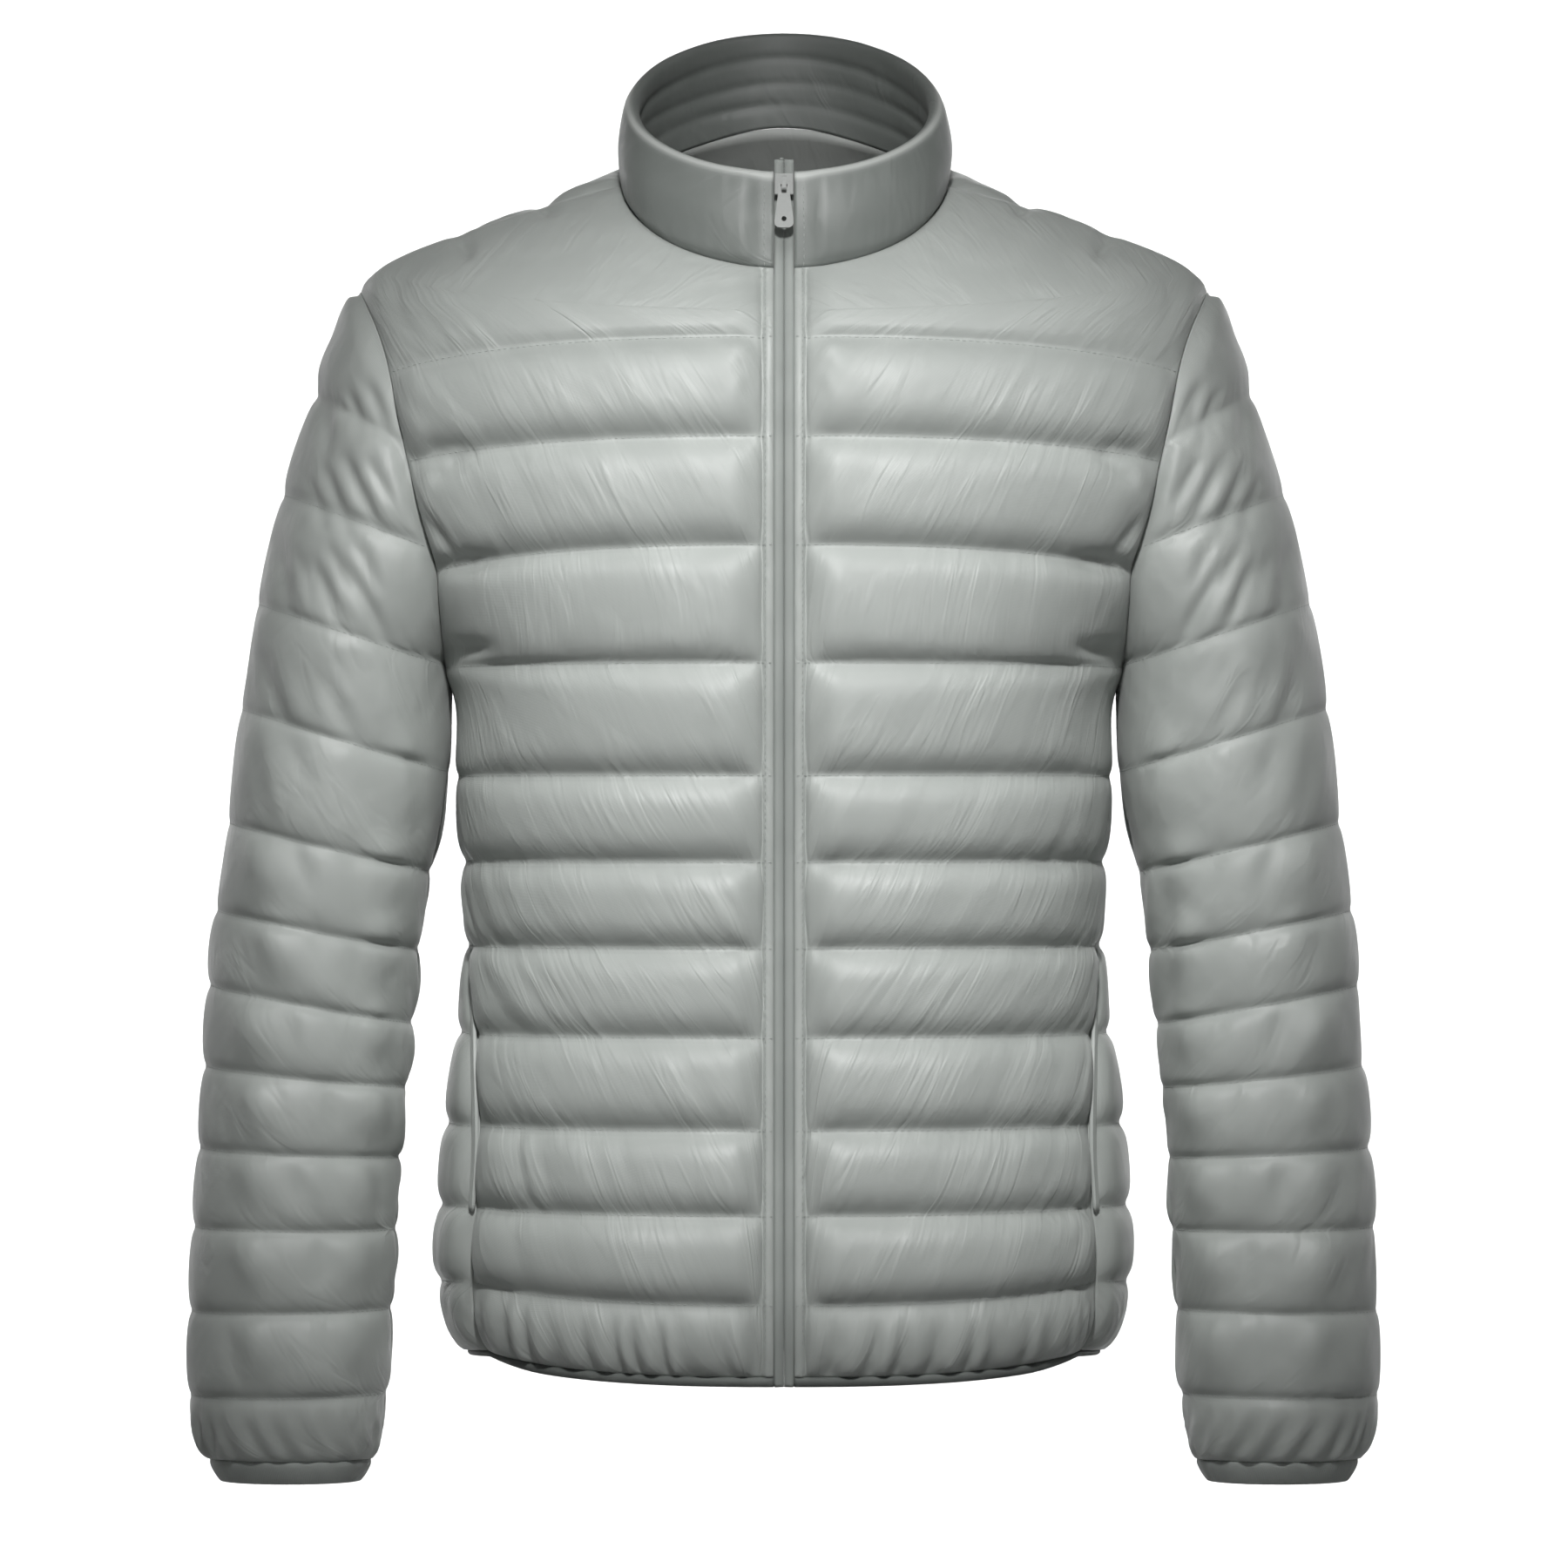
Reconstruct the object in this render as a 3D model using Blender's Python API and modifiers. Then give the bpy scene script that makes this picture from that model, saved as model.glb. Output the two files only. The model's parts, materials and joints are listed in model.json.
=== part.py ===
"""A light quilted puffer jacket, zipped up and filled out with nobody in it.

Every cut piece of cloth is a closed wall of its own: an inner skin that follows the garment's
plain form, and an outer skin that stands off it by the filling between one stitch line and the
next. The pieces meet at seams with a hair of clearance, and on both sides of a seam the walls
end on the same mitre, so that neighbours never cross.

Metres, +Z up. The jacket faces -Y and its left side (the wearer's) is +X. The origin is in the
middle of the neck, level with the neck ends of the shoulder seams, where a wearer holds it up.
"""

import math
from collections import namedtuple

import bmesh
import bpy
import numpy as np
from mathutils import Matrix, Vector

# ---------------------------------------------------------------------------------------------
# Driving sizes
# ---------------------------------------------------------------------------------------------

SEAM_GAP = 0.0003  # clearance between two sewn pieces
SKIN_OUT = 0.0010  # outer skin above the base form where the wall is stitched flat
SKIN_IN = 0.0010  # inner skin below the base form

SHOULDER_X = 0.233  # top of the armhole
SHOULDER_Z = -0.060
UNDERARM_X = 0.184
UNDERARM_Z = -0.267
ARMHOLE_HALF_DEPTH = 0.082
ARMHOLE_TILT = math.radians(14.9)  # the armhole leans in towards the underarm
NECK_X = 0.0865  # neck end of the shoulder seam

FRONT_EDGE_X = 0.0056  # front edge beside the zip
FRONT_MARGIN = 0.0060  # flat topstitched strip along that edge
BODY_ROUNDNESS = 0.833  # 1 is an ellipse, less is squarer

# How a row's height runs from the centre to the side: 1 is straight, more drops late.
DROP_BEND_NECK = {"front": 1.55, "back": 0.90}
DROP_BEND_CHEST = 2.0

BODY_CROWN = 0.0085  # how far a body channel puffs up
YOKE_CROWN = 0.0050
HEM_CROWN = 0.0045
SLEEVE_CROWN = 0.0058
PUFF_POWER = 2.6  # higher is a boxier channel
SEAM_REACH = 0.018  # distance from a seam at which a channel is full
SEAM_POWER = 1.2
GATHER_DEPTH = 0.0016
HEM_WAVES_FRONT = 19  # gathers along the hem of one front
HEM_WAVES_HALF_BACK = 14
CUFF_WAVES = 24

# Where body and sleeve face each other under the arm, the filling and the skin grow thin.
UNDERARM_PUFF_SHARE = 0.05
UNDERARM_FLAT_REACH = 0.010
UNDERARM_FADE = 0.120
UNDERARM_SKIN_SHARE = 0.15
UNDERARM_SKIN_REACH = 0.070
SHOULDER_SKIN_SHARE = 0.50
SHOULDER_SKIN_REACH = 0.050

# A tuck over the shoulder holds the front's filling down beside the seam.
TUCK_SHARE = 0.15
TUCK_REACH = 0.014
TUCK_FADE = 0.020

TAPE_EDGE_X = 0.0052
TEETH_X = 0.0027
TEETH_SLOPE = 0.0004
TAPE_HALF_THICK = 0.0008
TAPE_ABOVE_COLLAR = 0.0080
TAPE_BELOW_HEM = 0.0055
CENTRE_GAP_X = 0.0002

TABLE_STEP = 1e-3  # step for slopes taken across a surface
ROW_STEP = 0.02  # the same, in rows
SAME = 1e-6

# ---------------------------------------------------------------------------------------------
# Tables: one row for each quilting line, section or seam point
# ---------------------------------------------------------------------------------------------


def on_shoulder(x):
    """Place on the side edge of a panel, which runs on from the armhole along the shoulder."""
    return SHOULDER_Z + SHOULDER_X - x


# front_z and back_z: height at the centre front and centre back. end: height at the side seam or
# the armhole, or the place on the shoulder. sewn: whether the line is stitched on that panel.
BodyRow = namedtuple("BodyRow", "name front_z back_z end sewn_front sewn_back")
BODY_ROWS = (
    BodyRow("neck", -0.0510, 0.0360, on_shoulder(NECK_X), True, True),
    BodyRow("collar_side_1", -0.0545, 0.0240, on_shoulder(0.1010), False, False),
    BodyRow("collar_side_2", -0.0580, 0.0080, on_shoulder(0.1180), False, False),
    BodyRow("back_1", -0.0615, -0.0060, on_shoulder(0.1330), False, True),
    BodyRow("back_1_low", -0.0650, -0.0180, on_shoulder(0.1470), False, False),
    BodyRow("back_2_high", -0.0685, -0.0370, on_shoulder(0.1650), False, False),
    BodyRow("back_2", -0.0720, -0.0480, on_shoulder(0.1790), False, True),
    BodyRow("shoulder", -0.0760, -0.0570, on_shoulder(0.2060), False, False),
    BodyRow("shoulder_point", -0.0800, -0.0660, SHOULDER_Z, False, False),
    BodyRow("cap_top", -0.0820, -0.0700, -0.0650, False, False),
    BodyRow("cap_1", -0.0840, -0.0745, -0.0755, False, False),
    BodyRow("cap_2", -0.0870, -0.0820, -0.0905, False, False),
    BodyRow("line_1", -0.0904, -0.0900, -0.1080, True, True),
    BodyRow("line_2", -0.1441, -0.1460, -0.1560, True, True),
    BodyRow("line_3", -0.2024, -0.2050, -0.2150, True, True),
    BodyRow("line_4", -0.2654, -0.2640, UNDERARM_Z, True, True),
    BodyRow("line_5", -0.3260, -0.3260, -0.3260, True, True),
    BodyRow("line_6", -0.3727, -0.3730, -0.3730, True, True),
    BodyRow("line_7", -0.4193, -0.4195, -0.4195, True, True),
    BodyRow("line_8", -0.4674, -0.4676, -0.4676, True, True),
    BodyRow("line_9", -0.5173, -0.5175, -0.5170, True, True),
    BodyRow("line_10", -0.5630, -0.5625, -0.5610, True, True),
    BodyRow("hem_line", -0.6107, -0.6060, -0.6010, True, True),
    BodyRow("hem_edge", -0.6500, -0.6450, -0.6390, True, True),
)
ROW_OF = {row.name: index for index, row in enumerate(BODY_ROWS)}
TALL_CHANNEL_ROWS = (0.2, 0.5, 0.8)  # rows between two stitch lines, as shares of the channel
SHORT_CHANNEL_ROWS = (0.22, 0.78)
HEM_ROWS = (0.2, 0.65)
TUCK_ROWS = ("back_1", "back_2")  # back lines that run on over the shoulder as short tucks

# The body's plain form at each height: half width at the side, and how far the front and the
# back stand off the middle.
BodyForm = namedtuple("BodyForm", "z half_width front back seam_degrees")
BODY_FORM = (
    BodyForm(0.036, 0.0865, 0.070, 0.0750, 90),
    BodyForm(0.010, 0.0865, 0.072, 0.0930, 90),
    BodyForm(-0.030, 0.1500, 0.075, 0.1120, 90),
    BodyForm(-0.051, 0.1800, 0.080, 0.1195, 90),
    BodyForm(-0.070, 0.1850, 0.099, 0.1240, 90),
    BodyForm(-0.090, 0.1850, 0.115, 0.1280, 90),
    BodyForm(-0.144, 0.1820, 0.127, 0.1340, 90),
    BodyForm(-0.202, 0.1850, 0.131, 0.1340, 90),
    BodyForm(UNDERARM_Z, UNDERARM_X, 0.130, 0.1300, 90),
    BodyForm(-0.284, 0.1768, 0.129, 0.1280, 90),
    BodyForm(-0.326, 0.1750, 0.126, 0.1220, 90),
    BodyForm(-0.373, 0.1712, 0.123, 0.1140, 88),
    BodyForm(-0.405, 0.1688, 0.122, 0.1120, 86),
    BodyForm(-0.450, 0.1704, 0.122, 0.1130, 76),
    BodyForm(-0.500, 0.1778, 0.124, 0.1180, 66),
    BodyForm(-0.545, 0.1820, 0.126, 0.1230, 63),
    BodyForm(-0.585, 0.1843, 0.128, 0.1260, 63),
    BodyForm(-0.612, 0.1826, 0.127, 0.1255, 65),
    BodyForm(-0.632, 0.1765, 0.123, 0.1220, 66),
    BodyForm(-0.650, 0.1660, 0.117, 0.1160, 66),
)

# The shoulder seam from the neck to the top of the armhole.
ShoulderPoint = namedtuple("ShoulderPoint", "x z")
SHOULDER_SEAM = (
    ShoulderPoint(NECK_X, -0.0015),
    ShoulderPoint(0.1110, -0.0090),
    ShoulderPoint(0.1330, -0.0155),
    ShoulderPoint(0.1560, -0.0240),
    ShoulderPoint(0.1790, -0.0318),
    ShoulderPoint(0.2060, -0.0405),
    ShoulderPoint(0.2240, -0.0500),
    ShoulderPoint(SHOULDER_X, SHOULDER_Z),
)

# How far out the armhole seam lies at each height.
ArmholePoint = namedtuple("ArmholePoint", "z x")
ARMHOLE_SEAM = (
    ArmholePoint(UNDERARM_Z, UNDERARM_X),
    ArmholePoint(-0.240, 0.1855),
    ArmholePoint(-0.211, 0.1895),
    ArmholePoint(-0.186, 0.1960),
    ArmholePoint(-0.160, 0.2030),
    ArmholePoint(-0.142, 0.2070),
    ArmholePoint(-0.120, 0.2115),
    ArmholePoint(-0.100, 0.2160),
    ArmholePoint(-0.084, 0.2215),
    ArmholePoint(-0.070, 0.2280),
    ArmholePoint(SHOULDER_Z, SHOULDER_X),
)

# The sleeve head: where the row that leaves the armhole at seam_z passes the outer side.
HeadPoint = namedtuple("HeadPoint", "seam_z outer_x outer_z")
SLEEVE_HEAD = (
    HeadPoint(UNDERARM_Z, 0.2860, -0.2323),
    HeadPoint(-0.2050, 0.2722, -0.1747),
    HeadPoint(-0.1440, 0.2530, -0.1171),
    HeadPoint(-0.1080, 0.2498, -0.1010),
    HeadPoint(-0.0842, 0.2430, -0.0860),
    HeadPoint(-0.0662, 0.2368, -0.0685),
    HeadPoint(SHOULDER_Z, SHOULDER_X, SHOULDER_Z),
)

# The sleeve below the underarm: one row for each stitch line, then the edge at the cuff.
SleeveRing = namedtuple("SleeveRing", "name outer_x outer_z inner_x inner_z half_depth centre_y")
SLEEVE_RINGS = (
    SleeveRing("underarm", 0.2860, -0.2323, UNDERARM_X, -0.2670, 0.0815, 0.000),
    SleeveRing("line_4", 0.2948, -0.2899, 0.1876, -0.3235, 0.0760, -0.003),
    SleeveRing("line_5", 0.3015, -0.3523, 0.1982, -0.3778, 0.0710, -0.007),
    SleeveRing("line_6", 0.3078, -0.4003, 0.2045, -0.4210, 0.0670, -0.011),
    SleeveRing("line_7", 0.3113, -0.4411, 0.2082, -0.4613, 0.0635, -0.015),
    SleeveRing("line_8", 0.3136, -0.4853, 0.2110, -0.4963, 0.0600, -0.019),
    SleeveRing("line_9", 0.3165, -0.5299, 0.2146, -0.5347, 0.0565, -0.023),
    SleeveRing("line_10", 0.3192, -0.5731, 0.2162, -0.5741, 0.0535, -0.027),
    SleeveRing("line_11", 0.3208, -0.6187, 0.2188, -0.6173, 0.0510, -0.030),
    SleeveRing("line_12", 0.3211, -0.6643, 0.2208, -0.6629, 0.0480, -0.033),
    SleeveRing("cuff_edge", 0.3130, -0.6990, 0.2270, -0.6990, 0.0385, -0.034),
)
CUFF_ROWS = (0.25, 0.7)
HEAD_LINES = (("line_1", 0.8), ("line_2", 0.8))  # sleeve stitch lines, by the body row they meet
RING_COLUMNS = 20

# The collar's wall, from its outer seam over the rounded top to its inner seam: height as a
# share of the collar's, and how far the skin stands off its middle.
CollarRow = namedtuple("CollarRow", "height offset")
COLLAR_WALL = (
    CollarRow(0.14, 0.0036),
    CollarRow(0.50, 0.0056),
    CollarRow(0.86, 0.0050),
    CollarRow(1.00, 0.0030),
    CollarRow(1.04, 0.0000),
    CollarRow(1.00, -0.0030),
    CollarRow(0.86, -0.0046),
    CollarRow(0.50, -0.0050),
    CollarRow(0.14, -0.0030),
)
NECK_HALF_DEPTH = 0.0775
COLLAR_TOP_X = 0.083
COLLAR_TOP_Y = 0.0065
COLLAR_TOP_HALF_DEPTH = 0.0785
COLLAR_TOP_Z = 0.0405
COLLAR_TILT = 0.558  # rise of the collar's top towards the back
COLLAR_BULGE = 0.002
COLLAR_EDGE_SHARE = 0.35  # the collar's front edge is stitched thin beside the zip
COLLAR_EDGE_WIDTH = 0.0040
COLLAR_EDGE_FADE = 0.0140

# Distances of the columns nearest to the edges of a panel.
FRONT_EDGE_COLUMNS = (0.0, FRONT_MARGIN, 0.015)
SEAM_COLUMNS = (0.013, 0.004, 0.0)
HEAD_COLUMNS = (0.010, 0.004)
FRONT_FIELD_COLUMNS = 8
BACK_FIELD_COLUMNS = 8

# The bindings' outlines: how far down each corner lies, as a share of the height, and how far
# out from the middle of the cloth's edge.
BindingCorner = namedtuple("BindingCorner", "drop out")
HEM_BINDING_OUTLINE = (
    BindingCorner(0.0, -0.0015),
    BindingCorner(0.0, 0.0015),
    BindingCorner(0.5, 0.0023),
    BindingCorner(1.0, 0.0007),
    BindingCorner(1.0, -0.0023),
    BindingCorner(0.5, -0.0027),
)
CUFF_BINDING_OUTLINE = (
    BindingCorner(0.0, 0.0006),
    BindingCorner(0.35, 0.0022),
    BindingCorner(1.0, 0.0016),
    BindingCorner(1.0, -0.0016),
    BindingCorner(0.0, -0.0014),
)
BINDING_CLEAR = 0.0005  # drop from the cloth's edge to its binding
HEM_BINDING_HEIGHT = 0.0050
HEM_BINDING_STATIONS = 13  # along each panel
CUFF_BINDING_HEIGHT = 0.0125
CUFF_BINDING_NARROWS = 0.0062
CUFF_BINDING_POWER = 1.3
CUFF_BINDING_SIDES = 24

WELT_TOP_Z = -0.4210
WELT_BOTTOM_Z = -0.5635
WELT_HALF_WIDTH = 0.0024
WELT_TOP_SHARE = 0.8
WELT_LOW = 0.0032
WELT_THICK = 0.0018
WELT_STATIONS = 9

SLIDER_SEAT = Vector((0.0, -0.0746, -0.0060))  # on the zip, at the slider's middle
SLIDER_LEAN = math.radians(8.75)  # the collar's front leans back
TEETH_TOP = 0.0024  # how far the teeth stand off the zip's middle
SLIDER_WIDTH = 0.0105
SLIDER_LENGTH = 0.0120
SLIDER_THICK = 0.0022
SLIDER_BEVEL = 0.0007
BRIDGE_WIDTH = 0.0026
BRIDGE_HALF_LENGTH = 0.0040
BRIDGE_RISE = 0.0035
BRIDGE_THICK = 0.0011
BRIDGE_CORNER = 0.0014
BRIDGE_INNER_CORNER = 0.0006
BRIDGE_SUNK = 0.0006  # how deep the bridge's feet reach into the slider
PIN_RADIUS = 0.0008
PIN_CLEAR = 0.0004
PIN_LENGTH = 0.0069
PULL_LENGTH = 0.0245
PULL_TOP_WIDTH = 0.0070
PULL_NECK_WIDTH = 0.0067
PULL_NECK_LENGTH = 0.0071
PULL_LOW_WIDTH = 0.0105
PULL_LOW_CORNER = 0.0030
PULL_THICK = 0.0016
PULL_SLOT_TOP = 0.0006
PULL_SLOT_LENGTH = 0.0056
PULL_SLOT_WIDTH = 0.0036
PULL_SLOT_CORNER = 0.0008
PULL_HOLE_RADIUS = 0.0014
PULL_HOLE_FROM_END = 0.0048


# ---------------------------------------------------------------------------------------------
# Curves through tables
# ---------------------------------------------------------------------------------------------


def smooth(at, places, values):
    """Value at a place on a smooth curve through a table's points, level beyond its ends."""
    places = np.asarray(places, float)
    values = np.asarray(values, float)
    if places[0] > places[-1]:
        places, values = places[::-1], values[::-1]
    at = min(max(at, places[0]), places[-1])
    index = int(min(max(np.searchsorted(places, at) - 1, 0), len(places) - 2))
    slopes = np.diff(values) / np.diff(places)
    bends = np.concatenate(([slopes[0]], (slopes[:-1] + slopes[1:]) / 2, [slopes[-1]]))
    flat = np.concatenate(([False], slopes[:-1] * slopes[1:] <= 0, [False]))
    bends[flat] = 0.0
    span = places[index + 1] - places[index]
    t = (at - places[index]) / span
    return (
        (2 * t**3 - 3 * t**2 + 1) * values[index]
        + (t**3 - 2 * t**2 + t) * span * bends[index]
        + (3 * t**2 - 2 * t**3) * values[index + 1]
        + (t**3 - t**2) * span * bends[index + 1]
    )


def column(table, name):
    """One column of a table."""
    return [getattr(row, name) for row in table]


def from_table(table, key, name, at):
    """A table's column read at a place along its key column."""
    return float(smooth(at, column(table, key), column(table, name)))


def between_rows(table, name, v):
    """A column read in a straight line between row number v's neighbours."""
    return float(np.interp(v, range(len(table)), column(table, name)))


def unit(vector):
    """The vector at length one."""
    return vector / max(np.linalg.norm(vector), 1e-12)


def ease(t):
    """A soft step from 0 to 1."""
    t = min(max(t, 0.0), 1.0)
    return t * t * (3 - 2 * t)


def swell(share):
    """The rounded rise and fall of the filling across a channel, 0 at both stitch lines."""
    return math.sqrt(max(1 - abs(2 * share - 1) ** PUFF_POWER, 0.0))


def edge_rise(distance):
    """How fully a channel is puffed at a distance from a seam."""
    return math.sin(math.pi / 2 * min(max(distance / SEAM_REACH, 0.0), 1.0)) ** SEAM_POWER


def fade(distance, flat, length, least):
    """A share that is least up to the flat distance and grows to 1 over a length."""
    return least + (1 - least) * ease((distance - flat) / length)


# ---------------------------------------------------------------------------------------------
# The side edge that front, back and sleeve share
# ---------------------------------------------------------------------------------------------

ARMHOLE_MIDDLE_Z = (SHOULDER_Z + UNDERARM_Z) / 2
ARMHOLE_HALF_HEIGHT = (SHOULDER_Z - UNDERARM_Z) / 2
ARMHOLE_MIDDLE = np.array(((SHOULDER_X + UNDERARM_X) / 2, 0.0, ARMHOLE_MIDDLE_Z))
ARMHOLE_OUTWARD = np.array((math.cos(ARMHOLE_TILT), 0.0, -math.sin(ARMHOLE_TILT)))


def armhole_turn(z):
    """Angle round the armhole, 0 at its top and pi at the underarm."""
    share = (z - ARMHOLE_MIDDLE_Z) / ARMHOLE_HALF_HEIGHT
    return math.acos(min(max(share, -1.0), 1.0))


def side_point(end, facing):
    """Point of a panel's side edge; facing is -1 on the front and 1 on the back."""
    if end > SHOULDER_Z:
        x = SHOULDER_X - (end - SHOULDER_Z)
        return np.array((x, 0.0, from_table(SHOULDER_SEAM, "x", "z", x)))
    if end >= UNDERARM_Z:
        depth = ARMHOLE_HALF_DEPTH * math.sin(armhole_turn(end))
        return np.array((from_table(ARMHOLE_SEAM, "z", "x", end), facing * depth, end))
    turn = math.radians(from_table(BODY_FORM, "z", "seam_degrees", end))
    half_width = from_table(BODY_FORM, "z", "half_width", end)
    depth = from_table(BODY_FORM, "z", "front", end)
    return np.array(
        (
            half_width * math.sin(turn) ** BODY_ROUNDNESS,
            -depth * max(math.cos(turn), 0.0) ** BODY_ROUNDNESS,
            end,
        )
    )


def near_underarm(point):
    """Share of the puff left where body and sleeve face each other under the arm."""
    reach = np.linalg.norm(point - side_point(UNDERARM_Z, -1))
    return fade(reach, UNDERARM_FLAT_REACH, UNDERARM_FADE, UNDERARM_PUFF_SHARE)


def skin_out(point):
    """Height of the outer skin over the base form at a stitch line, thin in the armhole's ends."""
    from_underarm = np.linalg.norm(point - side_point(UNDERARM_Z, -1))
    from_shoulder = np.linalg.norm(point - side_point(SHOULDER_Z, -1))
    low = fade(from_underarm, 0, UNDERARM_SKIN_REACH, UNDERARM_SKIN_SHARE)
    top = fade(from_shoulder, 0, SHOULDER_SKIN_REACH, SHOULDER_SKIN_SHARE)
    return SKIN_OUT * min(low, top)


# ---------------------------------------------------------------------------------------------
# Surfaces
# ---------------------------------------------------------------------------------------------


class BodyPanel:
    """The plain form of a front (facing -1) or of half the back (facing 1), on the +X side."""

    DENSE = 90

    def __init__(self, facing):
        self.facing = facing
        self.name = "front" if facing < 0 else "back"
        self.edge_x = FRONT_EDGE_X if facing < 0 else 0.0
        self.sewn = [
            index for index, row in enumerate(BODY_ROWS) if getattr(row, "sewn_" + self.name)
        ]

    def path(self, v):
        """Points along row v from the centre edge to the side edge."""
        centre_z = between_rows(BODY_ROWS, self.name + "_z", v)
        end = between_rows(BODY_ROWS, "end", v)
        depth = from_table(BODY_FORM, "z", self.name, centre_z)
        far_depth = from_table(BODY_FORM, "z", "back" if self.facing < 0 else "front", end)
        side = side_point(end, self.facing)
        side_depth = depth
        if end < UNDERARM_Z:
            side_depth = from_table(BODY_FORM, "z", self.name, end)
            turn = math.radians(from_table(BODY_FORM, "z", "seam_degrees", end))
            last = turn if self.facing < 0 else math.pi - turn
            half_width = from_table(BODY_FORM, "z", "half_width", end)
        else:
            last = math.acos(min(abs(side[1]) / depth, 1.0) ** (1 / BODY_ROUNDNESS))
            half_width = side[0] / math.sin(last) ** BODY_ROUNDNESS
        first = math.asin((self.edge_x / half_width) ** (1 / BODY_ROUNDNESS))
        first_bend = DROP_BEND_NECK[self.name]
        drop_bend = first_bend + (DROP_BEND_CHEST - first_bend) * ease(v / ROW_OF["line_1"])
        points = []
        for turn in np.linspace(first, last, self.DENSE):
            cosine = math.cos(turn)
            share = (turn - first) / (last - first)
            near_depth = depth + (side_depth - depth) * share
            reach = near_depth if cosine > 0 else far_depth
            y = self.facing * math.copysign(abs(cosine) ** BODY_ROUNDNESS, cosine) * reach
            z = centre_z + (side[2] - centre_z) * share**drop_bend
            points.append((half_width * math.sin(turn) ** BODY_ROUNDNESS, y, z))
        return np.array(points)

    def row(self, v, shares):
        """Points at shares of row v's length."""
        points = self.path(min(max(v, 0.0), len(BODY_ROWS) - 1))
        lengths = np.concatenate(([0], np.cumsum(np.linalg.norm(np.diff(points, axis=0), axis=1))))
        wanted = np.clip(shares, 0, 1) * lengths[-1]
        return np.stack([np.interp(wanted, lengths, points[:, k]) for k in range(3)], axis=1)

    def length(self, v):
        """Length of row v."""
        return float(np.linalg.norm(np.diff(self.path(v), axis=0), axis=1).sum())

    def normals(self, v, shares):
        """Outward directions at shares of row v."""
        shares = np.asarray(shares, float)
        across = self.row(v, shares + TABLE_STEP) - self.row(v, shares - TABLE_STEP)
        if self.edge_x == 0.0:
            across[shares < TABLE_STEP] = (1.0, 0.0, 0.0)
        down = self.row(v + ROW_STEP, shares) - self.row(v - ROW_STEP, shares)
        normals = np.cross(across, down) * self.facing
        if v > ROW_OF["hem_edge"] - SAME:
            normals[:, 2] = 0.0
        if self.edge_x == 0.0:
            normals[shares < TABLE_STEP, 0] = 0.0
        return np.array([unit(normal) for normal in normals])

    def crown(self, v):
        """Height of the filling at row v, away from the edges."""
        below = next((index for index in self.sewn if index >= v - SAME), self.sewn[-1])
        above = max((index for index in self.sewn if index <= v + SAME), default=0)
        if above == below:
            return 0.0
        height = BODY_CROWN
        if above >= ROW_OF["hem_line"]:
            height = HEM_CROWN
        elif below <= ROW_OF["line_1"]:
            height = YOKE_CROWN
        return height * swell((v - above) / (below - above))

    def puff(self, v, share, point, length):
        """Height of the filling at a point."""
        from_centre, from_side = share * length, (1 - share) * length
        height = self.crown(v) * edge_rise(from_side) * near_underarm(point)
        if self.facing < 0:
            height *= edge_rise(from_centre - FRONT_MARGIN)
            if any(abs(v - ROW_OF[name]) < SAME for name in TUCK_ROWS):
                height *= fade(from_side, TUCK_REACH, TUCK_FADE, TUCK_SHARE)
        return height


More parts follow.
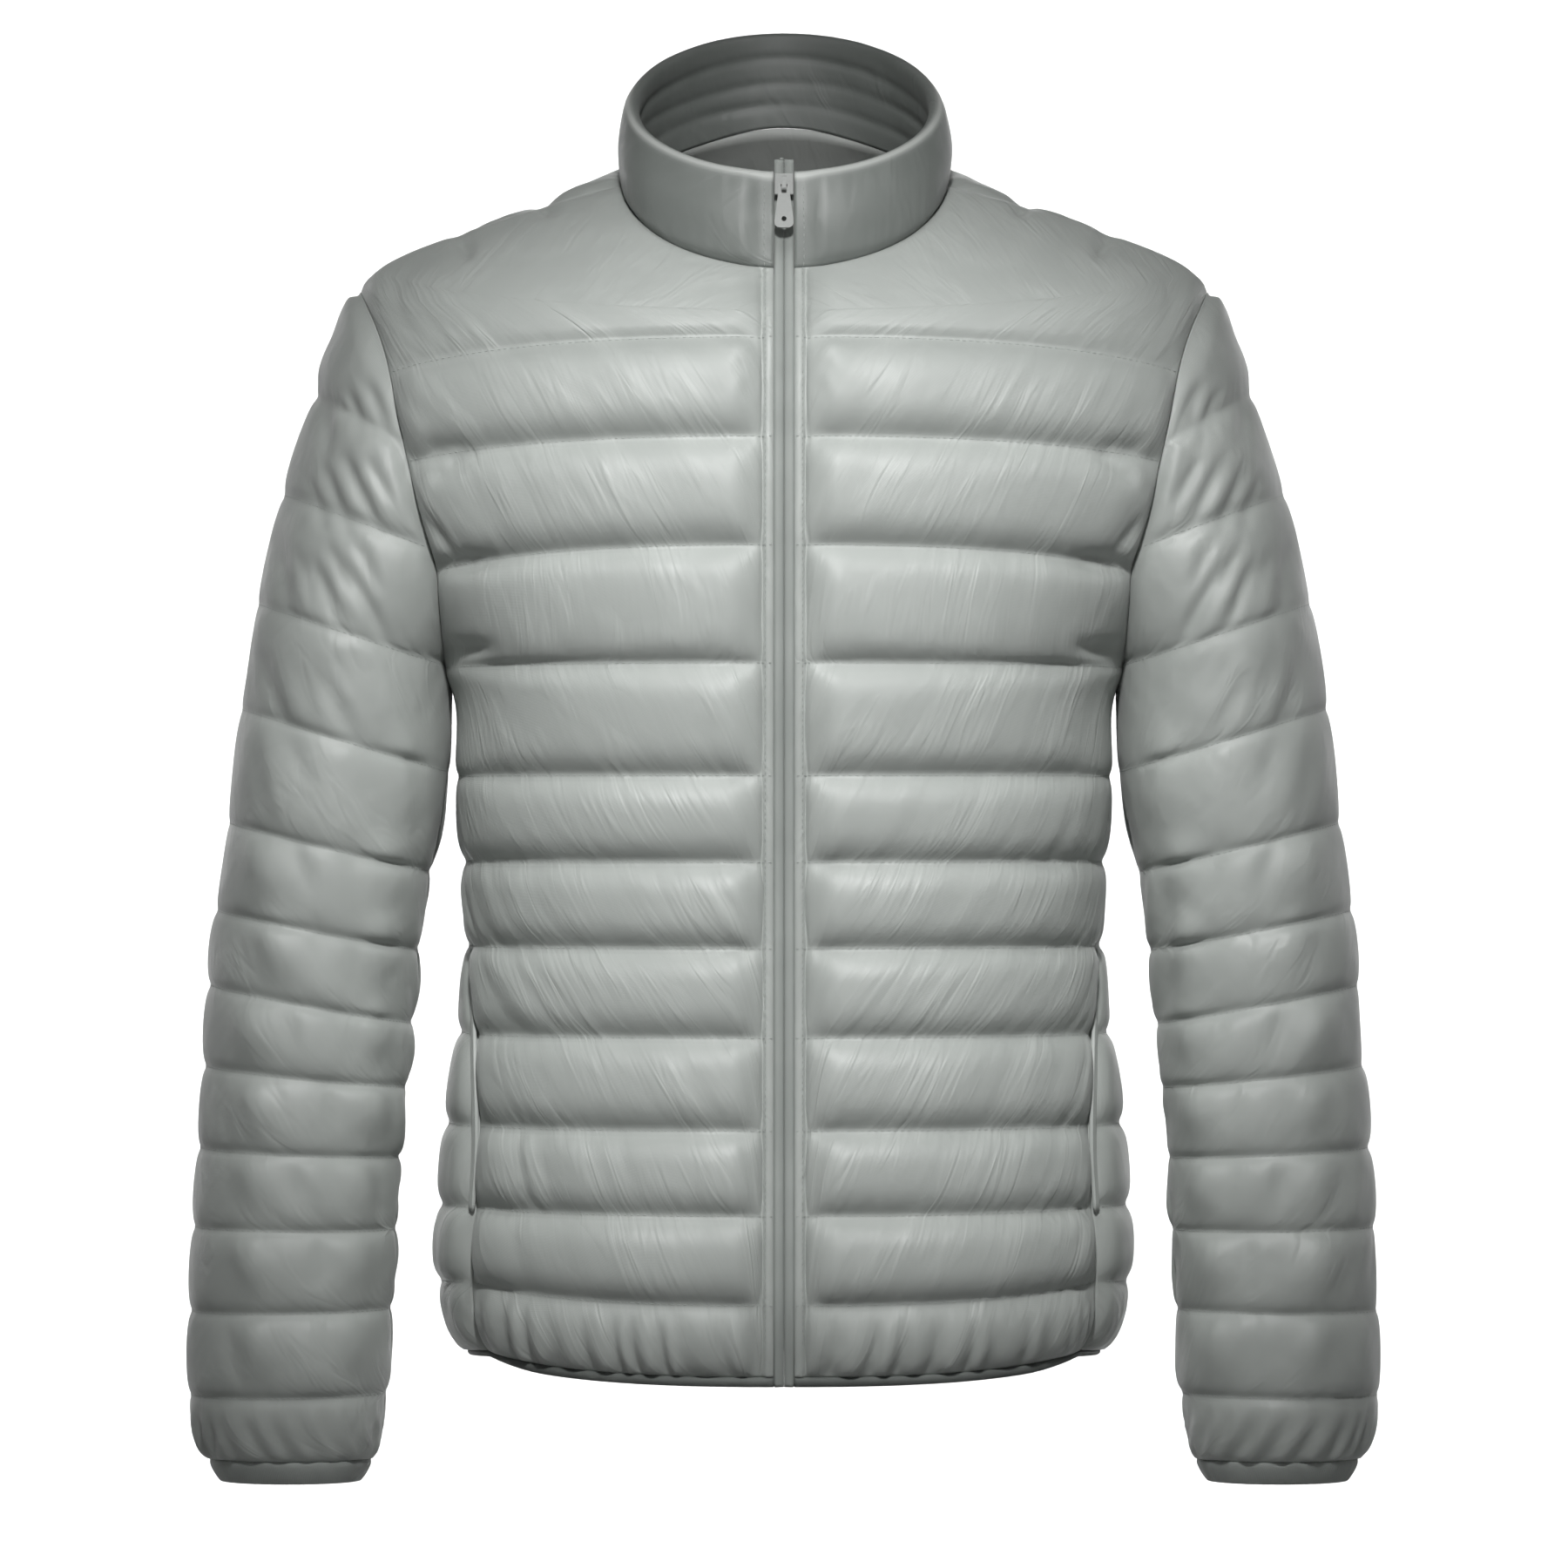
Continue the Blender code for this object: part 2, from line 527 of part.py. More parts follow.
class SleeveForm:
    """The plain form of the sleeve on the +X side, from the shoulder point to the cuff.

    Rows down to the underarm leave the armhole at a body row and are open; those below are rings.
    """

    TOP = ROW_OF["shoulder_point"]
    UNDERARM = ROW_OF["line_4"]
    LAST = UNDERARM + len(SLEEVE_RINGS) - 1

    def frame(self, v):
        """Middle, half-width vector, half depth and end angle of row v."""
        if v <= self.UNDERARM:
            seam_z = between_rows(BODY_ROWS, "end", v)
            seam_x = from_table(ARMHOLE_SEAM, "z", "x", seam_z)
            outer = np.array(
                (
                    from_table(SLEEVE_HEAD, "seam_z", "outer_x", seam_z),
                    0.0,
                    from_table(SLEEVE_HEAD, "seam_z", "outer_z", seam_z),
                )
            )
            turn = armhole_turn(seam_z)
            reach = (outer - (seam_x, 0.0, seam_z)) / max(1 - math.cos(turn), 1e-4)
            return outer - reach, reach, ARMHOLE_HALF_DEPTH, turn
        ring = v - self.UNDERARM
        sizes = {
            name: float(smooth(ring, range(len(SLEEVE_RINGS)), column(SLEEVE_RINGS, name)))
            for name in SleeveRing._fields[1:]
        }
        outer = np.array((sizes["outer_x"], sizes["centre_y"], sizes["outer_z"]))
        inner = np.array((sizes["inner_x"], sizes["centre_y"], sizes["inner_z"]))
        return (outer + inner) / 2, (outer - inner) / 2, sizes["half_depth"], math.pi

    def point(self, v, turn):
        """Point of row v at an angle, 0 on the outer side, positive to the front."""
        middle, reach, depth, _ = self.frame(v)
        return middle + math.cos(turn) * reach + np.array((0, -math.sin(turn) * depth, 0))

    def normal(self, v, turn):
        """Outward direction at a point of row v."""
        around = self.point(v, turn + TABLE_STEP) - self.point(v, turn - TABLE_STEP)
        above = max(v - ROW_STEP, self.TOP + 0.3)
        below = max(v + ROW_STEP, above + ROW_STEP)
        limit_above = min(abs(turn) / max(self.frame(above)[3], 1e-3), 1.0)
        limit_below = min(abs(turn) / max(self.frame(below)[3], 1e-3), 1.0)
        sign = math.copysign(1.0, turn)
        down = self.point(below, sign * limit_below * self.frame(below)[3]) - self.point(
            above, sign * limit_above * self.frame(above)[3]
        )
        normal = np.cross(around, down)
        if v > self.LAST - SAME:
            normal[2] = 0.0
        return unit(normal)

    def sewn(self):
        """Rows with a stitch line, from the armhole's top to the cuff's edge."""
        head = [ROW_OF[name] + share for name, share in HEAD_LINES]
        return [self.TOP, *head, *range(self.UNDERARM, self.UNDERARM + len(SLEEVE_RINGS))]

    def crown(self, v):
        """Height of the filling at row v."""
        sewn = self.sewn()
        above = max(row for row in sewn if row <= v + SAME)
        below = min(row for row in sewn if row >= v - SAME)
        if above == below:
            return 0.0
        height = HEM_CROWN if above >= sewn[-2] else SLEEVE_CROWN
        return height * swell((v - above) / (below - above))

    def puff(self, v, turn):
        """Height of the filling at a point."""
        point = self.point(v, turn)
        limit = self.frame(v)[3]
        height = self.crown(v) * near_underarm(point)
        if v < self.UNDERARM:
            height *= edge_rise((limit - abs(turn)) * ARMHOLE_HALF_DEPTH)
        return height


FRONT = BodyPanel(-1)
BACK = BodyPanel(1)
SLEEVE = SleeveForm()


class CollarForm:
    """The middle surface of the stand collar on the +X side, above the neck seam."""

    def top(self, base):
        """Point of the collar's top line above a point of the neck seam."""
        turn = math.atan2(base[0] / NECK_X, -base[1] / NECK_HALF_DEPTH)
        sine = math.sin(turn)
        first = FRONT_EDGE_X / NECK_X
        if turn < math.pi / 2:
            x = FRONT_EDGE_X + (COLLAR_TOP_X - FRONT_EDGE_X) * (sine - first) / (1 - first)
        else:
            x = COLLAR_TOP_X * sine
        y = COLLAR_TOP_Y - COLLAR_TOP_HALF_DEPTH * math.cos(turn)
        return np.array((max(x, 0.0), y, COLLAR_TOP_Z + COLLAR_TILT * y))

    def point(self, panel, share, height):
        """Point at a share along the neck edge of a panel and a share of the collar's height."""
        base = panel.row(0, [share])[0]
        top = self.top(base)
        outward = unit(np.array((base[0], base[1], 0.0)))
        bulge = COLLAR_BULGE * 4 * max(height * (1 - height), 0.0)
        return base + (top - base) * height + outward * bulge

    def normal(self, panel, share, height):
        """Outward direction at such a point."""
        low, high = max(share - 0.01, 0.0), min(share + 0.01, 1.0)
        across = self.point(panel, high, height) - self.point(panel, low, height)
        if panel.edge_x == 0.0 and share < 0.01:
            across = np.array((1.0, 0.0, 0.0))
        up = self.point(panel, share, height + 0.05) - self.point(panel, share, height - 0.05)
        normal = np.cross(up, across) * panel.facing
        if panel.edge_x == 0.0 and share < 0.01:
            normal[0] = 0.0
        return unit(normal)


COLLAR = CollarForm()


# ---------------------------------------------------------------------------------------------
# Seams: each gives the shift off the seam and the direction of the mitre
# ---------------------------------------------------------------------------------------------


def seam_frame(tangent, into_first, into_second, outward):
    """Direction from the first piece to the second across a seam, and the mitre's direction."""
    tangent = unit(tangent)
    over = unit(into_second) - unit(into_first)
    over = unit(over - tangent * np.dot(over, tangent))
    mitre = unit(np.cross(tangent, over))
    if np.dot(mitre, outward) < 0:
        mitre = -mitre
    return over, mitre


def side_seam_frame(v):
    """Seam between front and back: direction from front to back, and the mitre."""
    end = between_rows(BODY_ROWS, "end", v)
    point = side_point(end, -1)
    tangent = side_point(end + TABLE_STEP, -1) - side_point(end - TABLE_STEP, -1)
    into_front = FRONT.row(v, [0.98])[0] - point
    into_back = BACK.row(v, [0.98])[0] - point
    outward = np.array((point[0], 0.0, 0.0 if end < UNDERARM_Z else 1.0))
    return seam_frame(tangent, into_front, into_back, outward)


def armhole_mitre(point, facing):
    """Direction of the mitre at a point of the armhole seam, away from the armhole's middle."""
    end = point[2]
    radial = point - ARMHOLE_MIDDLE
    radial -= ARMHOLE_OUTWARD * np.dot(radial, ARMHOLE_OUTWARD)
    step = min(TABLE_STEP, (SHOULDER_Z - end) / 2, (end - UNDERARM_Z) / 2)
    if step < 1e-5:
        return unit(radial * (1.0, 0.0, 1.0))
    tangent = side_point(end + step, facing) - side_point(end - step, facing)
    tangent = unit(tangent - ARMHOLE_OUTWARD * np.dot(tangent, ARMHOLE_OUTWARD))
    return unit(radial - tangent * np.dot(radial, tangent))


def neck_frame(panel, share):
    """Seam between a panel and the collar: direction from panel to collar, and the mitre."""
    point = panel.row(0, [share])[0]
    low, high = max(share - 0.01, 0.0), min(share + 0.01, 1.0)
    tangent = panel.row(0, [high])[0] - panel.row(0, [low])[0]
    if panel.edge_x == 0.0 and share < 0.01:
        tangent = np.array((1.0, 0.0, 0.0))
    into_panel = panel.row(0.5, [share])[0] - point
    into_collar = COLLAR.point(panel, share, 0.2) - point
    outward = np.array((point[0], point[1], 0.05))
    return seam_frame(tangent, into_panel, into_collar, outward)


def shoulder_neck_frame():
    """The neck seam where the shoulder seam meets it, the same for front, back and collar."""
    front_over, front_mitre = neck_frame(FRONT, 1.0)
    back_over, back_mitre = neck_frame(BACK, 1.0)
    return unit(front_over + back_over), unit(front_mitre + back_mitre)


def panel_edge(panel, v):
    """Shift off the side seams and the mitre for a panel's side edge at row v."""
    end = between_rows(BODY_ROWS, "end", v)
    point = side_point(end, panel.facing)
    shift = np.zeros(3)
    mitre = None
    if end <= UNDERARM_Z + SAME or end >= SHOULDER_Z - SAME:
        over, mitre = side_seam_frame(v)
        shift += over * panel.facing * SEAM_GAP / 2
    if UNDERARM_Z - SAME <= end <= SHOULDER_Z + SAME:
        mitre = armhole_mitre(point, panel.facing)
        shift -= ARMHOLE_OUTWARD * SEAM_GAP / 2
    if v < SAME:
        over, mitre = shoulder_neck_frame()
        shift -= over * SEAM_GAP / 2
    return shift, mitre


# ---------------------------------------------------------------------------------------------
# Rows of points for each wall
# ---------------------------------------------------------------------------------------------

# A row is (place along the panel, [(place along the row, point), ...]).
Row = namedtuple("Row", "place points")


def outer_body_rows():
    """Row numbers of the outer skin: every table row, and the rows inside each channel."""
    rows = [float(index) for index in range(len(BODY_ROWS))]
    for index in range(ROW_OF["line_1"], ROW_OF["hem_line"]):
        shares = TALL_CHANNEL_ROWS if index < ROW_OF["line_4"] else SHORT_CHANNEL_ROWS
        rows += [index + share for share in shares]
    rows += [ROW_OF["hem_line"] + share for share in HEM_ROWS]
    return sorted(rows)


def inner_body_rows():
    """Row numbers of the plain inner skin: all those round the armhole, and the table's below."""
    top, underarm = ROW_OF["shoulder_point"], ROW_OF["line_4"]
    yoke = [float(ROW_OF[name]) for name in ("neck", "back_1", "back_2")]
    armhole = [v for v in outer_body_rows() if top <= v <= underarm]
    return yoke + armhole + [float(index) for index in range(underarm + 1, len(BODY_ROWS))]


def panel_columns(panel, v):
    """Shares of row v's length at which the panel's columns stand."""
    length = panel.length(v)
    if panel.facing < 0:
        start, fields = list(FRONT_EDGE_COLUMNS), FRONT_FIELD_COLUMNS
    else:
        start, fields = [0.0], BACK_FIELD_COLUMNS
    low, high = start[-1], length - SEAM_COLUMNS[0]
    middle = [low + (high - low) * (k + 1) / (fields + 1) for k in range(fields)]
    return [d / length for d in start + middle] + [1 - d / length for d in SEAM_COLUMNS]


def panel_point(panel, v, share, lift):
    """A skin's point: the base form moved out by lift, on the seams' mitres at the edges."""
    base = panel.row(v, [share])[0]
    if share > 1 - SAME:
        shift, mitre = panel_edge(panel, v)
        return base + shift + mitre * lift
    if v < SAME:
        over, mitre = neck_frame(panel, share)
        if panel.edge_x == 0.0 and share < SAME:
            over[0] = mitre[0] = 0.0
        moved = base - over * SEAM_GAP / 2 + mitre * lift
    else:
        moved = base + panel.normals(v, [share])[0] * lift
    if share < SAME:
        moved[0] = panel.edge_x
    return moved


def panel_rows(panel):
    """Outer and inner rows of a body panel's wall."""
    outer = []
    for v in outer_body_rows():
        length = panel.length(v)
        gathered = v > ROW_OF["hem_line"] + SAME
        if gathered:
            waves = HEM_WAVES_FRONT if panel.facing < 0 else HEM_WAVES_HALF_BACK
            shares = np.linspace(0, 1, 2 * waves + 1)
        else:
            shares = panel_columns(panel, v)
        bases = panel.row(v, shares)
        points = []
        for k, share in enumerate(shares):
            lift = skin_out(bases[k]) + panel.puff(v, share, bases[k], length)
            if gathered and 0 < k < len(shares) - 1:
                lift += GATHER_DEPTH * (k % 2)
            points.append((float(share), panel_point(panel, v, share, lift)))
        outer.append(Row(v, points))
    inner = []
    for v in inner_body_rows():
        shares = panel_columns(panel, v)
        if v > SAME:
            shares = shares[::2] + ([shares[-1]] if len(shares) % 2 == 0 else [])
        points = [(float(s), panel_point(panel, v, s, -SKIN_IN)) for s in shares]
        inner.append(Row(v, points))
    return outer, inner


def sleeve_columns(v):
    """Angles of the columns of a sleeve row."""
    ring = list(np.linspace(-math.pi, math.pi, RING_COLUMNS + 1))
    if v >= SLEEVE.UNDERARM - SAME:
        return ring
    limit = SLEEVE.frame(v)[3]
    margin, near = (limit - distance / ARMHOLE_HALF_DEPTH for distance in HEAD_COLUMNS)
    field = [turn for turn in ring if abs(turn) < margin - HEAD_COLUMNS[1] / ARMHOLE_HALF_DEPTH]
    return [-limit, -near, *field, near, limit]


def sleeve_point(v, turn, lift):
    """A point of the sleeve's skin, on the armhole's mitre at the seam."""
    limit = SLEEVE.frame(v)[3]
    if v <= SLEEVE.UNDERARM + SAME and abs(turn) > limit - SAME:
        end = between_rows(BODY_ROWS, "end", v)
        facing = -1 if turn > 0 else 1
        seam = side_point(end, facing)
        mitre = armhole_mitre(seam, facing)
        return seam + ARMHOLE_OUTWARD * SEAM_GAP / 2 + mitre * lift
    return SLEEVE.point(v, turn) + SLEEVE.normal(v, turn) * lift


def sleeve_rows():
    """Outer and inner rows of the sleeve's wall."""
    last = SLEEVE.LAST
    places = [v for v in outer_body_rows() if SLEEVE.TOP <= v <= SLEEVE.UNDERARM]
    for ring in range(SLEEVE.UNDERARM, last - 1):
        places += [ring + share for share in SHORT_CHANNEL_ROWS] + [ring + 1.0]
    places += [last - 1 + share for share in CUFF_ROWS] + [float(last)]
    outer = []
    for v in places:
        if v == SLEEVE.TOP:
            lift = skin_out(side_point(SHOULDER_Z, -1))
            outer.append(Row(v, [(0.0, sleeve_point(v, 0.0, lift))]))
            continue
        gathered = v > last - 1 + SAME
        turns = np.linspace(-math.pi, math.pi, 2 * CUFF_WAVES + 1) if gathered else sleeve_columns(v)
        points = []
        for k, turn in enumerate(turns):
            lift = skin_out(SLEEVE.point(v, turn)) + SLEEVE.puff(v, turn)
            if gathered:
                lift += GATHER_DEPTH * (k % 2)
            points.append((float(turn), sleeve_point(v, turn, lift)))
        outer.append(Row(v, points))
    inner = []
    inner_places = [v for v in inner_body_rows() if SLEEVE.TOP <= v <= SLEEVE.UNDERARM]
    inner_places += [SLEEVE.UNDERARM + k for k in (1, 2, 4, 6, 8)] + [last - 1.0, float(last)]
    for v in inner_places:
        if v == SLEEVE.TOP:
            inner.append(Row(v, [(0.0, sleeve_point(v, 0.0, -SKIN_IN))]))
            continue
        turns = sleeve_columns(v)
        if v > SLEEVE.UNDERARM:
            turns = turns[::2]
        inner.append(Row(v, [(float(t), sleeve_point(v, t, -SKIN_IN)) for t in turns]))
    return outer, inner


# ---------------------------------------------------------------------------------------------
# Mesh building
# ---------------------------------------------------------------------------------------------


def add_face(bm, vertices):
    """Add a face, leaving out corners that fall on each other."""
    distinct = []
    for vertex in vertices:
        if vertex not in distinct:
            distinct.append(vertex)
    if len(distinct) > 2:
        bm.faces.new(distinct)


def lace(bm, first, second, split=True):
    """Faces between two chains of (place, vertex), which share their ends' places.

    A rim splits its four-sided faces the same way on both sides of a seam, so that the two
    rims are the same surface a gap apart.
    """
    i = j = 0
    while i < len(first) - 1 or j < len(second) - 1:
        next_i = first[i + 1][0] if i < len(first) - 1 else math.inf
        next_j = second[j + 1][0] if j < len(second) - 1 else math.inf
        low, high = first[i][1], second[j][1]
        if abs(next_i - next_j) < 1e-5:
            corners = (low, first[i + 1][1], second[j + 1][1], high)
            if split:
                add_face(bm, corners[:3])
                add_face(bm, (corners[0], corners[2], corners[3]))
            else:
                add_face(bm, corners)
            i, j = i + 1, j + 1
        elif next_i < next_j:
            add_face(bm, (low, first[i + 1][1], high))
            i += 1
        else:
            add_face(bm, (low, second[j + 1][1], high))
            j += 1


def lay_rows(bm, rows, ring_from=math.inf):
    """Vertices of the rows and faces between them; rows past ring_from close on themselves."""
    laid = []
    for row in rows:
        chain = [(place, bm.verts.new(point)) for place, point in row.points]
        if row.place >= ring_from - SAME and len(chain) > 1:
            bm.verts.remove(chain[-1][1])
            chain[-1] = (chain[-1][0], chain[0][1])
        laid.append((row.place, chain))
    for (_, above), (_, below) in zip(laid, laid[1:]):
        lace_rows(bm, above, below)
    return laid


def lace_rows(bm, above, below):
    """Faces between two rows, column to column where they have the same number of columns."""
    if len(above) == len(below):
        above = [(k, vertex) for k, (_, vertex) in enumerate(above)]
        below = [(k, vertex) for k, (_, vertex) in enumerate(below)]
    lace(bm, above, below, split=False)


def wall(name, outer, inner, ring_from=math.inf, open_start=False):
    """A closed wall from its outer and inner rows.

    ring_from is the place from which rows are rings; open_start leaves the first edge open,
    for a half that is mirrored.
    """
    bm = bmesh.new()
    out_rows = lay_rows(bm, outer, ring_from)
    in_rows = lay_rows(bm, inner, ring_from)
    lace(bm, out_rows[0][1], in_rows[0][1])
    lace(bm, out_rows[-1][1], in_rows[-1][1])
    if not open_start:
        lace(
            bm,
            [(place, chain[0][1]) for place, chain in out_rows if place <= ring_from + SAME],
            [(place, chain[0][1]) for place, chain in in_rows if place <= ring_from + SAME],
        )
    lace(
        bm,
        [(place, chain[-1][1]) for place, chain in out_rows if place <= ring_from + SAME],
        [(place, chain[-1][1]) for place, chain in in_rows if place <= ring_from + SAME],
    )
    return finished_mesh(bm, name)


def finished_mesh(bm, name):
    """The mesh with its faces turned outwards and its faces made triangles."""
    bmesh.ops.triangulate(bm, faces=bm.faces[:])
    bmesh.ops.recalc_face_normals(bm, faces=bm.faces[:])
    mesh = bpy.data.meshes.new(name)
    bm.to_mesh(mesh)
    bm.free()
    mesh.shade_smooth()
    return mesh


def mirrored_mesh(mesh, name):
    """A copy of a mesh on the other side of the jacket."""
    bm = bmesh.new()
    bm.from_mesh(mesh)
    bmesh.ops.transform(bm, matrix=Matrix.Scale(-1, 4, (1, 0, 0)), verts=bm.verts[:])
    bmesh.ops.reverse_faces(bm, faces=bm.faces[:])
    copy = bpy.data.meshes.new(name)
    bm.to_mesh(copy)
    bm.free()
    copy.shade_smooth()
    return copy


def swept(name, sections, closed=False, open_end=False):
    """A solid through closed outlines of equal counts; open_end leaves a half's last one open."""
    bm = bmesh.new()
    loops = [[bm.verts.new(point) for point in section] for section in sections]
    if closed:
        loops.append(loops[0])
    count = len(sections[0])
    for first, second in zip(loops, loops[1:]):
        for k in range(count):
            following = (k + 1) % count
            bm.faces.new((first[k], first[following], second[following], second[k]))
    if not closed:
        bm.faces.new(loops[0])
        if not open_end:
            bm.faces.new(loops[-1])
    return finished_mesh(bm, name)


# ---------------------------------------------------------------------------------------------
# Scene helpers
# ---------------------------------------------------------------------------------------------


def make_material(name, colour, roughness, metallic=0.0):
    """A plain finish."""
    material = bpy.data.materials.new(name)
    material.use_nodes = True
    shader = material.node_tree.nodes["Principled BSDF"]
    shader.inputs["Base Color"].default_value = (*colour, 1.0)
    shader.inputs["Roughness"].default_value = roughness
    shader.inputs["Metallic"].default_value = metallic
    return material


def place_object(mesh, name, collection, material, parent=None):
    """Link an object with its finish."""
    thing = bpy.data.objects.new(name, mesh)
    thing.data.materials.append(material)
    collection.objects.link(thing)
    if parent is not None:
        thing.parent = parent
    return thing


def mirror_half(thing):
    """Complete a half that is open at the middle plane, with a Mirror modifier."""
    mirror = thing.modifiers.new("other_half", "MIRROR")
    mirror.use_axis = (True, False, False)
    mirror.use_clip = True
    mirror.use_mirror_merge = True
    mirror.merge_threshold = 0.00005


# ---------------------------------------------------------------------------------------------
# Pieces
# ---------------------------------------------------------------------------------------------


def make_fronts(collection, nylon):
    """The two fronts."""
    outer, inner = panel_rows(FRONT)
    left = wall("front_left", outer, inner)
    place_object(left, "front_left", collection, nylon)
    place_object(mirrored_mesh(left, "front_right"), "front_right", collection, nylon)


def make_back(collection, nylon):
    """The back, a half mirrored at the centre back."""
    outer, inner = panel_rows(BACK)
    mesh = wall("back", outer, inner, open_start=True)
    mirror_half(place_object(mesh, "back", collection, nylon))


def make_sleeves(collection, nylon):
    """The two sleeves."""
    outer, inner = sleeve_rows()
    left = wall("sleeve_left", outer, inner, ring_from=SLEEVE.UNDERARM)
    place_object(left, "sleeve_left", collection, nylon)
    place_object(mirrored_mesh(left, "sleeve_right"), "sleeve_right", collection, nylon)


def collar_columns():
    """Columns of half the collar from the front edge to the centre back: panel and share."""
    front = [(FRONT, share) for share in panel_columns(FRONT, 0)]
    back = [(BACK, share) for share in reversed(panel_columns(BACK, 0))]
    return front + back[1:]


def collar_section(panel, share):
    """The wall's outline at one column, from the outer seam over the top to the inner seam."""
    base = panel.row(0, [share])[0]
    if share > 1 - SAME:
        over, mitre = shoulder_neck_frame()
    else:
        over, mitre = neck_frame(panel, share)
    thin = 1.0
    if panel.facing < 0:
        from_edge = share * panel.length(0)
        thin = fade(from_edge, COLLAR_EDGE_WIDTH, COLLAR_EDGE_FADE, COLLAR_EDGE_SHARE)
    start = base + over * SEAM_GAP / 2
    section = [start + mitre * SKIN_OUT]
    for row in COLLAR_WALL:
        normal = COLLAR.normal(panel, share, min(row.height, 0.95))
        section.append(COLLAR.point(panel, share, row.height) + normal * row.offset * thin)
    section.append(start - mitre * SKIN_IN)
    if share < SAME:
        for point in section:
            point[0] = panel.edge_x
    return section


def make_collar(collection, nylon):
    """The padded stand collar, a half mirrored at the centre back."""
    sections = [collar_section(panel, share) for panel, share in collar_columns()]
    half = swept("collar", sections, open_end=True)
    mirror_half(place_object(half, "collar", collection, nylon))


def hem_path():
    """Points and outward directions along half the hem, from the front edge to the centre back."""
    last = ROW_OF["hem_edge"]
    stations = []
    for panel in (FRONT, BACK):
        shares = np.linspace(0, 1, HEM_BINDING_STATIONS)
        points = panel.row(last, shares)
        normals = panel.normals(last, shares)
        pairs = list(zip(points, normals))
        stations += pairs if panel is FRONT else pairs[::-1][1:]
    return stations


def make_hem_binding(collection, binding):
    """The elastic binding round the hem, a half mirrored at the centre back."""
    down = np.array((0.0, 0.0, -1.0))
    sections = []
    for point, normal in hem_path():
        top = point + down * BINDING_CLEAR
        sections.append(
            [
                top + down * HEM_BINDING_HEIGHT * corner.drop + normal * corner.out
                for corner in HEM_BINDING_OUTLINE
            ]
        )
    for corner in sections[0]:
        corner[0] = FRONT_EDGE_X
    for corner in sections[-1]:
        corner[0] = 0.0
    half = swept("hem_binding", sections, open_end=True)
    mirror_half(place_object(half, "hem_binding", collection, binding))


def make_cuff_bindings(collection, binding):
    """The elastic bindings round the cuffs."""
    edge = SLEEVE_RINGS[-1]
    middle_x = (edge.outer_x + edge.inner_x) / 2
    half_width = (edge.outer_x - edge.inner_x) / 2
    sections = []
    for turn in np.linspace(0, 2 * math.pi, CUFF_BINDING_SIDES, endpoint=False):
        section = []
        for drop, out in CUFF_BINDING_OUTLINE:
            out -= CUFF_BINDING_NARROWS * drop**CUFF_BINDING_POWER
            section.append(
                (
                    middle_x + math.cos(turn) * (half_width + out),
                    edge.centre_y - math.sin(turn) * (edge.half_depth + out),
                    edge.outer_z - BINDING_CLEAR - CUFF_BINDING_HEIGHT * drop,
                )
            )
        sections.append(section)
    left = swept("cuff_binding_left", sections, closed=True)
    place_object(left, "cuff_binding_left", collection, binding)
    right = mirrored_mesh(left, "cuff_binding_right")
    place_object(right, "cuff_binding_right", collection, binding)


def zip_line():
    """Points in the middle plane down the zip, from above the collar to the hem."""
    base = FRONT.row(0, [0.0])[0]
    top = COLLAR.top(base)
    up = unit(top - base)
    line = [top + up * TAPE_ABOVE_COLLAR, top, (top + base) / 2, base]
    rows = [row for row in outer_body_rows() if row >= ROW_OF["line_1"]]
    line += [FRONT.row(v, [0.0])[0] for v in rows[::2]]
    line.append(line[-1] + unit(line[-1] - line[-2]) * TAPE_BELOW_HEM)
    return [np.array((0.0, point[1], point[2])) for point in line]


def zip_section(point, outward):
    """Outline of one half of the zip: its tape and the raised row of teeth beside the middle."""
    corners = (
        (CENTRE_GAP_X, TEETH_TOP),
        (TEETH_X, TEETH_TOP),
        (TEETH_X + TEETH_SLOPE, TAPE_HALF_THICK),
        (TAPE_EDGE_X, TAPE_HALF_THICK),
        (TAPE_EDGE_X, -TAPE_HALF_THICK),
        (CENTRE_GAP_X, -TAPE_HALF_THICK),
    )
    return [point + np.array((x, 0.0, 0.0)) + outward * lift for x, lift in corners]


def make_zip_tapes(collection, tape):
    """The two halves of the zip."""
    line = zip_line()
    sections = []
    for k, point in enumerate(line):
        along = line[min(k + 1, len(line) - 1)] - line[max(k - 1, 0)]
        outward = unit(np.array((0.0, along[2], -along[1])))
        sections.append(zip_section(point, outward))
    left = swept("zip_tape_left", sections)
    place_object(left, "zip_tape_left", collection, tape)
    place_object(mirrored_mesh(left, "zip_tape_right"), "zip_tape_right", collection, tape)


def make_welts(collection, binding):
    """The pocket welts, which lie on the side seams."""
    sections = []
    for z in np.linspace(WELT_TOP_Z, WELT_BOTTOM_Z, WELT_STATIONS):
        v = float(np.interp(-z, [-row.end for row in BODY_ROWS], range(len(BODY_ROWS))))
        over, mitre = side_seam_frame(v)
        point = side_point(z, -1)
        low, high = mitre * WELT_LOW, mitre * (WELT_LOW + WELT_THICK)
        wide, narrow = over * WELT_HALF_WIDTH, over * WELT_HALF_WIDTH * WELT_TOP_SHARE
        sections.append(
            [point - wide + low, point - narrow + high, point + narrow + high, point + wide + low]
        )
    left = swept("pocket_welt_left", sections)
    place_object(left, "pocket_welt_left", collection, binding)
    place_object(mirrored_mesh(left, "pocket_welt_right"), "pocket_welt_right", collection, binding)


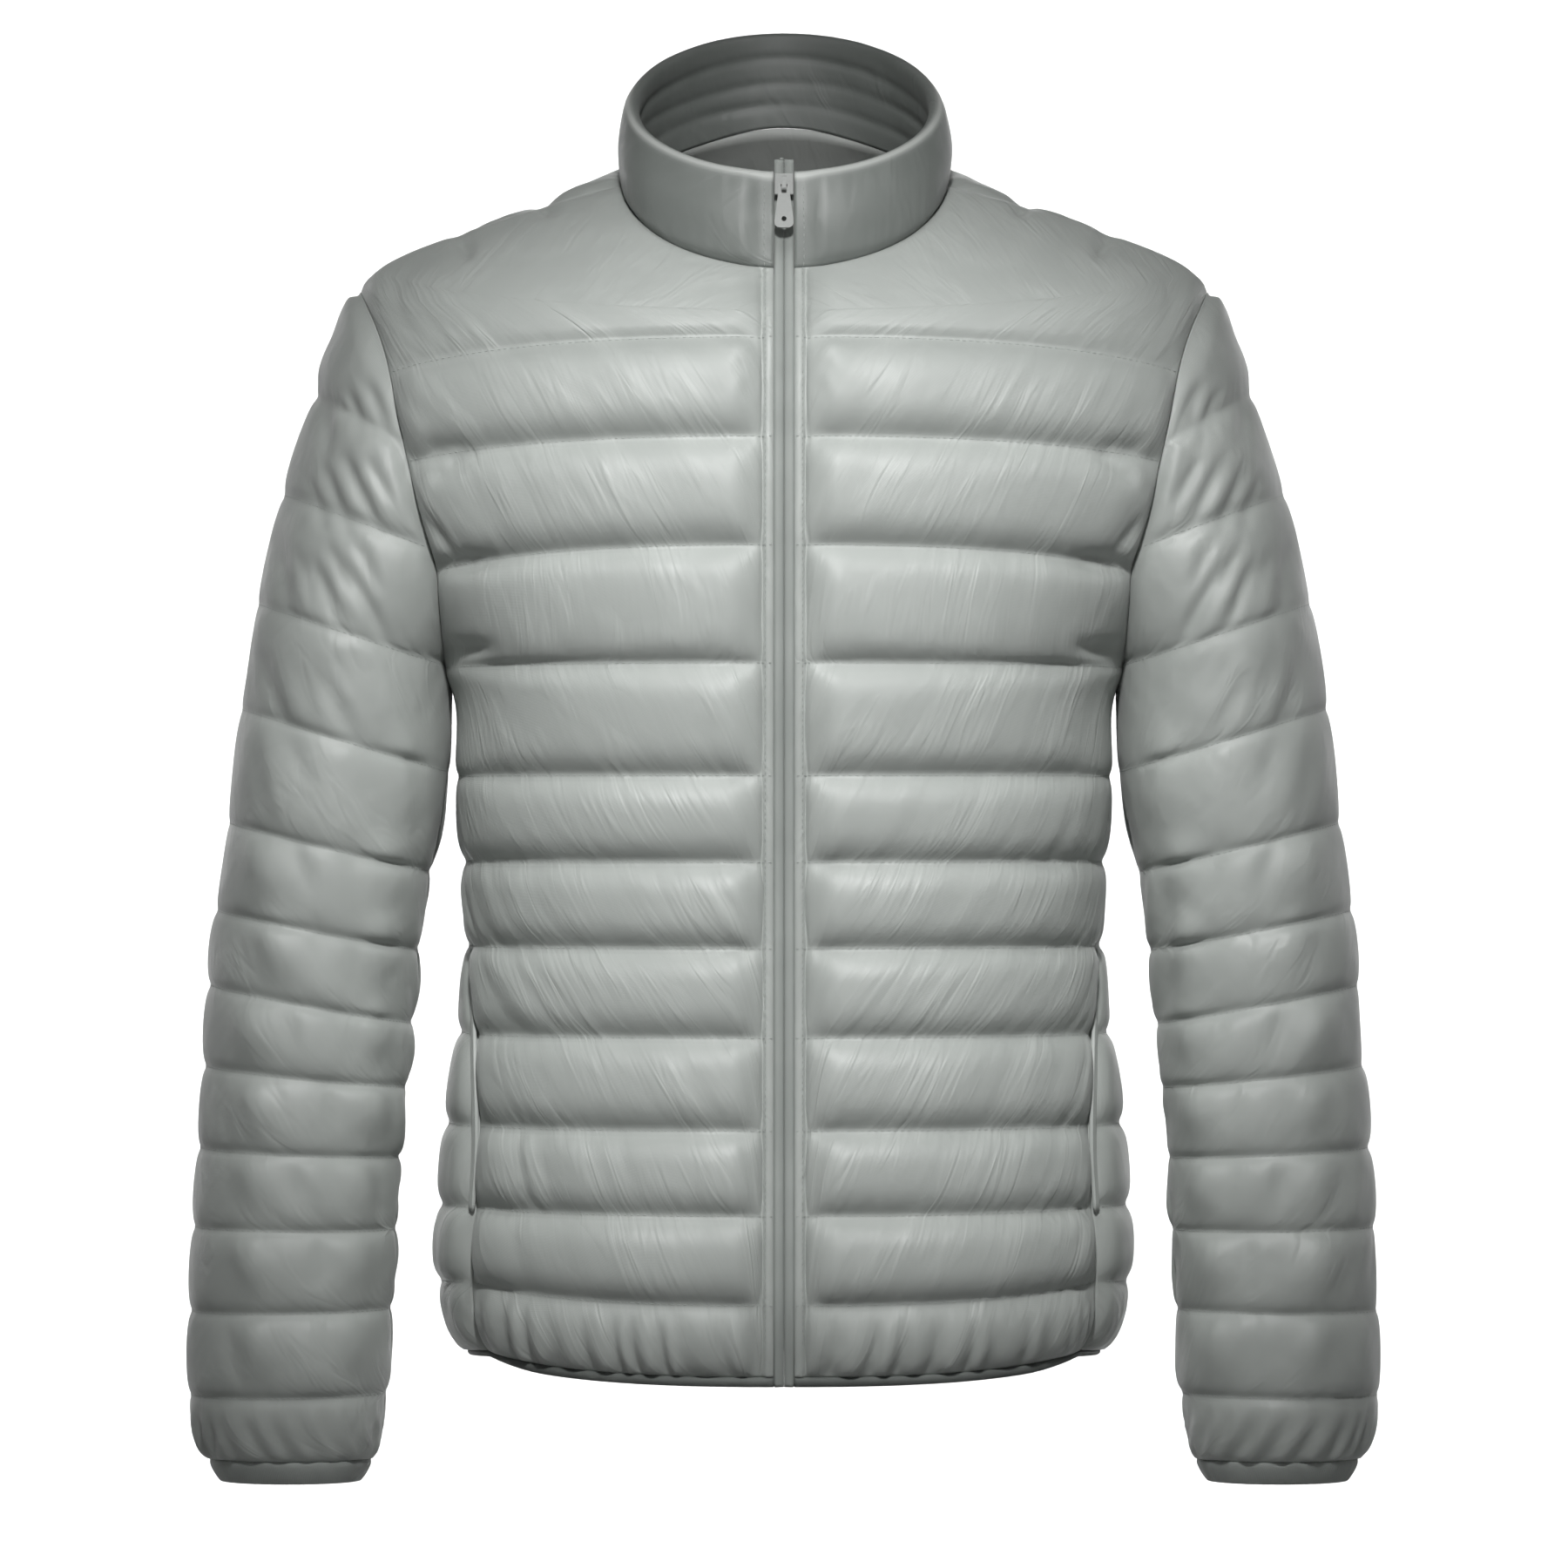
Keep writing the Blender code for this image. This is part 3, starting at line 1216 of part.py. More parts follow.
def bevelled_box(name, size, centre, bevel):
    """A box mesh with rounded edges."""
    bm = bmesh.new()
    bmesh.ops.create_cube(bm, size=1.0)
    bmesh.ops.scale(bm, vec=size, verts=bm.verts[:])
    bmesh.ops.translate(bm, vec=centre, verts=bm.verts[:])
    bmesh.ops.bevel(bm, geom=bm.edges[:], offset=bevel, segments=2, affect="EDGES", profile=0.5)
    mesh = bpy.data.meshes.new(name)
    bm.to_mesh(mesh)
    bm.free()
    return mesh


def flat_outline(name, loops, half_thick, collection):
    """A flat plate from closed outlines in its X-Z plane, the first outer and the rest holes."""
    curve = bpy.data.curves.new(name, "CURVE")
    curve.dimensions = "2D"
    curve.fill_mode = "BOTH"
    curve.extrude = half_thick
    for loop in loops:
        spline = curve.splines.new("POLY")
        spline.points.add(len(loop) - 1)
        for point, (x, z) in zip(spline.points, loop):
            point.co = (x, z, 0.0, 1.0)
        spline.use_cyclic_u = True
    guide = bpy.data.objects.new(name + "_outline", curve)
    collection.objects.link(guide)
    graph = bpy.context.evaluated_depsgraph_get()
    mesh = bpy.data.meshes.new_from_object(guide.evaluated_get(graph))
    bpy.data.objects.remove(guide)
    bm = bmesh.new()
    bm.from_mesh(mesh)
    bmesh.ops.remove_doubles(bm, verts=bm.verts[:], dist=1e-6)
    bmesh.ops.rotate(bm, verts=bm.verts[:], cent=(0, 0, 0), matrix=Matrix.Rotation(math.pi / 2, 3, "X"))
    bmesh.ops.recalc_face_normals(bm, faces=bm.faces[:])
    bm.to_mesh(mesh)
    bm.free()
    return mesh


def arc(centre, radius, start, stop, count):
    """Points along an arc, angles in degrees."""
    turns = np.radians(np.linspace(start, stop, count))
    return [(centre[0] + radius * math.cos(t), centre[1] + radius * math.sin(t)) for t in turns]


def union(thing, other_mesh, collection):
    """Join another closed mesh to an object."""
    other = bpy.data.objects.new(thing.name + "_joined", other_mesh)
    collection.objects.link(other)
    other.parent = thing.parent
    other.location = thing.location
    other.hide_render = True
    other.display_type = "WIRE"
    join = thing.modifiers.new("union", "BOOLEAN")
    join.operation = "UNION"
    join.solver = "EXACT"
    join.object = other


def bridge_mesh(collection):
    """The slider's bridge: an arch over the pull's pin, standing on the slider's front."""
    foot = SLIDER_THICK - BRIDGE_SUNK
    high = SLIDER_THICK + BRIDGE_RISE
    half, corner = BRIDGE_HALF_LENGTH, BRIDGE_CORNER
    outer = [(-half, foot), *arc((-half + corner, high - corner), corner, 180, 90, 5)]
    outer += [*arc((half - corner, high - corner), corner, 90, 0, 5), (half, foot)]
    high -= BRIDGE_THICK
    half, corner = BRIDGE_HALF_LENGTH - BRIDGE_THICK, BRIDGE_INNER_CORNER
    inner = [(half, foot), *arc((half - corner, high - corner), corner, 0, 90, 3)]
    inner += [*arc((-half + corner, high - corner), corner, 90, 180, 3), (-half, foot)]
    mesh = flat_outline("bridge", [outer + inner], BRIDGE_WIDTH / 2, collection)
    # The outline was drawn along the slider (x) and away from it (z): turn it to stand on it.
    turn = Matrix(((0, 1, 0), (0, 0, -1), (1, 0, 0)))
    bm = bmesh.new()
    bm.from_mesh(mesh)
    bmesh.ops.transform(bm, matrix=turn.to_4x4(), verts=bm.verts[:])
    bmesh.ops.recalc_face_normals(bm, faces=bm.faces[:])
    bm.to_mesh(mesh)
    bm.free()
    return mesh


def make_slider(collection, cutters, metal):
    """The slider, seated on the zip in front of its teeth."""
    seat = bpy.data.objects.new("slider_seat", None)
    seat.location = SLIDER_SEAT
    seat.rotation_euler = (-SLIDER_LEAN, 0, 0)
    collection.objects.link(seat)
    lift = TEETH_TOP + SEAM_GAP
    plate = bevelled_box(
        "zip_slider",
        (SLIDER_WIDTH, SLIDER_THICK, SLIDER_LENGTH),
        (0, -SLIDER_THICK / 2, 0),
        SLIDER_BEVEL,
    )
    slider = place_object(plate, "zip_slider", collection, metal, seat)
    slider.location = (0, -lift, 0)
    union(slider, bridge_mesh(collection), cutters)
    pull = place_object(pull_mesh(collection), "zip_pull", collection, metal, seat)
    pull.location = (0, -lift - SLIDER_THICK - PIN_CLEAR - PIN_RADIUS, 0)
    union(pull, pin_mesh(), cutters)


def pull_mesh(collection):
    """The pull tab: a tapered plate with a slot for the bridge and a small round hole."""
    top, neck, low = PULL_TOP_WIDTH / 2, PULL_NECK_WIDTH / 2, PULL_LOW_WIDTH / 2
    corner = PULL_LOW_CORNER
    outer = [(top, 0.0), (neck, -PULL_NECK_LENGTH)]
    outer += arc((low - corner, -PULL_LENGTH + corner), corner, 0, -90, 6)
    outer += arc((-low + corner, -PULL_LENGTH + corner), corner, -90, -180, 6)
    outer += [(-neck, -PULL_NECK_LENGTH), (-top, 0.0)]
    half, end, corner = PULL_SLOT_WIDTH / 2, -PULL_SLOT_LENGTH, PULL_SLOT_CORNER
    slot = [(half, -PULL_SLOT_TOP), (-half, -PULL_SLOT_TOP)]
    slot += [(-half, end + corner), (-half + corner, end)]
    slot += [(half - corner, end), (half, end + corner)]
    hole = arc((0, -PULL_LENGTH + PULL_HOLE_FROM_END), PULL_HOLE_RADIUS, 0, 330, 12)
    return flat_outline("zip_pull", [outer, slot, hole], PULL_THICK / 2, collection)


def pin_mesh():
    """The round bar across the top of the pull, which the bridge holds."""
    bm = bmesh.new()
    bmesh.ops.create_cone(
        bm,
        cap_ends=True,
        segments=16,
        radius1=PIN_RADIUS,
        radius2=PIN_RADIUS,
        depth=PIN_LENGTH,
    )
    bmesh.ops.rotate(
        bm, verts=bm.verts[:], cent=(0, 0, 0), matrix=Matrix.Rotation(math.pi / 2, 3, "Y")
    )
    mesh = bpy.data.meshes.new("pin")
    bm.to_mesh(mesh)
    bm.free()
    return mesh


def main():
    """Build the jacket."""
    for thing in list(bpy.data.objects):
        bpy.data.objects.remove(thing)
    jacket = bpy.data.collections.new("puffer_jacket")
    cutters = bpy.data.collections.new("joined_pieces")
    bpy.context.scene.collection.children.link(jacket)
    bpy.context.scene.collection.children.link(cutters)
    nylon = make_material("grey_green_nylon", (0.36, 0.39, 0.37), 0.42)
    binding = make_material("binding_nylon", (0.30, 0.33, 0.31), 0.55)
    tape = make_material("zip_tape", (0.22, 0.25, 0.23), 0.6)
    metal = make_material("zip_metal", (0.60, 0.62, 0.61), 0.35, 0.8)
    make_fronts(jacket, nylon)
    make_back(jacket, nylon)
    make_sleeves(jacket, nylon)
    make_collar(jacket, nylon)
    make_hem_binding(jacket, binding)
    make_cuff_bindings(jacket, binding)
    make_zip_tapes(jacket, tape)
    make_welts(jacket, binding)
    make_slider(jacket, cutters, metal)


main()
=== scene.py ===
"""Looks of a light quilted puffer jacket, zipped up and filled out with nobody in it.

Metres, +Z up. The jacket faces -Y and its left side (the wearer's) is +X. Each cut piece of
cloth is one closed wall: a plain inner skin, and an outer skin that the filling presses out
between the stitch lines, so that it puffs, puckers and gathers as light nylon does.
"""

import json
import logging
import math
from dataclasses import dataclass, field, replace
from enum import IntEnum
from functools import lru_cache
from typing import ClassVar, NamedTuple, Sequence

import bmesh
import bpy
import numpy as np
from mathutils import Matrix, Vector

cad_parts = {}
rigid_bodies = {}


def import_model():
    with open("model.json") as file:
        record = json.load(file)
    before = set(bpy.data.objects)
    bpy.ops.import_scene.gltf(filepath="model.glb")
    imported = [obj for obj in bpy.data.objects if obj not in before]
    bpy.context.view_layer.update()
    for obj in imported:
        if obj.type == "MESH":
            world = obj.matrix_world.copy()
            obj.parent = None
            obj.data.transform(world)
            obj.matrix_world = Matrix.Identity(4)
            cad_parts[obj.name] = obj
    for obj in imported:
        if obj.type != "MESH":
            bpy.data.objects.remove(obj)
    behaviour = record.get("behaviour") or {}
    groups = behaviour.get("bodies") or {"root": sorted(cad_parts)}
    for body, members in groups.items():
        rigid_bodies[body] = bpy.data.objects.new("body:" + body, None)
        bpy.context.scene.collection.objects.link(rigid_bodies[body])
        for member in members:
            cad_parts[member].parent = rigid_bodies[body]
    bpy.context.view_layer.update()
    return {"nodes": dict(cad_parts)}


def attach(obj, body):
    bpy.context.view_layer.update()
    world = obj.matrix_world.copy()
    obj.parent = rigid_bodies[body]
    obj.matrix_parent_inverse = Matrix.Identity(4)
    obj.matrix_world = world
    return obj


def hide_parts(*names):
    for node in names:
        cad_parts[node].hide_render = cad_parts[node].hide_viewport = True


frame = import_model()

LOG = logging.getLogger("puffer_jacket")

Grid = np.ndarray


class Facing(IntEnum):
    """Which way a panel looks, as the sign of its direction along Y."""

    FRONT = -1
    BACK = 1


# Sizes of the cut, as the solids have them

SEAM_GAP = 0.0003
SKIN_OUT = 0.0010
SKIN_IN = 0.0010
SHOULDER_X = 0.233
SHOULDER_Z = -0.060
UNDERARM_X = 0.184
UNDERARM_Z = -0.267
ARMHOLE_HALF_DEPTH = 0.082
ARMHOLE_TILT = math.radians(14.9)
NECK_X = 0.0865
NECK_HALF_DEPTH = 0.0775
FRONT_EDGE_X = 0.0056
FRONT_MARGIN = 0.0060
BODY_ROUNDNESS = 0.833
DROP_BEND_NECK = {"front": 1.55, "back": 0.90}
DROP_BEND_CHEST = 2.0
BODY_CROWN = 0.0085
YOKE_CROWN = 0.0050
HEM_CROWN = 0.0045
SLEEVE_CROWN = 0.0058
PUFF_POWER = 2.6
SEAM_REACH = 0.018
SEAM_POWER = 1.2
UNDERARM_PUFF_SHARE = 0.05
UNDERARM_FLAT_REACH = 0.010
UNDERARM_FADE = 0.120
UNDERARM_SKIN_SHARE = 0.15
UNDERARM_SKIN_REACH = 0.070
SHOULDER_SKIN_SHARE = 0.50
SHOULDER_SKIN_REACH = 0.050
STEP = 1e-3
SHARE_STEP = 0.01
SAME = 1e-6
BACK_ROUNDING = 0.16


def on_shoulder(x: float) -> float:
    """Place on a panel's side edge where it runs on from the armhole along the shoulder."""
    return SHOULDER_Z + SHOULDER_X - x


def rows_of(kind: type, rows: Sequence[tuple]) -> tuple:
    """A table's rows, each of one kind."""
    return tuple(kind(*row) for row in rows)


class BodyRow(NamedTuple):
    """A row across a front and the back: heights at the centres and place on the side edge."""

    name: str
    front_z: float
    back_z: float
    end: float
    sewn_front: bool
    sewn_back: bool


BODY_ROWS = rows_of(
    BodyRow,
    (
        ("neck", -0.0510, 0.0360, on_shoulder(NECK_X), True, True),
        ("collar_side_1", -0.0545, 0.0240, on_shoulder(0.1010), False, False),
        ("collar_side_2", -0.0580, 0.0080, on_shoulder(0.1180), False, False),
        ("back_1", -0.0615, -0.0060, on_shoulder(0.1330), False, True),
        ("back_1_low", -0.0650, -0.0180, on_shoulder(0.1470), False, False),
        ("back_2_high", -0.0685, -0.0370, on_shoulder(0.1650), False, False),
        ("back_2", -0.0720, -0.0480, on_shoulder(0.1790), False, True),
        ("shoulder", -0.0760, -0.0570, on_shoulder(0.2060), False, False),
        ("shoulder_point", -0.0800, -0.0660, SHOULDER_Z, False, False),
        ("cap_top", -0.0820, -0.0700, -0.0650, False, False),
        ("cap_1", -0.0840, -0.0745, -0.0755, False, False),
        ("cap_2", -0.0870, -0.0820, -0.0905, False, False),
        ("line_1", -0.0904, -0.0900, -0.1080, True, True),
        ("line_2", -0.1441, -0.1460, -0.1560, True, True),
        ("line_3", -0.2024, -0.2050, -0.2150, True, True),
        ("line_4", -0.2654, -0.2640, UNDERARM_Z, True, True),
        ("line_5", -0.3260, -0.3260, -0.3260, True, True),
        ("line_6", -0.3727, -0.3730, -0.3730, True, True),
        ("line_7", -0.4193, -0.4195, -0.4195, True, True),
        ("line_8", -0.4674, -0.4676, -0.4676, True, True),
        ("line_9", -0.5173, -0.5175, -0.5170, True, True),
        ("line_10", -0.5630, -0.5625, -0.5610, True, True),
        ("hem_line", -0.6107, -0.6060, -0.6010, True, True),
        ("hem_edge", -0.6500, -0.6450, -0.6390, True, True),
    ),
)
ROW_OF = {row.name: index for index, row in enumerate(BODY_ROWS)}


class BodySize(NamedTuple):
    """The body's plain form at one height."""

    z: float
    half_width: float
    front: float
    back: float
    seam_degrees: float


BODY_SIZES = rows_of(
    BodySize,
    (
        (0.036, 0.0865, 0.070, 0.0750, 90),
        (0.010, 0.0865, 0.072, 0.0930, 90),
        (-0.030, 0.1500, 0.075, 0.1120, 90),
        (-0.051, 0.1800, 0.080, 0.1195, 90),
        (-0.070, 0.1850, 0.099, 0.1240, 90),
        (-0.090, 0.1850, 0.115, 0.1280, 90),
        (-0.144, 0.1820, 0.127, 0.1340, 90),
        (-0.202, 0.1850, 0.131, 0.1340, 90),
        (UNDERARM_Z, UNDERARM_X, 0.130, 0.1300, 90),
        (-0.284, 0.1768, 0.129, 0.1280, 90),
        (-0.326, 0.1750, 0.126, 0.1220, 90),
        (-0.373, 0.1712, 0.123, 0.1140, 88),
        (-0.405, 0.1688, 0.122, 0.1120, 86),
        (-0.450, 0.1704, 0.122, 0.1130, 76),
        (-0.500, 0.1778, 0.124, 0.1180, 66),
        (-0.545, 0.1820, 0.126, 0.1230, 63),
        (-0.585, 0.1843, 0.128, 0.1260, 63),
        (-0.612, 0.1826, 0.127, 0.1255, 65),
        (-0.632, 0.1765, 0.123, 0.1220, 66),
        (-0.650, 0.1660, 0.117, 0.1160, 66),
    ),
)


class ShoulderPoint(NamedTuple):
    """A point of the shoulder seam."""

    x: float
    z: float


SHOULDER_SEAM = rows_of(
    ShoulderPoint,
    (
        (NECK_X, -0.0015),
        (0.1110, -0.0090),
        (0.1330, -0.0155),
        (0.1560, -0.0240),
        (0.1790, -0.0318),
        (0.2060, -0.0405),
        (0.2240, -0.0500),
        (SHOULDER_X, SHOULDER_Z),
    ),
)


class ArmholePoint(NamedTuple):
    """How far out the armhole seam lies at one height."""

    z: float
    x: float


ARMHOLE_SEAM = rows_of(
    ArmholePoint,
    (
        (UNDERARM_Z, UNDERARM_X),
        (-0.240, 0.1855),
        (-0.211, 0.1895),
        (-0.186, 0.1960),
        (-0.160, 0.2030),
        (-0.142, 0.2070),
        (-0.120, 0.2115),
        (-0.100, 0.2160),
        (-0.084, 0.2215),
        (-0.070, 0.2280),
        (SHOULDER_Z, SHOULDER_X),
    ),
)


class HeadPoint(NamedTuple):
    """Where the sleeve row that leaves the armhole at seam_z passes the outer side."""

    seam_z: float
    outer_x: float
    outer_z: float


SLEEVE_HEAD = rows_of(
    HeadPoint,
    (
        (UNDERARM_Z, 0.2860, -0.2323),
        (-0.2050, 0.2722, -0.1747),
        (-0.1440, 0.2530, -0.1171),
        (-0.1080, 0.2498, -0.1010),
        (-0.0842, 0.2430, -0.0860),
        (-0.0662, 0.2368, -0.0685),
        (SHOULDER_Z, SHOULDER_X, SHOULDER_Z),
    ),
)


class SleeveRing(NamedTuple):
    """A stitch line round the sleeve below the underarm."""

    name: str
    outer_x: float
    outer_z: float
    inner_x: float
    inner_z: float
    half_depth: float
    centre_y: float


SLEEVE_RINGS = rows_of(
    SleeveRing,
    (
        ("underarm", 0.2860, -0.2323, UNDERARM_X, -0.2670, 0.0815, 0.000),
        ("line_4", 0.2948, -0.2899, 0.1876, -0.3235, 0.0760, -0.003),
        ("line_5", 0.3015, -0.3523, 0.1982, -0.3778, 0.0710, -0.007),
        ("line_6", 0.3078, -0.4003, 0.2045, -0.4210, 0.0670, -0.011),
        ("line_7", 0.3113, -0.4411, 0.2082, -0.4613, 0.0635, -0.015),
        ("line_8", 0.3136, -0.4853, 0.2110, -0.4963, 0.0600, -0.019),
        ("line_9", 0.3165, -0.5299, 0.2146, -0.5347, 0.0565, -0.023),
        ("line_10", 0.3192, -0.5731, 0.2162, -0.5741, 0.0535, -0.027),
        ("line_11", 0.3208, -0.6187, 0.2188, -0.6173, 0.0510, -0.030),
        ("line_12", 0.3211, -0.6643, 0.2208, -0.6629, 0.0480, -0.033),
        ("cuff_edge", 0.3130, -0.6990, 0.2270, -0.6990, 0.0385, -0.034),
    ),
)
HEAD_LINES = (("line_1", 0.8), ("line_2", 0.8))


class CollarRow(NamedTuple):
    """A point of the collar's cross-section, from its outer seam over the top to its inner."""

    height: float
    offset: float


COLLAR_WALL = rows_of(
    CollarRow,
    (
        (0.14, 0.0036),
        (0.50, 0.0056),
        (0.86, 0.0050),
        (1.00, 0.0030),
        (1.04, 0.0000),
        (1.00, -0.0030),
        (0.86, -0.0046),
        (0.50, -0.0050),
        (0.14, -0.0030),
    ),
)
COLLAR_TOP_X = 0.083
COLLAR_TOP_Y = 0.0065
COLLAR_TOP_HALF_DEPTH = 0.0785
COLLAR_TOP_Z = 0.0405
COLLAR_TILT = 0.558
COLLAR_BULGE = 0.002
COLLAR_EDGE_SHARE = 0.35
COLLAR_EDGE_WIDTH = 0.0040
COLLAR_EDGE_FADE = 0.0140

# Curves


def smooth(at: float, places: Sequence[float], values: Sequence[float]) -> float:
    """Value on a smooth curve through a table's points, level beyond its ends.

    Args:
        at: place to read.
        places: the points' places, rising or falling.
        values: the points' values.

    Returns:
        The value there.
    """
    xs = np.asarray(places, float)
    ys = np.asarray(values, float)
    if xs[0] > xs[-1]:
        xs, ys = xs[::-1], ys[::-1]
    at = min(max(at, xs[0]), xs[-1])
    index = int(min(max(np.searchsorted(xs, at) - 1, 0), len(xs) - 2))
    slopes = np.diff(ys) / np.diff(xs)
    bends = np.concatenate(([slopes[0]], (slopes[:-1] + slopes[1:]) / 2, [slopes[-1]]))
    flat = np.concatenate(([False], slopes[:-1] * slopes[1:] <= 0, [False]))
    bends[flat] = 0.0
    span = xs[index + 1] - xs[index]
    t = (at - xs[index]) / span
    return float(
        (2 * t**3 - 3 * t**2 + 1) * ys[index]
        + (t**3 - 2 * t**2 + t) * span * bends[index]
        + (3 * t**2 - 2 * t**3) * ys[index + 1]
        + (t**3 - t**2) * span * bends[index + 1]
    )


def column(table: Sequence[NamedTuple], name: str) -> list[float]:
    """One column of a table."""
    return [getattr(row, name) for row in table]


def from_table(table: Sequence[NamedTuple], key: str, name: str, at: float) -> float:
    """A table's column read at a place along its key column."""
    return smooth(at, column(table, key), column(table, name))


def between_rows(table: Sequence[NamedTuple], name: str, v: float) -> float:
    """A column read in a straight line between row number v's neighbours."""
    return float(np.interp(v, range(len(table)), column(table, name)))


def unit(vectors: np.ndarray) -> np.ndarray:
    """Vectors at length one."""
    return vectors / np.maximum(np.linalg.norm(vectors, axis=-1, keepdims=True), 1e-12)


def ease(t: np.ndarray | float) -> np.ndarray:
    """A soft step from 0 to 1."""
    t = np.clip(t, 0.0, 1.0)
    return t * t * (3 - 2 * t)


def bell(distance: np.ndarray | float, width: np.ndarray | float) -> np.ndarray:
    """Height of a bell curve, 1 in its middle."""
    return np.exp(-((distance / width) ** 2))


def fade(distance: np.ndarray | float, flat: float, length: float, least: float) -> np.ndarray:
    """A share that is least up to the flat distance and grows to 1 over a length."""
    return least + (1 - least) * ease((distance - flat) / length)


def swell(share: float) -> float:
    """The rounded rise and fall of the filling across a channel, 0 at both stitch lines."""
    return math.sqrt(max(1 - abs(2 * share - 1) ** PUFF_POWER, 0.0))


def edge_rise(distance: np.ndarray) -> np.ndarray:
    """How fully a channel is puffed at distances from a seam."""
    return np.sin(np.pi / 2 * np.clip(distance / SEAM_REACH, 0.0, 1.0)) ** SEAM_POWER


def run_lengths(points: Grid, axis: int) -> np.ndarray:
    """Distance walked along one axis of a grid of points.

    Args:
        points: points, with the coordinates last.
        axis: the axis to walk along.

    Returns:
        The distance from the first point, of the grid's shape without the coordinates.
    """
    steps = np.linalg.norm(np.diff(points, axis=axis), axis=-1)
    start = np.zeros_like(np.take(steps, [0], axis=axis))
    return np.concatenate((start, np.cumsum(steps, axis=axis)), axis=axis)


def grid_normals(points: Grid, facing: float) -> Grid:
    """Outward directions over a grid of points.

    Args:
        points: rows of points, from the top down.
        facing: 1 or -1, whichever turns the directions outwards.

    Returns:
        Unit vectors, one for each point.
    """
    across = np.gradient(points, axis=1)
    down = np.gradient(points, axis=0)
    return unit(np.cross(across, down) * facing)


# The side edge that front, back and sleeve share

ARMHOLE_MIDDLE_Z = (SHOULDER_Z + UNDERARM_Z) / 2
ARMHOLE_HALF_HEIGHT = (SHOULDER_Z - UNDERARM_Z) / 2
ARMHOLE_MIDDLE = np.array(((SHOULDER_X + UNDERARM_X) / 2, 0.0, ARMHOLE_MIDDLE_Z))
ARMHOLE_OUTWARD = np.array((math.cos(ARMHOLE_TILT), 0.0, -math.sin(ARMHOLE_TILT)))


def armhole_turn(z: float) -> float:
    """Angle round the armhole, 0 at its top and pi at the underarm."""
    share = (z - ARMHOLE_MIDDLE_Z) / ARMHOLE_HALF_HEIGHT
    return math.acos(min(max(share, -1.0), 1.0))


def side_point(end: float, facing: Facing) -> np.ndarray:
    """Point of a panel's side edge."""
    if end > SHOULDER_Z:
        x = SHOULDER_X - (end - SHOULDER_Z)
        return np.array((x, 0.0, from_table(SHOULDER_SEAM, "x", "z", x)))
    if end >= UNDERARM_Z:
        depth = ARMHOLE_HALF_DEPTH * math.sin(armhole_turn(end))
        return np.array((from_table(ARMHOLE_SEAM, "z", "x", end), facing * depth, end))
    turn = math.radians(from_table(BODY_SIZES, "z", "seam_degrees", end))
    half_width = from_table(BODY_SIZES, "z", "half_width", end)
    depth = from_table(BODY_SIZES, "z", "front", end)
    x = half_width * math.sin(turn) ** BODY_ROUNDNESS
    return np.array((x, -depth * max(math.cos(turn), 0.0) ** BODY_ROUNDNESS, end))


UNDERARM = side_point(UNDERARM_Z, Facing.FRONT)
SHOULDER = side_point(SHOULDER_Z, Facing.FRONT)


def near_underarm(points: Grid) -> np.ndarray:
    """Share of the puff left where body and sleeve face each other under the arm."""
    reach = np.linalg.norm(points - UNDERARM, axis=-1)
    return fade(reach, UNDERARM_FLAT_REACH, UNDERARM_FADE, UNDERARM_PUFF_SHARE)


def skin_out(points: Grid) -> np.ndarray:
    """Height of the outer skin over the base form at a stitch line."""
    low = fade(
        np.linalg.norm(points - UNDERARM, axis=-1), 0, UNDERARM_SKIN_REACH, UNDERARM_SKIN_SHARE
    )
    top = fade(
        np.linalg.norm(points - SHOULDER, axis=-1), 0, SHOULDER_SKIN_REACH, SHOULDER_SKIN_SHARE
    )
    return SKIN_OUT * np.minimum(low, top)


# Base forms


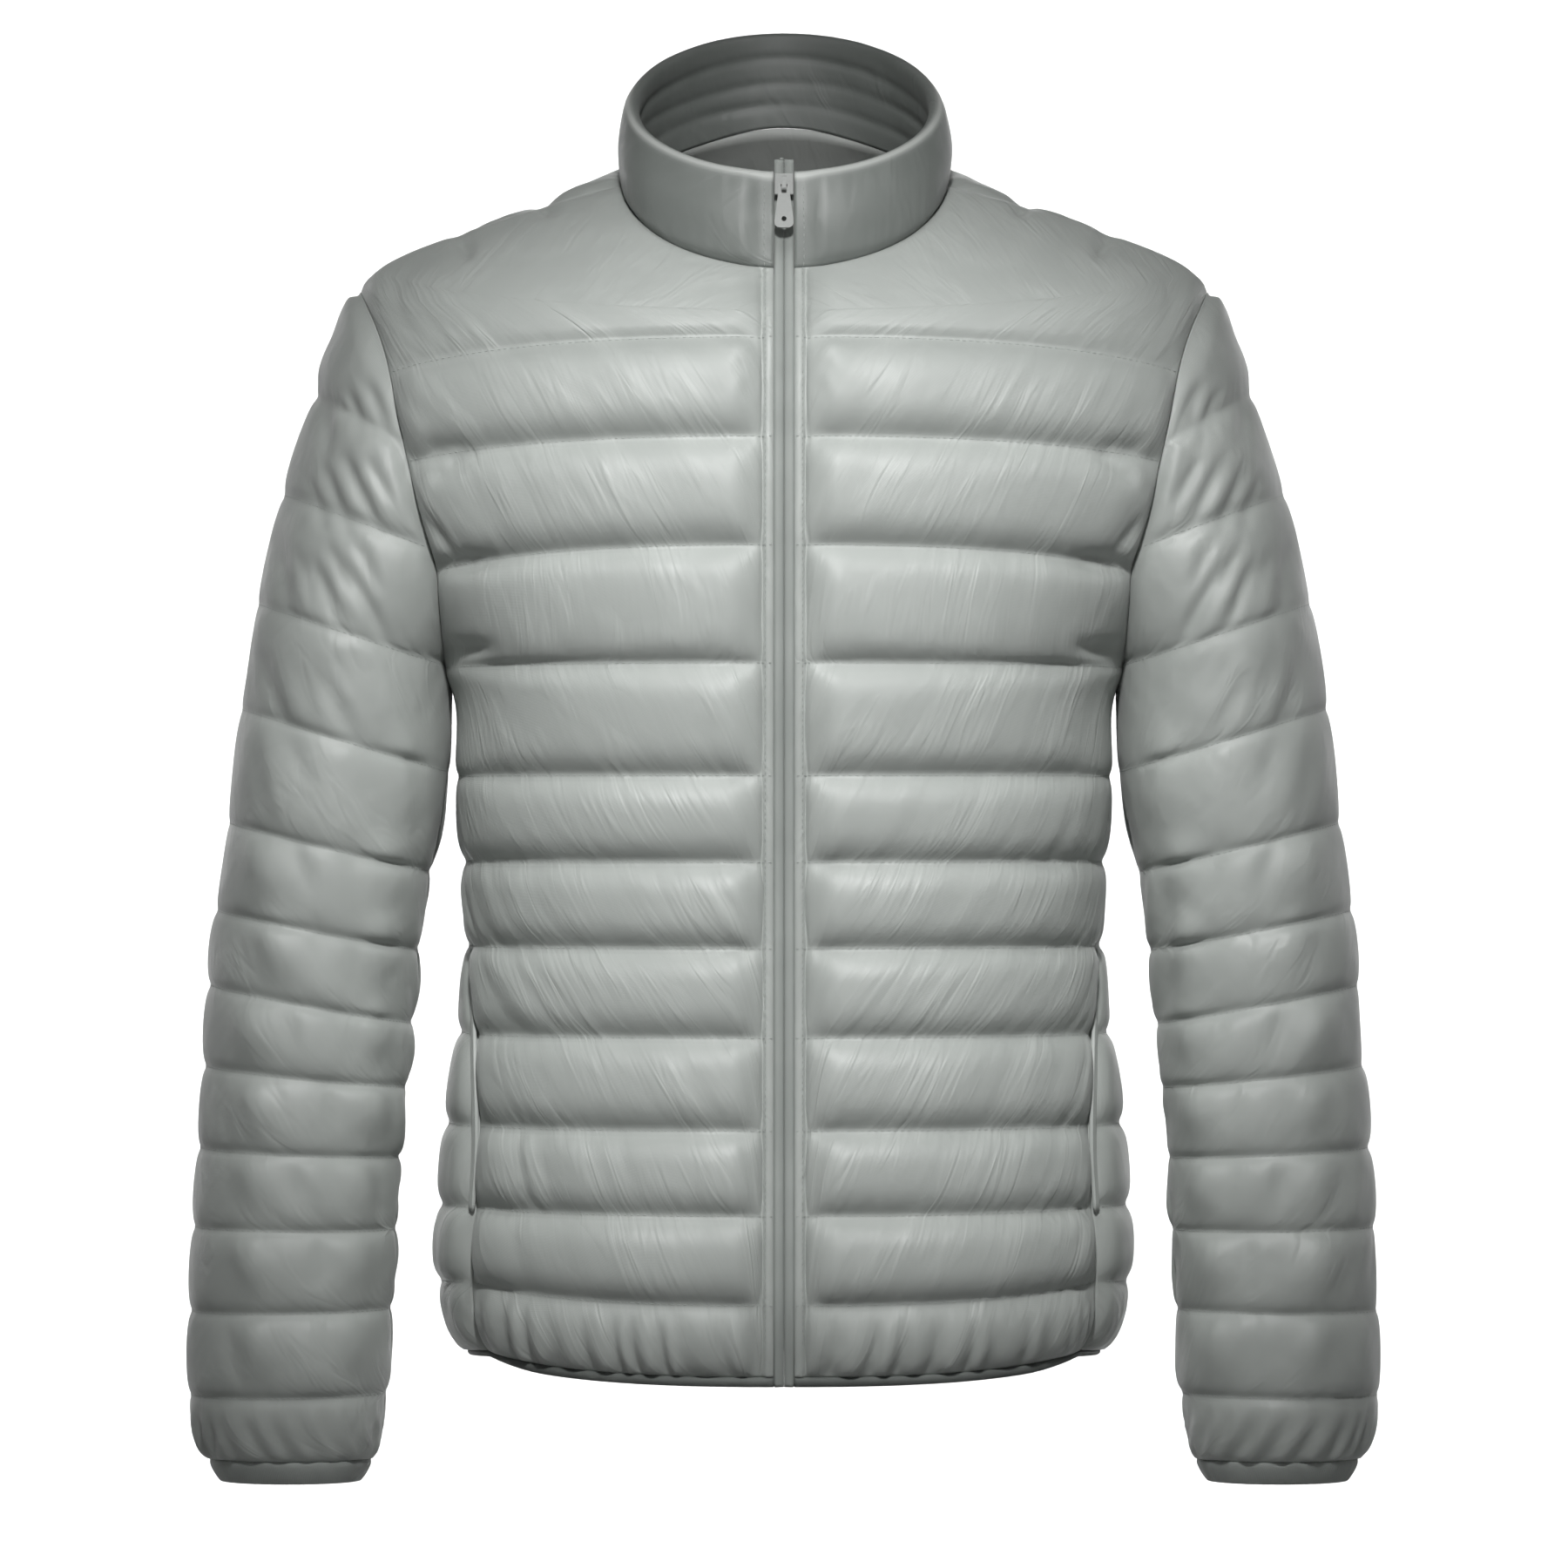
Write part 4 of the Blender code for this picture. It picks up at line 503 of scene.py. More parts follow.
class BodyPanel:
    """The plain form of a front (facing -1) or of half the back (facing 1), on the +X side."""

    DENSE = 120

    def __init__(self, facing: Facing) -> None:
        """Set which side the panel is on."""
        self.facing = facing
        self.name = "front" if facing < 0 else "back"
        self.edge_x = FRONT_EDGE_X if facing < 0 else 0.0
        self.sewn = [k for k, row in enumerate(BODY_ROWS) if getattr(row, "sewn_" + self.name)]

    @lru_cache(maxsize=None)
    def path(self, v: float) -> np.ndarray:
        """Points along row v from the centre edge to the side edge."""
        centre_z = between_rows(BODY_ROWS, self.name + "_z", v)
        end = between_rows(BODY_ROWS, "end", v)
        depth = from_table(BODY_SIZES, "z", self.name, centre_z)
        far_depth = from_table(BODY_SIZES, "z", "back" if self.facing < 0 else "front", end)
        side = side_point(end, self.facing)
        side_depth = depth
        if end < UNDERARM_Z:
            side_depth = from_table(BODY_SIZES, "z", self.name, end)
            turn = math.radians(from_table(BODY_SIZES, "z", "seam_degrees", end))
            last = turn if self.facing < 0 else math.pi - turn
            half_width = from_table(BODY_SIZES, "z", "half_width", end)
        else:
            last = math.acos(min(abs(side[1]) / depth, 1.0) ** (1 / BODY_ROUNDNESS))
            half_width = side[0] / math.sin(last) ** BODY_ROUNDNESS
        first = math.asin((self.edge_x / half_width) ** (1 / BODY_ROUNDNESS))
        first_bend = DROP_BEND_NECK[self.name]
        bend = first_bend + (DROP_BEND_CHEST - first_bend) * float(ease(v / ROW_OF["line_1"]))
        turns = np.linspace(first, last, self.DENSE)
        shares = np.linspace(0.0, 1.0, self.DENSE)
        cosines = np.cos(turns)
        reach = np.where(cosines > 0, depth + (side_depth - depth) * shares, far_depth)
        x = half_width * np.sin(turns) ** BODY_ROUNDNESS
        y = self.facing * np.sign(cosines) * np.abs(cosines) ** BODY_ROUNDNESS * reach
        if self.facing > 0:
            rounded = np.hypot(shares, BACK_ROUNDING) - BACK_ROUNDING
            shares = rounded / (math.hypot(1, BACK_ROUNDING) - BACK_ROUNDING)
        z = centre_z + (side[2] - centre_z) * shares**bend
        return np.stack((x, y, z), axis=1)

    def row(self, v: float, shares: np.ndarray) -> np.ndarray:
        """Points at shares of row v's length."""
        points = self.path(min(max(float(v), 0.0), len(BODY_ROWS) - 1.0))
        lengths = run_lengths(points, 0)
        wanted = np.clip(shares, 0, 1) * lengths[-1]
        return np.stack([np.interp(wanted, lengths, points[:, k]) for k in range(3)], axis=1)

    def length(self, v: float) -> float:
        """Length of row v."""
        return float(run_lengths(self.path(float(v)), 0)[-1])

    def crown(self, v: float) -> float:
        """Height of the filling at row v, away from the edges."""
        below = next((index for index in self.sewn if index >= v - SAME), self.sewn[-1])
        above = max((index for index in self.sewn if index <= v + SAME), default=0)
        if above == below:
            return 0.0
        height = BODY_CROWN
        if above >= ROW_OF["hem_line"]:
            height = HEM_CROWN
        elif below <= ROW_OF["line_1"]:
            height = YOKE_CROWN
        return height * swell((v - above) / (below - above))


class SleeveForm:
    """The plain form of the sleeve on the +X side, from the shoulder point to the cuff."""

    TOP = ROW_OF["shoulder_point"]
    UNDERARM = ROW_OF["line_4"]
    LAST = UNDERARM + len(SLEEVE_RINGS) - 1

    @lru_cache(maxsize=None)
    def frame(self, v: float) -> tuple[np.ndarray, np.ndarray, float, float]:
        """Middle, half-width vector, half depth and end angle of row v."""
        if v <= self.UNDERARM:
            seam_z = between_rows(BODY_ROWS, "end", v)
            seam_x = from_table(ARMHOLE_SEAM, "z", "x", seam_z)
            outer_x = from_table(SLEEVE_HEAD, "seam_z", "outer_x", seam_z)
            outer_z = from_table(SLEEVE_HEAD, "seam_z", "outer_z", seam_z)
            outer = np.array((outer_x, 0.0, outer_z))
            turn = armhole_turn(seam_z)
            reach = (outer - (seam_x, 0.0, seam_z)) / max(1 - math.cos(turn), 1e-4)
            return outer - reach, reach, ARMHOLE_HALF_DEPTH, turn
        ring = v - self.UNDERARM
        sizes = {
            name: smooth(ring, range(len(SLEEVE_RINGS)), column(SLEEVE_RINGS, name))
            for name in SleeveRing._fields[1:]
        }
        outer = np.array((sizes["outer_x"], sizes["centre_y"], sizes["outer_z"]))
        inner = np.array((sizes["inner_x"], sizes["centre_y"], sizes["inner_z"]))
        return (outer + inner) / 2, (outer - inner) / 2, sizes["half_depth"], math.pi

    def row(self, v: float, shares: np.ndarray) -> np.ndarray:
        """Points at shares round row v, from the back's seam over the outer side to the front's."""
        middle, reach, depth, limit = self.frame(float(v))
        turns = (2 * np.asarray(shares) - 1) * limit
        points = middle + np.cos(turns)[:, None] * reach
        points[:, 1] -= np.sin(turns) * depth
        return points

    def sewn(self) -> list[float]:
        """Rows with a stitch line, from the armhole's top to the cuff's edge."""
        head = [ROW_OF[name] + share for name, share in HEAD_LINES]
        rings = range(self.UNDERARM, self.UNDERARM + len(SLEEVE_RINGS))
        return [float(self.TOP), *head, *map(float, rings)]

    def crown(self, v: float) -> float:
        """Height of the filling at row v."""
        sewn = self.sewn()
        above = max(row for row in sewn if row <= v + SAME)
        below = min(row for row in sewn if row >= v - SAME)
        if above == below:
            return 0.0
        height = HEM_CROWN if above >= sewn[-2] else SLEEVE_CROWN
        return height * swell((v - above) / (below - above))


class CollarForm:
    """The middle surface of the stand collar on the +X side, above the neck seam."""

    def top(self, base: np.ndarray) -> np.ndarray:
        """Point of the collar's top line above a point of the neck seam."""
        turn = math.atan2(base[0] / NECK_X, -base[1] / NECK_HALF_DEPTH)
        sine = math.sin(turn)
        first = FRONT_EDGE_X / NECK_X
        if turn < math.pi / 2:
            x = FRONT_EDGE_X + (COLLAR_TOP_X - FRONT_EDGE_X) * (sine - first) / (1 - first)
        else:
            x = COLLAR_TOP_X * sine
        y = COLLAR_TOP_Y - COLLAR_TOP_HALF_DEPTH * math.cos(turn)
        return np.array((max(x, 0.0), y, COLLAR_TOP_Z + COLLAR_TILT * y))

    def point(self, panel: BodyPanel, share: float, height: float) -> np.ndarray:
        """Point at a share along a panel's neck edge and a share of the collar's height."""
        base = panel.row(0, np.array([share]))[0]
        top = self.top(base)
        outward = unit(np.array((base[0], base[1], 0.0)))
        bulge = COLLAR_BULGE * 4 * max(height * (1 - height), 0.0)
        return base + (top - base) * height + outward * bulge

    def normal(self, panel: BodyPanel, share: float, height: float) -> np.ndarray:
        """Outward direction at such a point."""
        low, high = max(share - SHARE_STEP, 0.0), min(share + SHARE_STEP, 1.0)
        across = self.point(panel, high, height) - self.point(panel, low, height)
        if panel.edge_x == 0.0 and share < SHARE_STEP:
            across = np.array((1.0, 0.0, 0.0))
        up = self.point(panel, share, height + 0.05) - self.point(panel, share, height - 0.05)
        normal = np.cross(up, across) * panel.facing
        if panel.edge_x == 0.0 and share < SHARE_STEP:
            normal[0] = 0.0
        return unit(normal)


FRONT = BodyPanel(Facing.FRONT)
BACK = BodyPanel(Facing.BACK)
SLEEVE = SleeveForm()
COLLAR = CollarForm()


# Seams: the shift off each seam and the direction of its mitre


class Seam(NamedTuple):
    """A seam at one point: the way across it, and the way its mitre stands."""

    over: np.ndarray
    mitre: np.ndarray


def seam_between(
    tangent: np.ndarray, into_first: np.ndarray, into_second: np.ndarray, outward: np.ndarray
) -> Seam:
    """A seam between two pieces.

    Args:
        tangent: direction along the seam.
        into_first: direction from the seam into the first piece.
        into_second: the same for the second piece.
        outward: rough direction out of the jacket.

    Returns:
        The direction from the first piece to the second, and the mitre's.
    """
    tangent = unit(tangent)
    over = unit(into_second) - unit(into_first)
    over = unit(over - tangent * np.dot(over, tangent))
    mitre = unit(np.cross(tangent, over))
    if np.dot(mitre, outward) < 0:
        mitre = -mitre
    return Seam(over, mitre)


def side_seam(v: float) -> Seam:
    """Seam between front and back at row v."""
    end = between_rows(BODY_ROWS, "end", v)
    point = side_point(end, Facing.FRONT)
    tangent = side_point(end + STEP, Facing.FRONT) - side_point(end - STEP, Facing.FRONT)
    into_front = FRONT.row(v, np.array([0.98]))[0] - point
    into_back = BACK.row(v, np.array([0.98]))[0] - point
    outward = np.array((point[0], 0.0, 0.0 if end < UNDERARM_Z else 1.0))
    return seam_between(tangent, into_front, into_back, outward)


def armhole_mitre(point: np.ndarray, facing: Facing) -> np.ndarray:
    """Direction of the mitre at a point of the armhole seam, away from the armhole's middle."""
    end = point[2]
    radial = point - ARMHOLE_MIDDLE
    radial = radial - ARMHOLE_OUTWARD * np.dot(radial, ARMHOLE_OUTWARD)
    step = min(STEP, (SHOULDER_Z - end) / 2, (end - UNDERARM_Z) / 2)
    if step < 1e-5:
        return unit(radial * (1.0, 0.0, 1.0))
    tangent = side_point(end + step, facing) - side_point(end - step, facing)
    tangent = unit(tangent - ARMHOLE_OUTWARD * np.dot(tangent, ARMHOLE_OUTWARD))
    return unit(radial - tangent * np.dot(radial, tangent))


def neck_seam(panel: BodyPanel, share: float) -> Seam:
    """Seam between a panel and the collar."""
    point = panel.row(0, np.array([share]))[0]
    low, high = max(share - SHARE_STEP, 0.0), min(share + SHARE_STEP, 1.0)
    tangent = panel.row(0, np.array([high]))[0] - panel.row(0, np.array([low]))[0]
    if panel.edge_x == 0.0 and share < SHARE_STEP:
        tangent = np.array((1.0, 0.0, 0.0))
    into_panel = panel.row(0.5, np.array([share]))[0] - point
    into_collar = COLLAR.point(panel, share, 0.2) - point
    outward = np.array((point[0], point[1], 0.05))
    return seam_between(tangent, into_panel, into_collar, outward)


def shoulder_neck_seam() -> Seam:
    """The neck seam where the shoulder seam meets it, the same for front, back and collar."""
    front, back = neck_seam(FRONT, 1.0), neck_seam(BACK, 1.0)
    return Seam(unit(front.over + back.over), unit(front.mitre + back.mitre))


def panel_side(panel: BodyPanel, v: float) -> tuple[np.ndarray, np.ndarray]:
    """Shift off the side seams, and the mitre, for a panel's side edge at row v."""
    end = between_rows(BODY_ROWS, "end", v)
    shift = np.zeros(3)
    mitre = np.zeros(3)
    if end <= UNDERARM_Z + SAME or end >= SHOULDER_Z - SAME:
        seam = side_seam(v)
        mitre = seam.mitre
        shift = shift + seam.over * panel.facing * SEAM_GAP / 2
    if UNDERARM_Z - SAME <= end <= SHOULDER_Z + SAME:
        mitre = armhole_mitre(side_point(end, panel.facing), panel.facing)
        shift = shift - ARMHOLE_OUTWARD * SEAM_GAP / 2
    if v < SAME:
        seam = shoulder_neck_seam()
        mitre = seam.mitre
        shift = shift - seam.over * SEAM_GAP / 2
    return shift, mitre


# Filled cloth


@dataclass
class QuiltedGrid:
    """One quilted piece as a grid of rows by columns, before and after the filling swells it.

    Attributes:
        name: the piece's name.
        base: the garment's plain form.
        seams: the outer skin where it is held down: on the stitch lines and at the edges.
        normals: outward directions.
        heights: how high the filling stands by itself over the skin.
        held: which points are sewn down.
        lines: the rows that are stitch lines.
        gathered: share of the elastic's gathers in each row.
        drift: which way along the row the folds run as they go down, for each column.
        busy: how creased the cloth is at each point, from 0 to 1.
        inner: the inner skin.
        faceted: how much its channels are broken into flat parts, from 0 to 1.
        ring_from: the row from which the first and the last column are one seam.
        outer: the finished outer skin.
    """

    PLACED: ClassVar[tuple[str, ...]] = ("base", "seams", "normals", "inner")
    PLAIN: ClassVar[tuple[str, ...]] = ("heights", "held", "busy")

    name: str
    base: Grid
    seams: Grid
    normals: Grid
    heights: np.ndarray
    held: np.ndarray
    lines: list[int]
    gathered: np.ndarray
    drift: np.ndarray
    busy: np.ndarray
    inner: Grid
    faceted: float = 0.0
    ring_from: int | None = None
    outer: Grid | None = None

    def filled(self, lift: np.ndarray | float = 0.0) -> Grid:
        """The outer skin with its filling, and a further lift where it isn't held."""
        loose = np.where(self.held, 0.0, self.heights + lift)
        return self.seams + self.normals * loose[..., None]

    def spread(self) -> np.ndarray:
        """Distance along the row from its middle, for each point."""
        along = run_lengths(self.filled(), 1)
        return along - along[:, -1:] / 2

    def mirrored(self, name: str) -> "QuiltedGrid":
        """The piece on the other side, its columns turned round so that its faces point out."""
        grids = {key: getattr(self, key)[:, ::-1] for key in self.PLAIN}
        grids |= {key: mirrored_points(getattr(self, key))[:, ::-1] for key in self.PLACED}
        return replace(self, name=name, drift=-self.drift[::-1], **grids)

    def with_mirror(self) -> "QuiltedGrid":
        """The piece over both sides, from a half with its first column in the middle."""
        grids = {}
        for key in (*self.PLAIN, *self.PLACED):
            half = getattr(self, key)
            other = mirrored_points(half) if key in self.PLACED else half
            grids[key] = np.concatenate((other[:, :0:-1], half), axis=1)
        drift = np.concatenate((-self.drift[:0:-1], self.drift))
        return replace(self, drift=drift, **grids)


@dataclass(frozen=True)
class Puckers:
    """Folds of light cloth beside its stitch lines and across its channels.

    Attributes:
        step: usual distance between two fine folds.
        height: height of a fine fold.
        reach: how far a fine fold runs out from its stitch line.
        long_step: usual distance between two folds that cross a whole channel.
        long_height: height of such a fold.
        facet_step: usual width of a flat part of a channel between two ridges.
        facet_height: height of a ridge.
        elastic_step: distance between two gathers at an elastic edge.
        elastic_height: height of a gather.
        slope: how far a fold moves along the row as it goes down.
        clump: change of the filling's height along a channel.
        line_clear: distance from a stitch line over which a fold comes up.
        tall: height from which a channel has folds above its lower line only.
        tall_reach: how far up they go there.
        clump_length: distance between two turns of the filling's height.
        reach_length: the same for the reach of the fine folds.
        busy_length: the same for their height.
        group_length: the same for the groups of long folds.
        up_slope: slope of the folds above a line, as a share of that of the folds below one.
        facet_slope: slope of the ridges, as a share of that of the folds.
        elastic_quiet: share of all these that an elastic edge takes away.
    """

    step: float = 0.0095
    height: float = 0.0016
    reach: float = 0.013
    long_step: float = 0.021
    long_height: float = 0.0030
    facet_step: float = 0.042
    facet_height: float = 0.0042
    elastic_step: float = 0.0135
    elastic_height: float = 0.0050
    slope: float = 0.55
    clump: float = 0.10
    line_clear: float = 0.0035
    tall: float = 0.075
    tall_reach: float = 0.034
    clump_length: float = 0.055
    reach_length: float = 0.03
    busy_length: float = 0.04
    group_length: float = 0.07
    up_slope: float = 0.6
    facet_slope: float = 1.3
    elastic_quiet: float = 0.6

    @staticmethod
    def wander(places: np.ndarray, length: float, rng: np.random.Generator) -> np.ndarray:
        """A soft random course along a line.

        Args:
            places: where to read it.
            length: distance between its turns.
            rng: source of the turns' values.

        Returns:
            Values from -1 to 1.
        """
        low, high = float(places.min()) - length, float(places.max()) + 2 * length
        knots = np.arange(low, high, length)
        values = rng.uniform(-1, 1, len(knots))
        index = np.clip(((places - low) / length).astype(int), 0, len(knots) - 2)
        share = ease((places - low) / length - index)
        return values[index] * (1 - share) + values[index + 1] * share

    @staticmethod
    def knots(
        places: np.ndarray, step: float, spread: tuple[float, float], rng: np.random.Generator
    ) -> np.ndarray:
        """Places at uneven distances, from one step before a line to past its end.

        Args:
            places: the line's own places.
            step: usual distance.
            spread: smallest and largest share of it.
            rng: source of the distances.

        Returns:
            The places, rising.
        """
        low, high = float(places.min()), float(places.max())
        count = int((high - low) / step * 1.6) + 8
        return low - step + np.cumsum(rng.uniform(*spread, count)) * step

    @staticmethod
    def pleats(places: np.ndarray, step: float, rng: np.random.Generator) -> np.ndarray:
        """Rounded folds with narrow valleys between them, uneven in width and height.

        Args:
            places: where to read them, along the line.
            step: usual width of a fold.
            rng: source of the widths and heights.

        Returns:
            Heights from about -0.6 to 0.4.
        """
        knots = Puckers.knots(places, step, (0.45, 1.7), rng)
        phase = np.interp(places, knots, np.arange(len(knots)))
        sizes = rng.uniform(0.15, 1.0, len(knots) + 1)
        size = np.interp(phase, np.arange(len(knots) + 1), sizes)
        return size * (np.abs(np.sin(np.pi * phase)) ** 1.25 - 0.58)

    @staticmethod
    def facets(places: np.ndarray, step: float, rng: np.random.Generator) -> np.ndarray:
        """Flat parts that meet in ridges, uneven in width and height.

        Args:
            places: where to read them, along the line.
            step: usual width of a flat part.
            rng: source of the widths and heights.

        Returns:
            Heights from about -0.5 to 0.5.
        """
        knots = Puckers.knots(places, step, (0.5, 1.5), rng)
        levels = np.where(np.arange(len(knots)) % 2, 0.5, -0.5) * rng.uniform(0.3, 1.0, len(knots))
        return np.interp(places, knots, levels)

    def over(self, grid: QuiltedGrid, seed: int) -> np.ndarray:
        """Height change of a piece by its folds.

        Args:
            grid: the piece.
            seed: seed of its folds.

        Returns:
            A height for each point, 0 on the stitch lines.
        """
        rng = np.random.default_rng(seed)
        spread = grid.spread()
        down = run_lengths(grid.filled(), 0)
        lift = np.zeros(spread.shape)
        for first, last in zip(grid.lines, grid.lines[1:]):
            rows = slice(first, last + 1)
            place, below = spread[rows], down[rows] - down[first]
            tall = np.maximum(below[-1], 1e-4)
            above = tall - below
            elastic = grid.gathered[rows][:, None]
            slope = self.slope * rng.uniform(0.5, 1.4) * grid.drift * (1 - float(elastic.max()))
            clear = ease(np.minimum(below, above) / self.line_clear)
            change = self.clump * grid.heights[rows] * self.wander(place[0], self.clump_length, rng)
            for away, way in ((below, -slope), (above, slope * self.up_slope)):
                reach = self.reach * (1 + 0.5 * self.wander(place[0], self.reach_length, rng))
                busy = 0.45 + 0.55 * self.wander(place[0], self.busy_length, rng)
                fine = self.pleats(place + way * away, self.step, rng)
                change = change + self.height * busy * fine * bell(away, reach)
            bow = np.sin(np.pi * np.clip(below / tall, 0, 1)) ** 0.6
            clumps = np.clip(0.35 + 0.75 * self.wander(place[0], self.group_length, rng), 0, 1)
            folds = self.pleats(place - slope * below, self.long_step, rng)
            change = change + self.long_height * clumps * bow * folds
            ridges = self.facets(place - self.facet_slope * slope * below, self.facet_step, rng)
            change = change + self.facet_height * bow * ridges * (0.3 + 0.7 * grid.faceted)
            near_edge = ease(below / tall / 0.5) * ease(above / 0.004)
            gathers = self.pleats(place, self.elastic_step, rng)
            pulled = float(elastic.max()) * ease(elastic + 0.5 * below / tall)
            quiet = 1 - self.elastic_quiet * elastic
            change = change * quiet + self.elastic_height * gathers * near_edge * pulled
            if tall.max() > self.tall:
                change = change * bell(above, self.tall_reach)
            lift[rows] = change * clear * np.maximum(grid.busy[rows], elastic)
        on_left = np.abs(grid.base) * (1, 0, -1) + grid.base * (0, 1, 0)
        return np.where(grid.held, 0.0, lift) * near_underarm(on_left)


@dataclass(frozen=True)
class Crease:
    """A soft trough at a listed place, on both sides of the jacket.

    Attributes:
        start: its first end, as x and z.
        end: its other end.
        width: half its width.
        depth: how deep it is; below zero it is a ridge.
        facing: the front or the back.
    """

    start: tuple[float, float]
    end: tuple[float, float]
    width: float
    depth: float
    facing: Facing = Facing.FRONT

    def lift(self, points: Grid) -> np.ndarray:
        """How far the crease lifts each point, below zero in a trough."""
        flat = np.stack((np.abs(points[..., 0]), points[..., 2]), axis=-1)
        first, second = np.array(self.start), np.array(self.end)
        along = second - first
        share = ((flat - first) @ along) / np.dot(along, along)
        away = np.linalg.norm(flat - (first + share[..., None] * along), axis=-1)
        spindle = ease((share + 0.2) / 0.5) * ease((1.2 - share) / 0.7)
        side = ease(points[..., 1] * self.facing / 0.02)
        return -self.depth * side * spindle * bell(away, self.width)


@dataclass(frozen=True)
class Filling:
    """How a quilted piece is cut and filled.

    Attributes:
        slack_across: spare cloth across a channel.
        slack_along: spare cloth along a channel.
        gathers: spare cloth along an elastic edge.
        pressure: how hard the filling presses.
        tension: how hard the cloth resists being stretched.
        bending: how hard it resists being bent.
        point_mass: mass of one point of the cloth.
        frames: how many steps in time the press takes.
        quality: how many small steps each of them has.
        most_above: how far over the filling's own height a point may go.
        most_share: the same as a share of that height.
        most_sideways: how far a point may slide.
        cap_sharpness: how suddenly the first limit sets in.
        deepest: how far a point may sink below the held skin.
        shear_share: resistance to shear as a share of that to stretch.
        damping: how quickly the cloth comes to rest.
    """

    slack_across: float = 0.045
    slack_along: float = 0.060
    gathers: float = 0.16
    pressure: float = 2600.0
    tension: float = 6.0
    bending: float = 0.015
    point_mass: float = 0.0003
    frames: int = 20
    quality: int = 4
    most_above: float = 0.0010
    most_share: float = 1.05
    most_sideways: float = 0.0035
    cap_sharpness: float = 2500.0
    deepest: float = -0.0003
    shear_share: float = 0.3
    damping: float = 5.0

    def pattern(self, grid: QuiltedGrid) -> np.ndarray:
        """The cut cloth laid flat: each point's place along and down it, in metres."""
        slack = self.slack_along + (self.gathers - self.slack_along) * grid.gathered
        down = run_lengths(grid.filled(), 0) * (1 + self.slack_across)
        return np.stack((grid.spread() * (1 + slack[:, None]), -down), axis=-1)


class FillingPress:
    """Presses the filling into all the quilted pieces at once, with Blender's cloth."""

    def __init__(self, filling: Filling) -> None:
        """Keep the filling."""
        self.filling = filling
        self.jobs: list[tuple[QuiltedGrid, bpy.types.Object, Grid]] = []

    def add(self, grid: QuiltedGrid, folds: np.ndarray) -> None:
        """Put a piece in the press.

        Args:
            grid: the quilted piece.
            folds: heights of the folds that it starts with.
        """
        start = grid.filled(folds)
        rows, cols = grid.heights.shape
        ids = np.arange(rows * cols).reshape(rows, cols)
        outwards = (grid_normals(start, 1.0) * grid.normals).sum() > 0
        mesh = bpy.data.meshes.new(grid.name + "_pressed")
        mesh.from_pydata(start.reshape(-1, 3).tolist(), [], grid_faces(ids if outwards else ids[:, ::-1]))
        thing = new_object(grid.name + "_pressed", mesh)
        held = thing.vertex_groups.new(name="held")
        held.add(np.flatnonzero(grid.held.ravel()).tolist(), 1.0, "REPLACE")
        thing.shape_key_add(name="Basis")
        cut = thing.shape_key_add(name="cut")
        flat = self.filling.pattern(grid).reshape(-1, 2)
        cut.data.foreach_set("co", np.column_stack((flat, np.zeros(len(flat)))).ravel())
        cut.value = 0.0
        self.dress(thing, cut)
        self.jobs.append((grid, thing, start))

    def dress(self, thing: bpy.types.Object, cut: bpy.types.ShapeKey) -> None:
        """Give a piece in the press its cloth.

        Args:
            thing: the piece.
            cut: its shape when it is laid flat.
        """
        filling = self.filling
        modifier = thing.modifiers.new("cloth", "CLOTH")
        cloth = modifier.settings
        cloth.quality = filling.quality
        cloth.mass = filling.point_mass
        cloth.tension_stiffness = cloth.compression_stiffness = filling.tension
        cloth.shear_stiffness = filling.tension * filling.shear_share
        cloth.bending_stiffness = filling.bending
        cloth.tension_damping = cloth.compression_damping = cloth.shear_damping = filling.damping
        cloth.air_damping = filling.damping
        cloth.vertex_group_mass = "held"
        cloth.use_pressure = True
        cloth.uniform_pressure_force = filling.pressure
        cloth.rest_shape_key = cut
        cloth.effector_weights.gravity = 0.0
        modifier.collision_settings.use_collision = False
        modifier.point_cache.frame_start = 1
        modifier.point_cache.frame_end = filling.frames + 1

    def run(self) -> None:
        """Press, and keep each piece's outer skin."""
        scene = bpy.context.scene
        for number in range(1, self.filling.frames + 1):
            scene.frame_set(number)
        graph = bpy.context.evaluated_depsgraph_get()
        for grid, thing, start in self.jobs:
            pressed = np.empty(start.size)
            thing.evaluated_get(graph).data.vertices.foreach_get("co", pressed)
            pressed = pressed.reshape(start.shape)
            grid.outer = self.capped(grid, pressed)
            bpy.data.objects.remove(thing)
        scene.frame_set(1)

    def capped(self, grid: QuiltedGrid, pressed: Grid) -> Grid:
        """The pressed skin, with each point kept within its limits."""
        filling = self.filling
        move = pressed - grid.seams
        out = (move * grid.normals).sum(axis=-1)
        sideways = move - grid.normals * out[..., None]
        slide = np.linalg.norm(sideways, axis=-1, keepdims=True)
        sideways *= np.minimum(1.0, filling.most_sideways / np.maximum(slide, 1e-9))
        most = grid.heights * filling.most_share + filling.most_above
        sharp = filling.cap_sharpness
        out = most - np.logaddexp(0.0, (most - out) * sharp) / sharp
        out = np.maximum(most - np.abs(most - out), filling.deepest)
        result = grid.seams + grid.normals * out[..., None] + sideways
        return np.where(grid.held[..., None], grid.seams, result)


# Meshes


def grid_faces(ids: np.ndarray) -> list[tuple[int, ...]]:
    """Four-sided faces over a grid of vertex numbers.

    Args:
        ids: vertex numbers, rows by columns; neighbours may be the same one.

    Returns:
        The faces, with corners that are the same one left out.
    """
    corners = np.stack((ids[:-1, :-1], ids[:-1, 1:], ids[1:, 1:], ids[1:, :-1]), axis=-1)
    faces = []
    for face in corners.reshape(-1, 4).tolist():
        distinct = tuple(dict.fromkeys(face))
        if len(distinct) > 2:
            faces.append(distinct)
    return faces


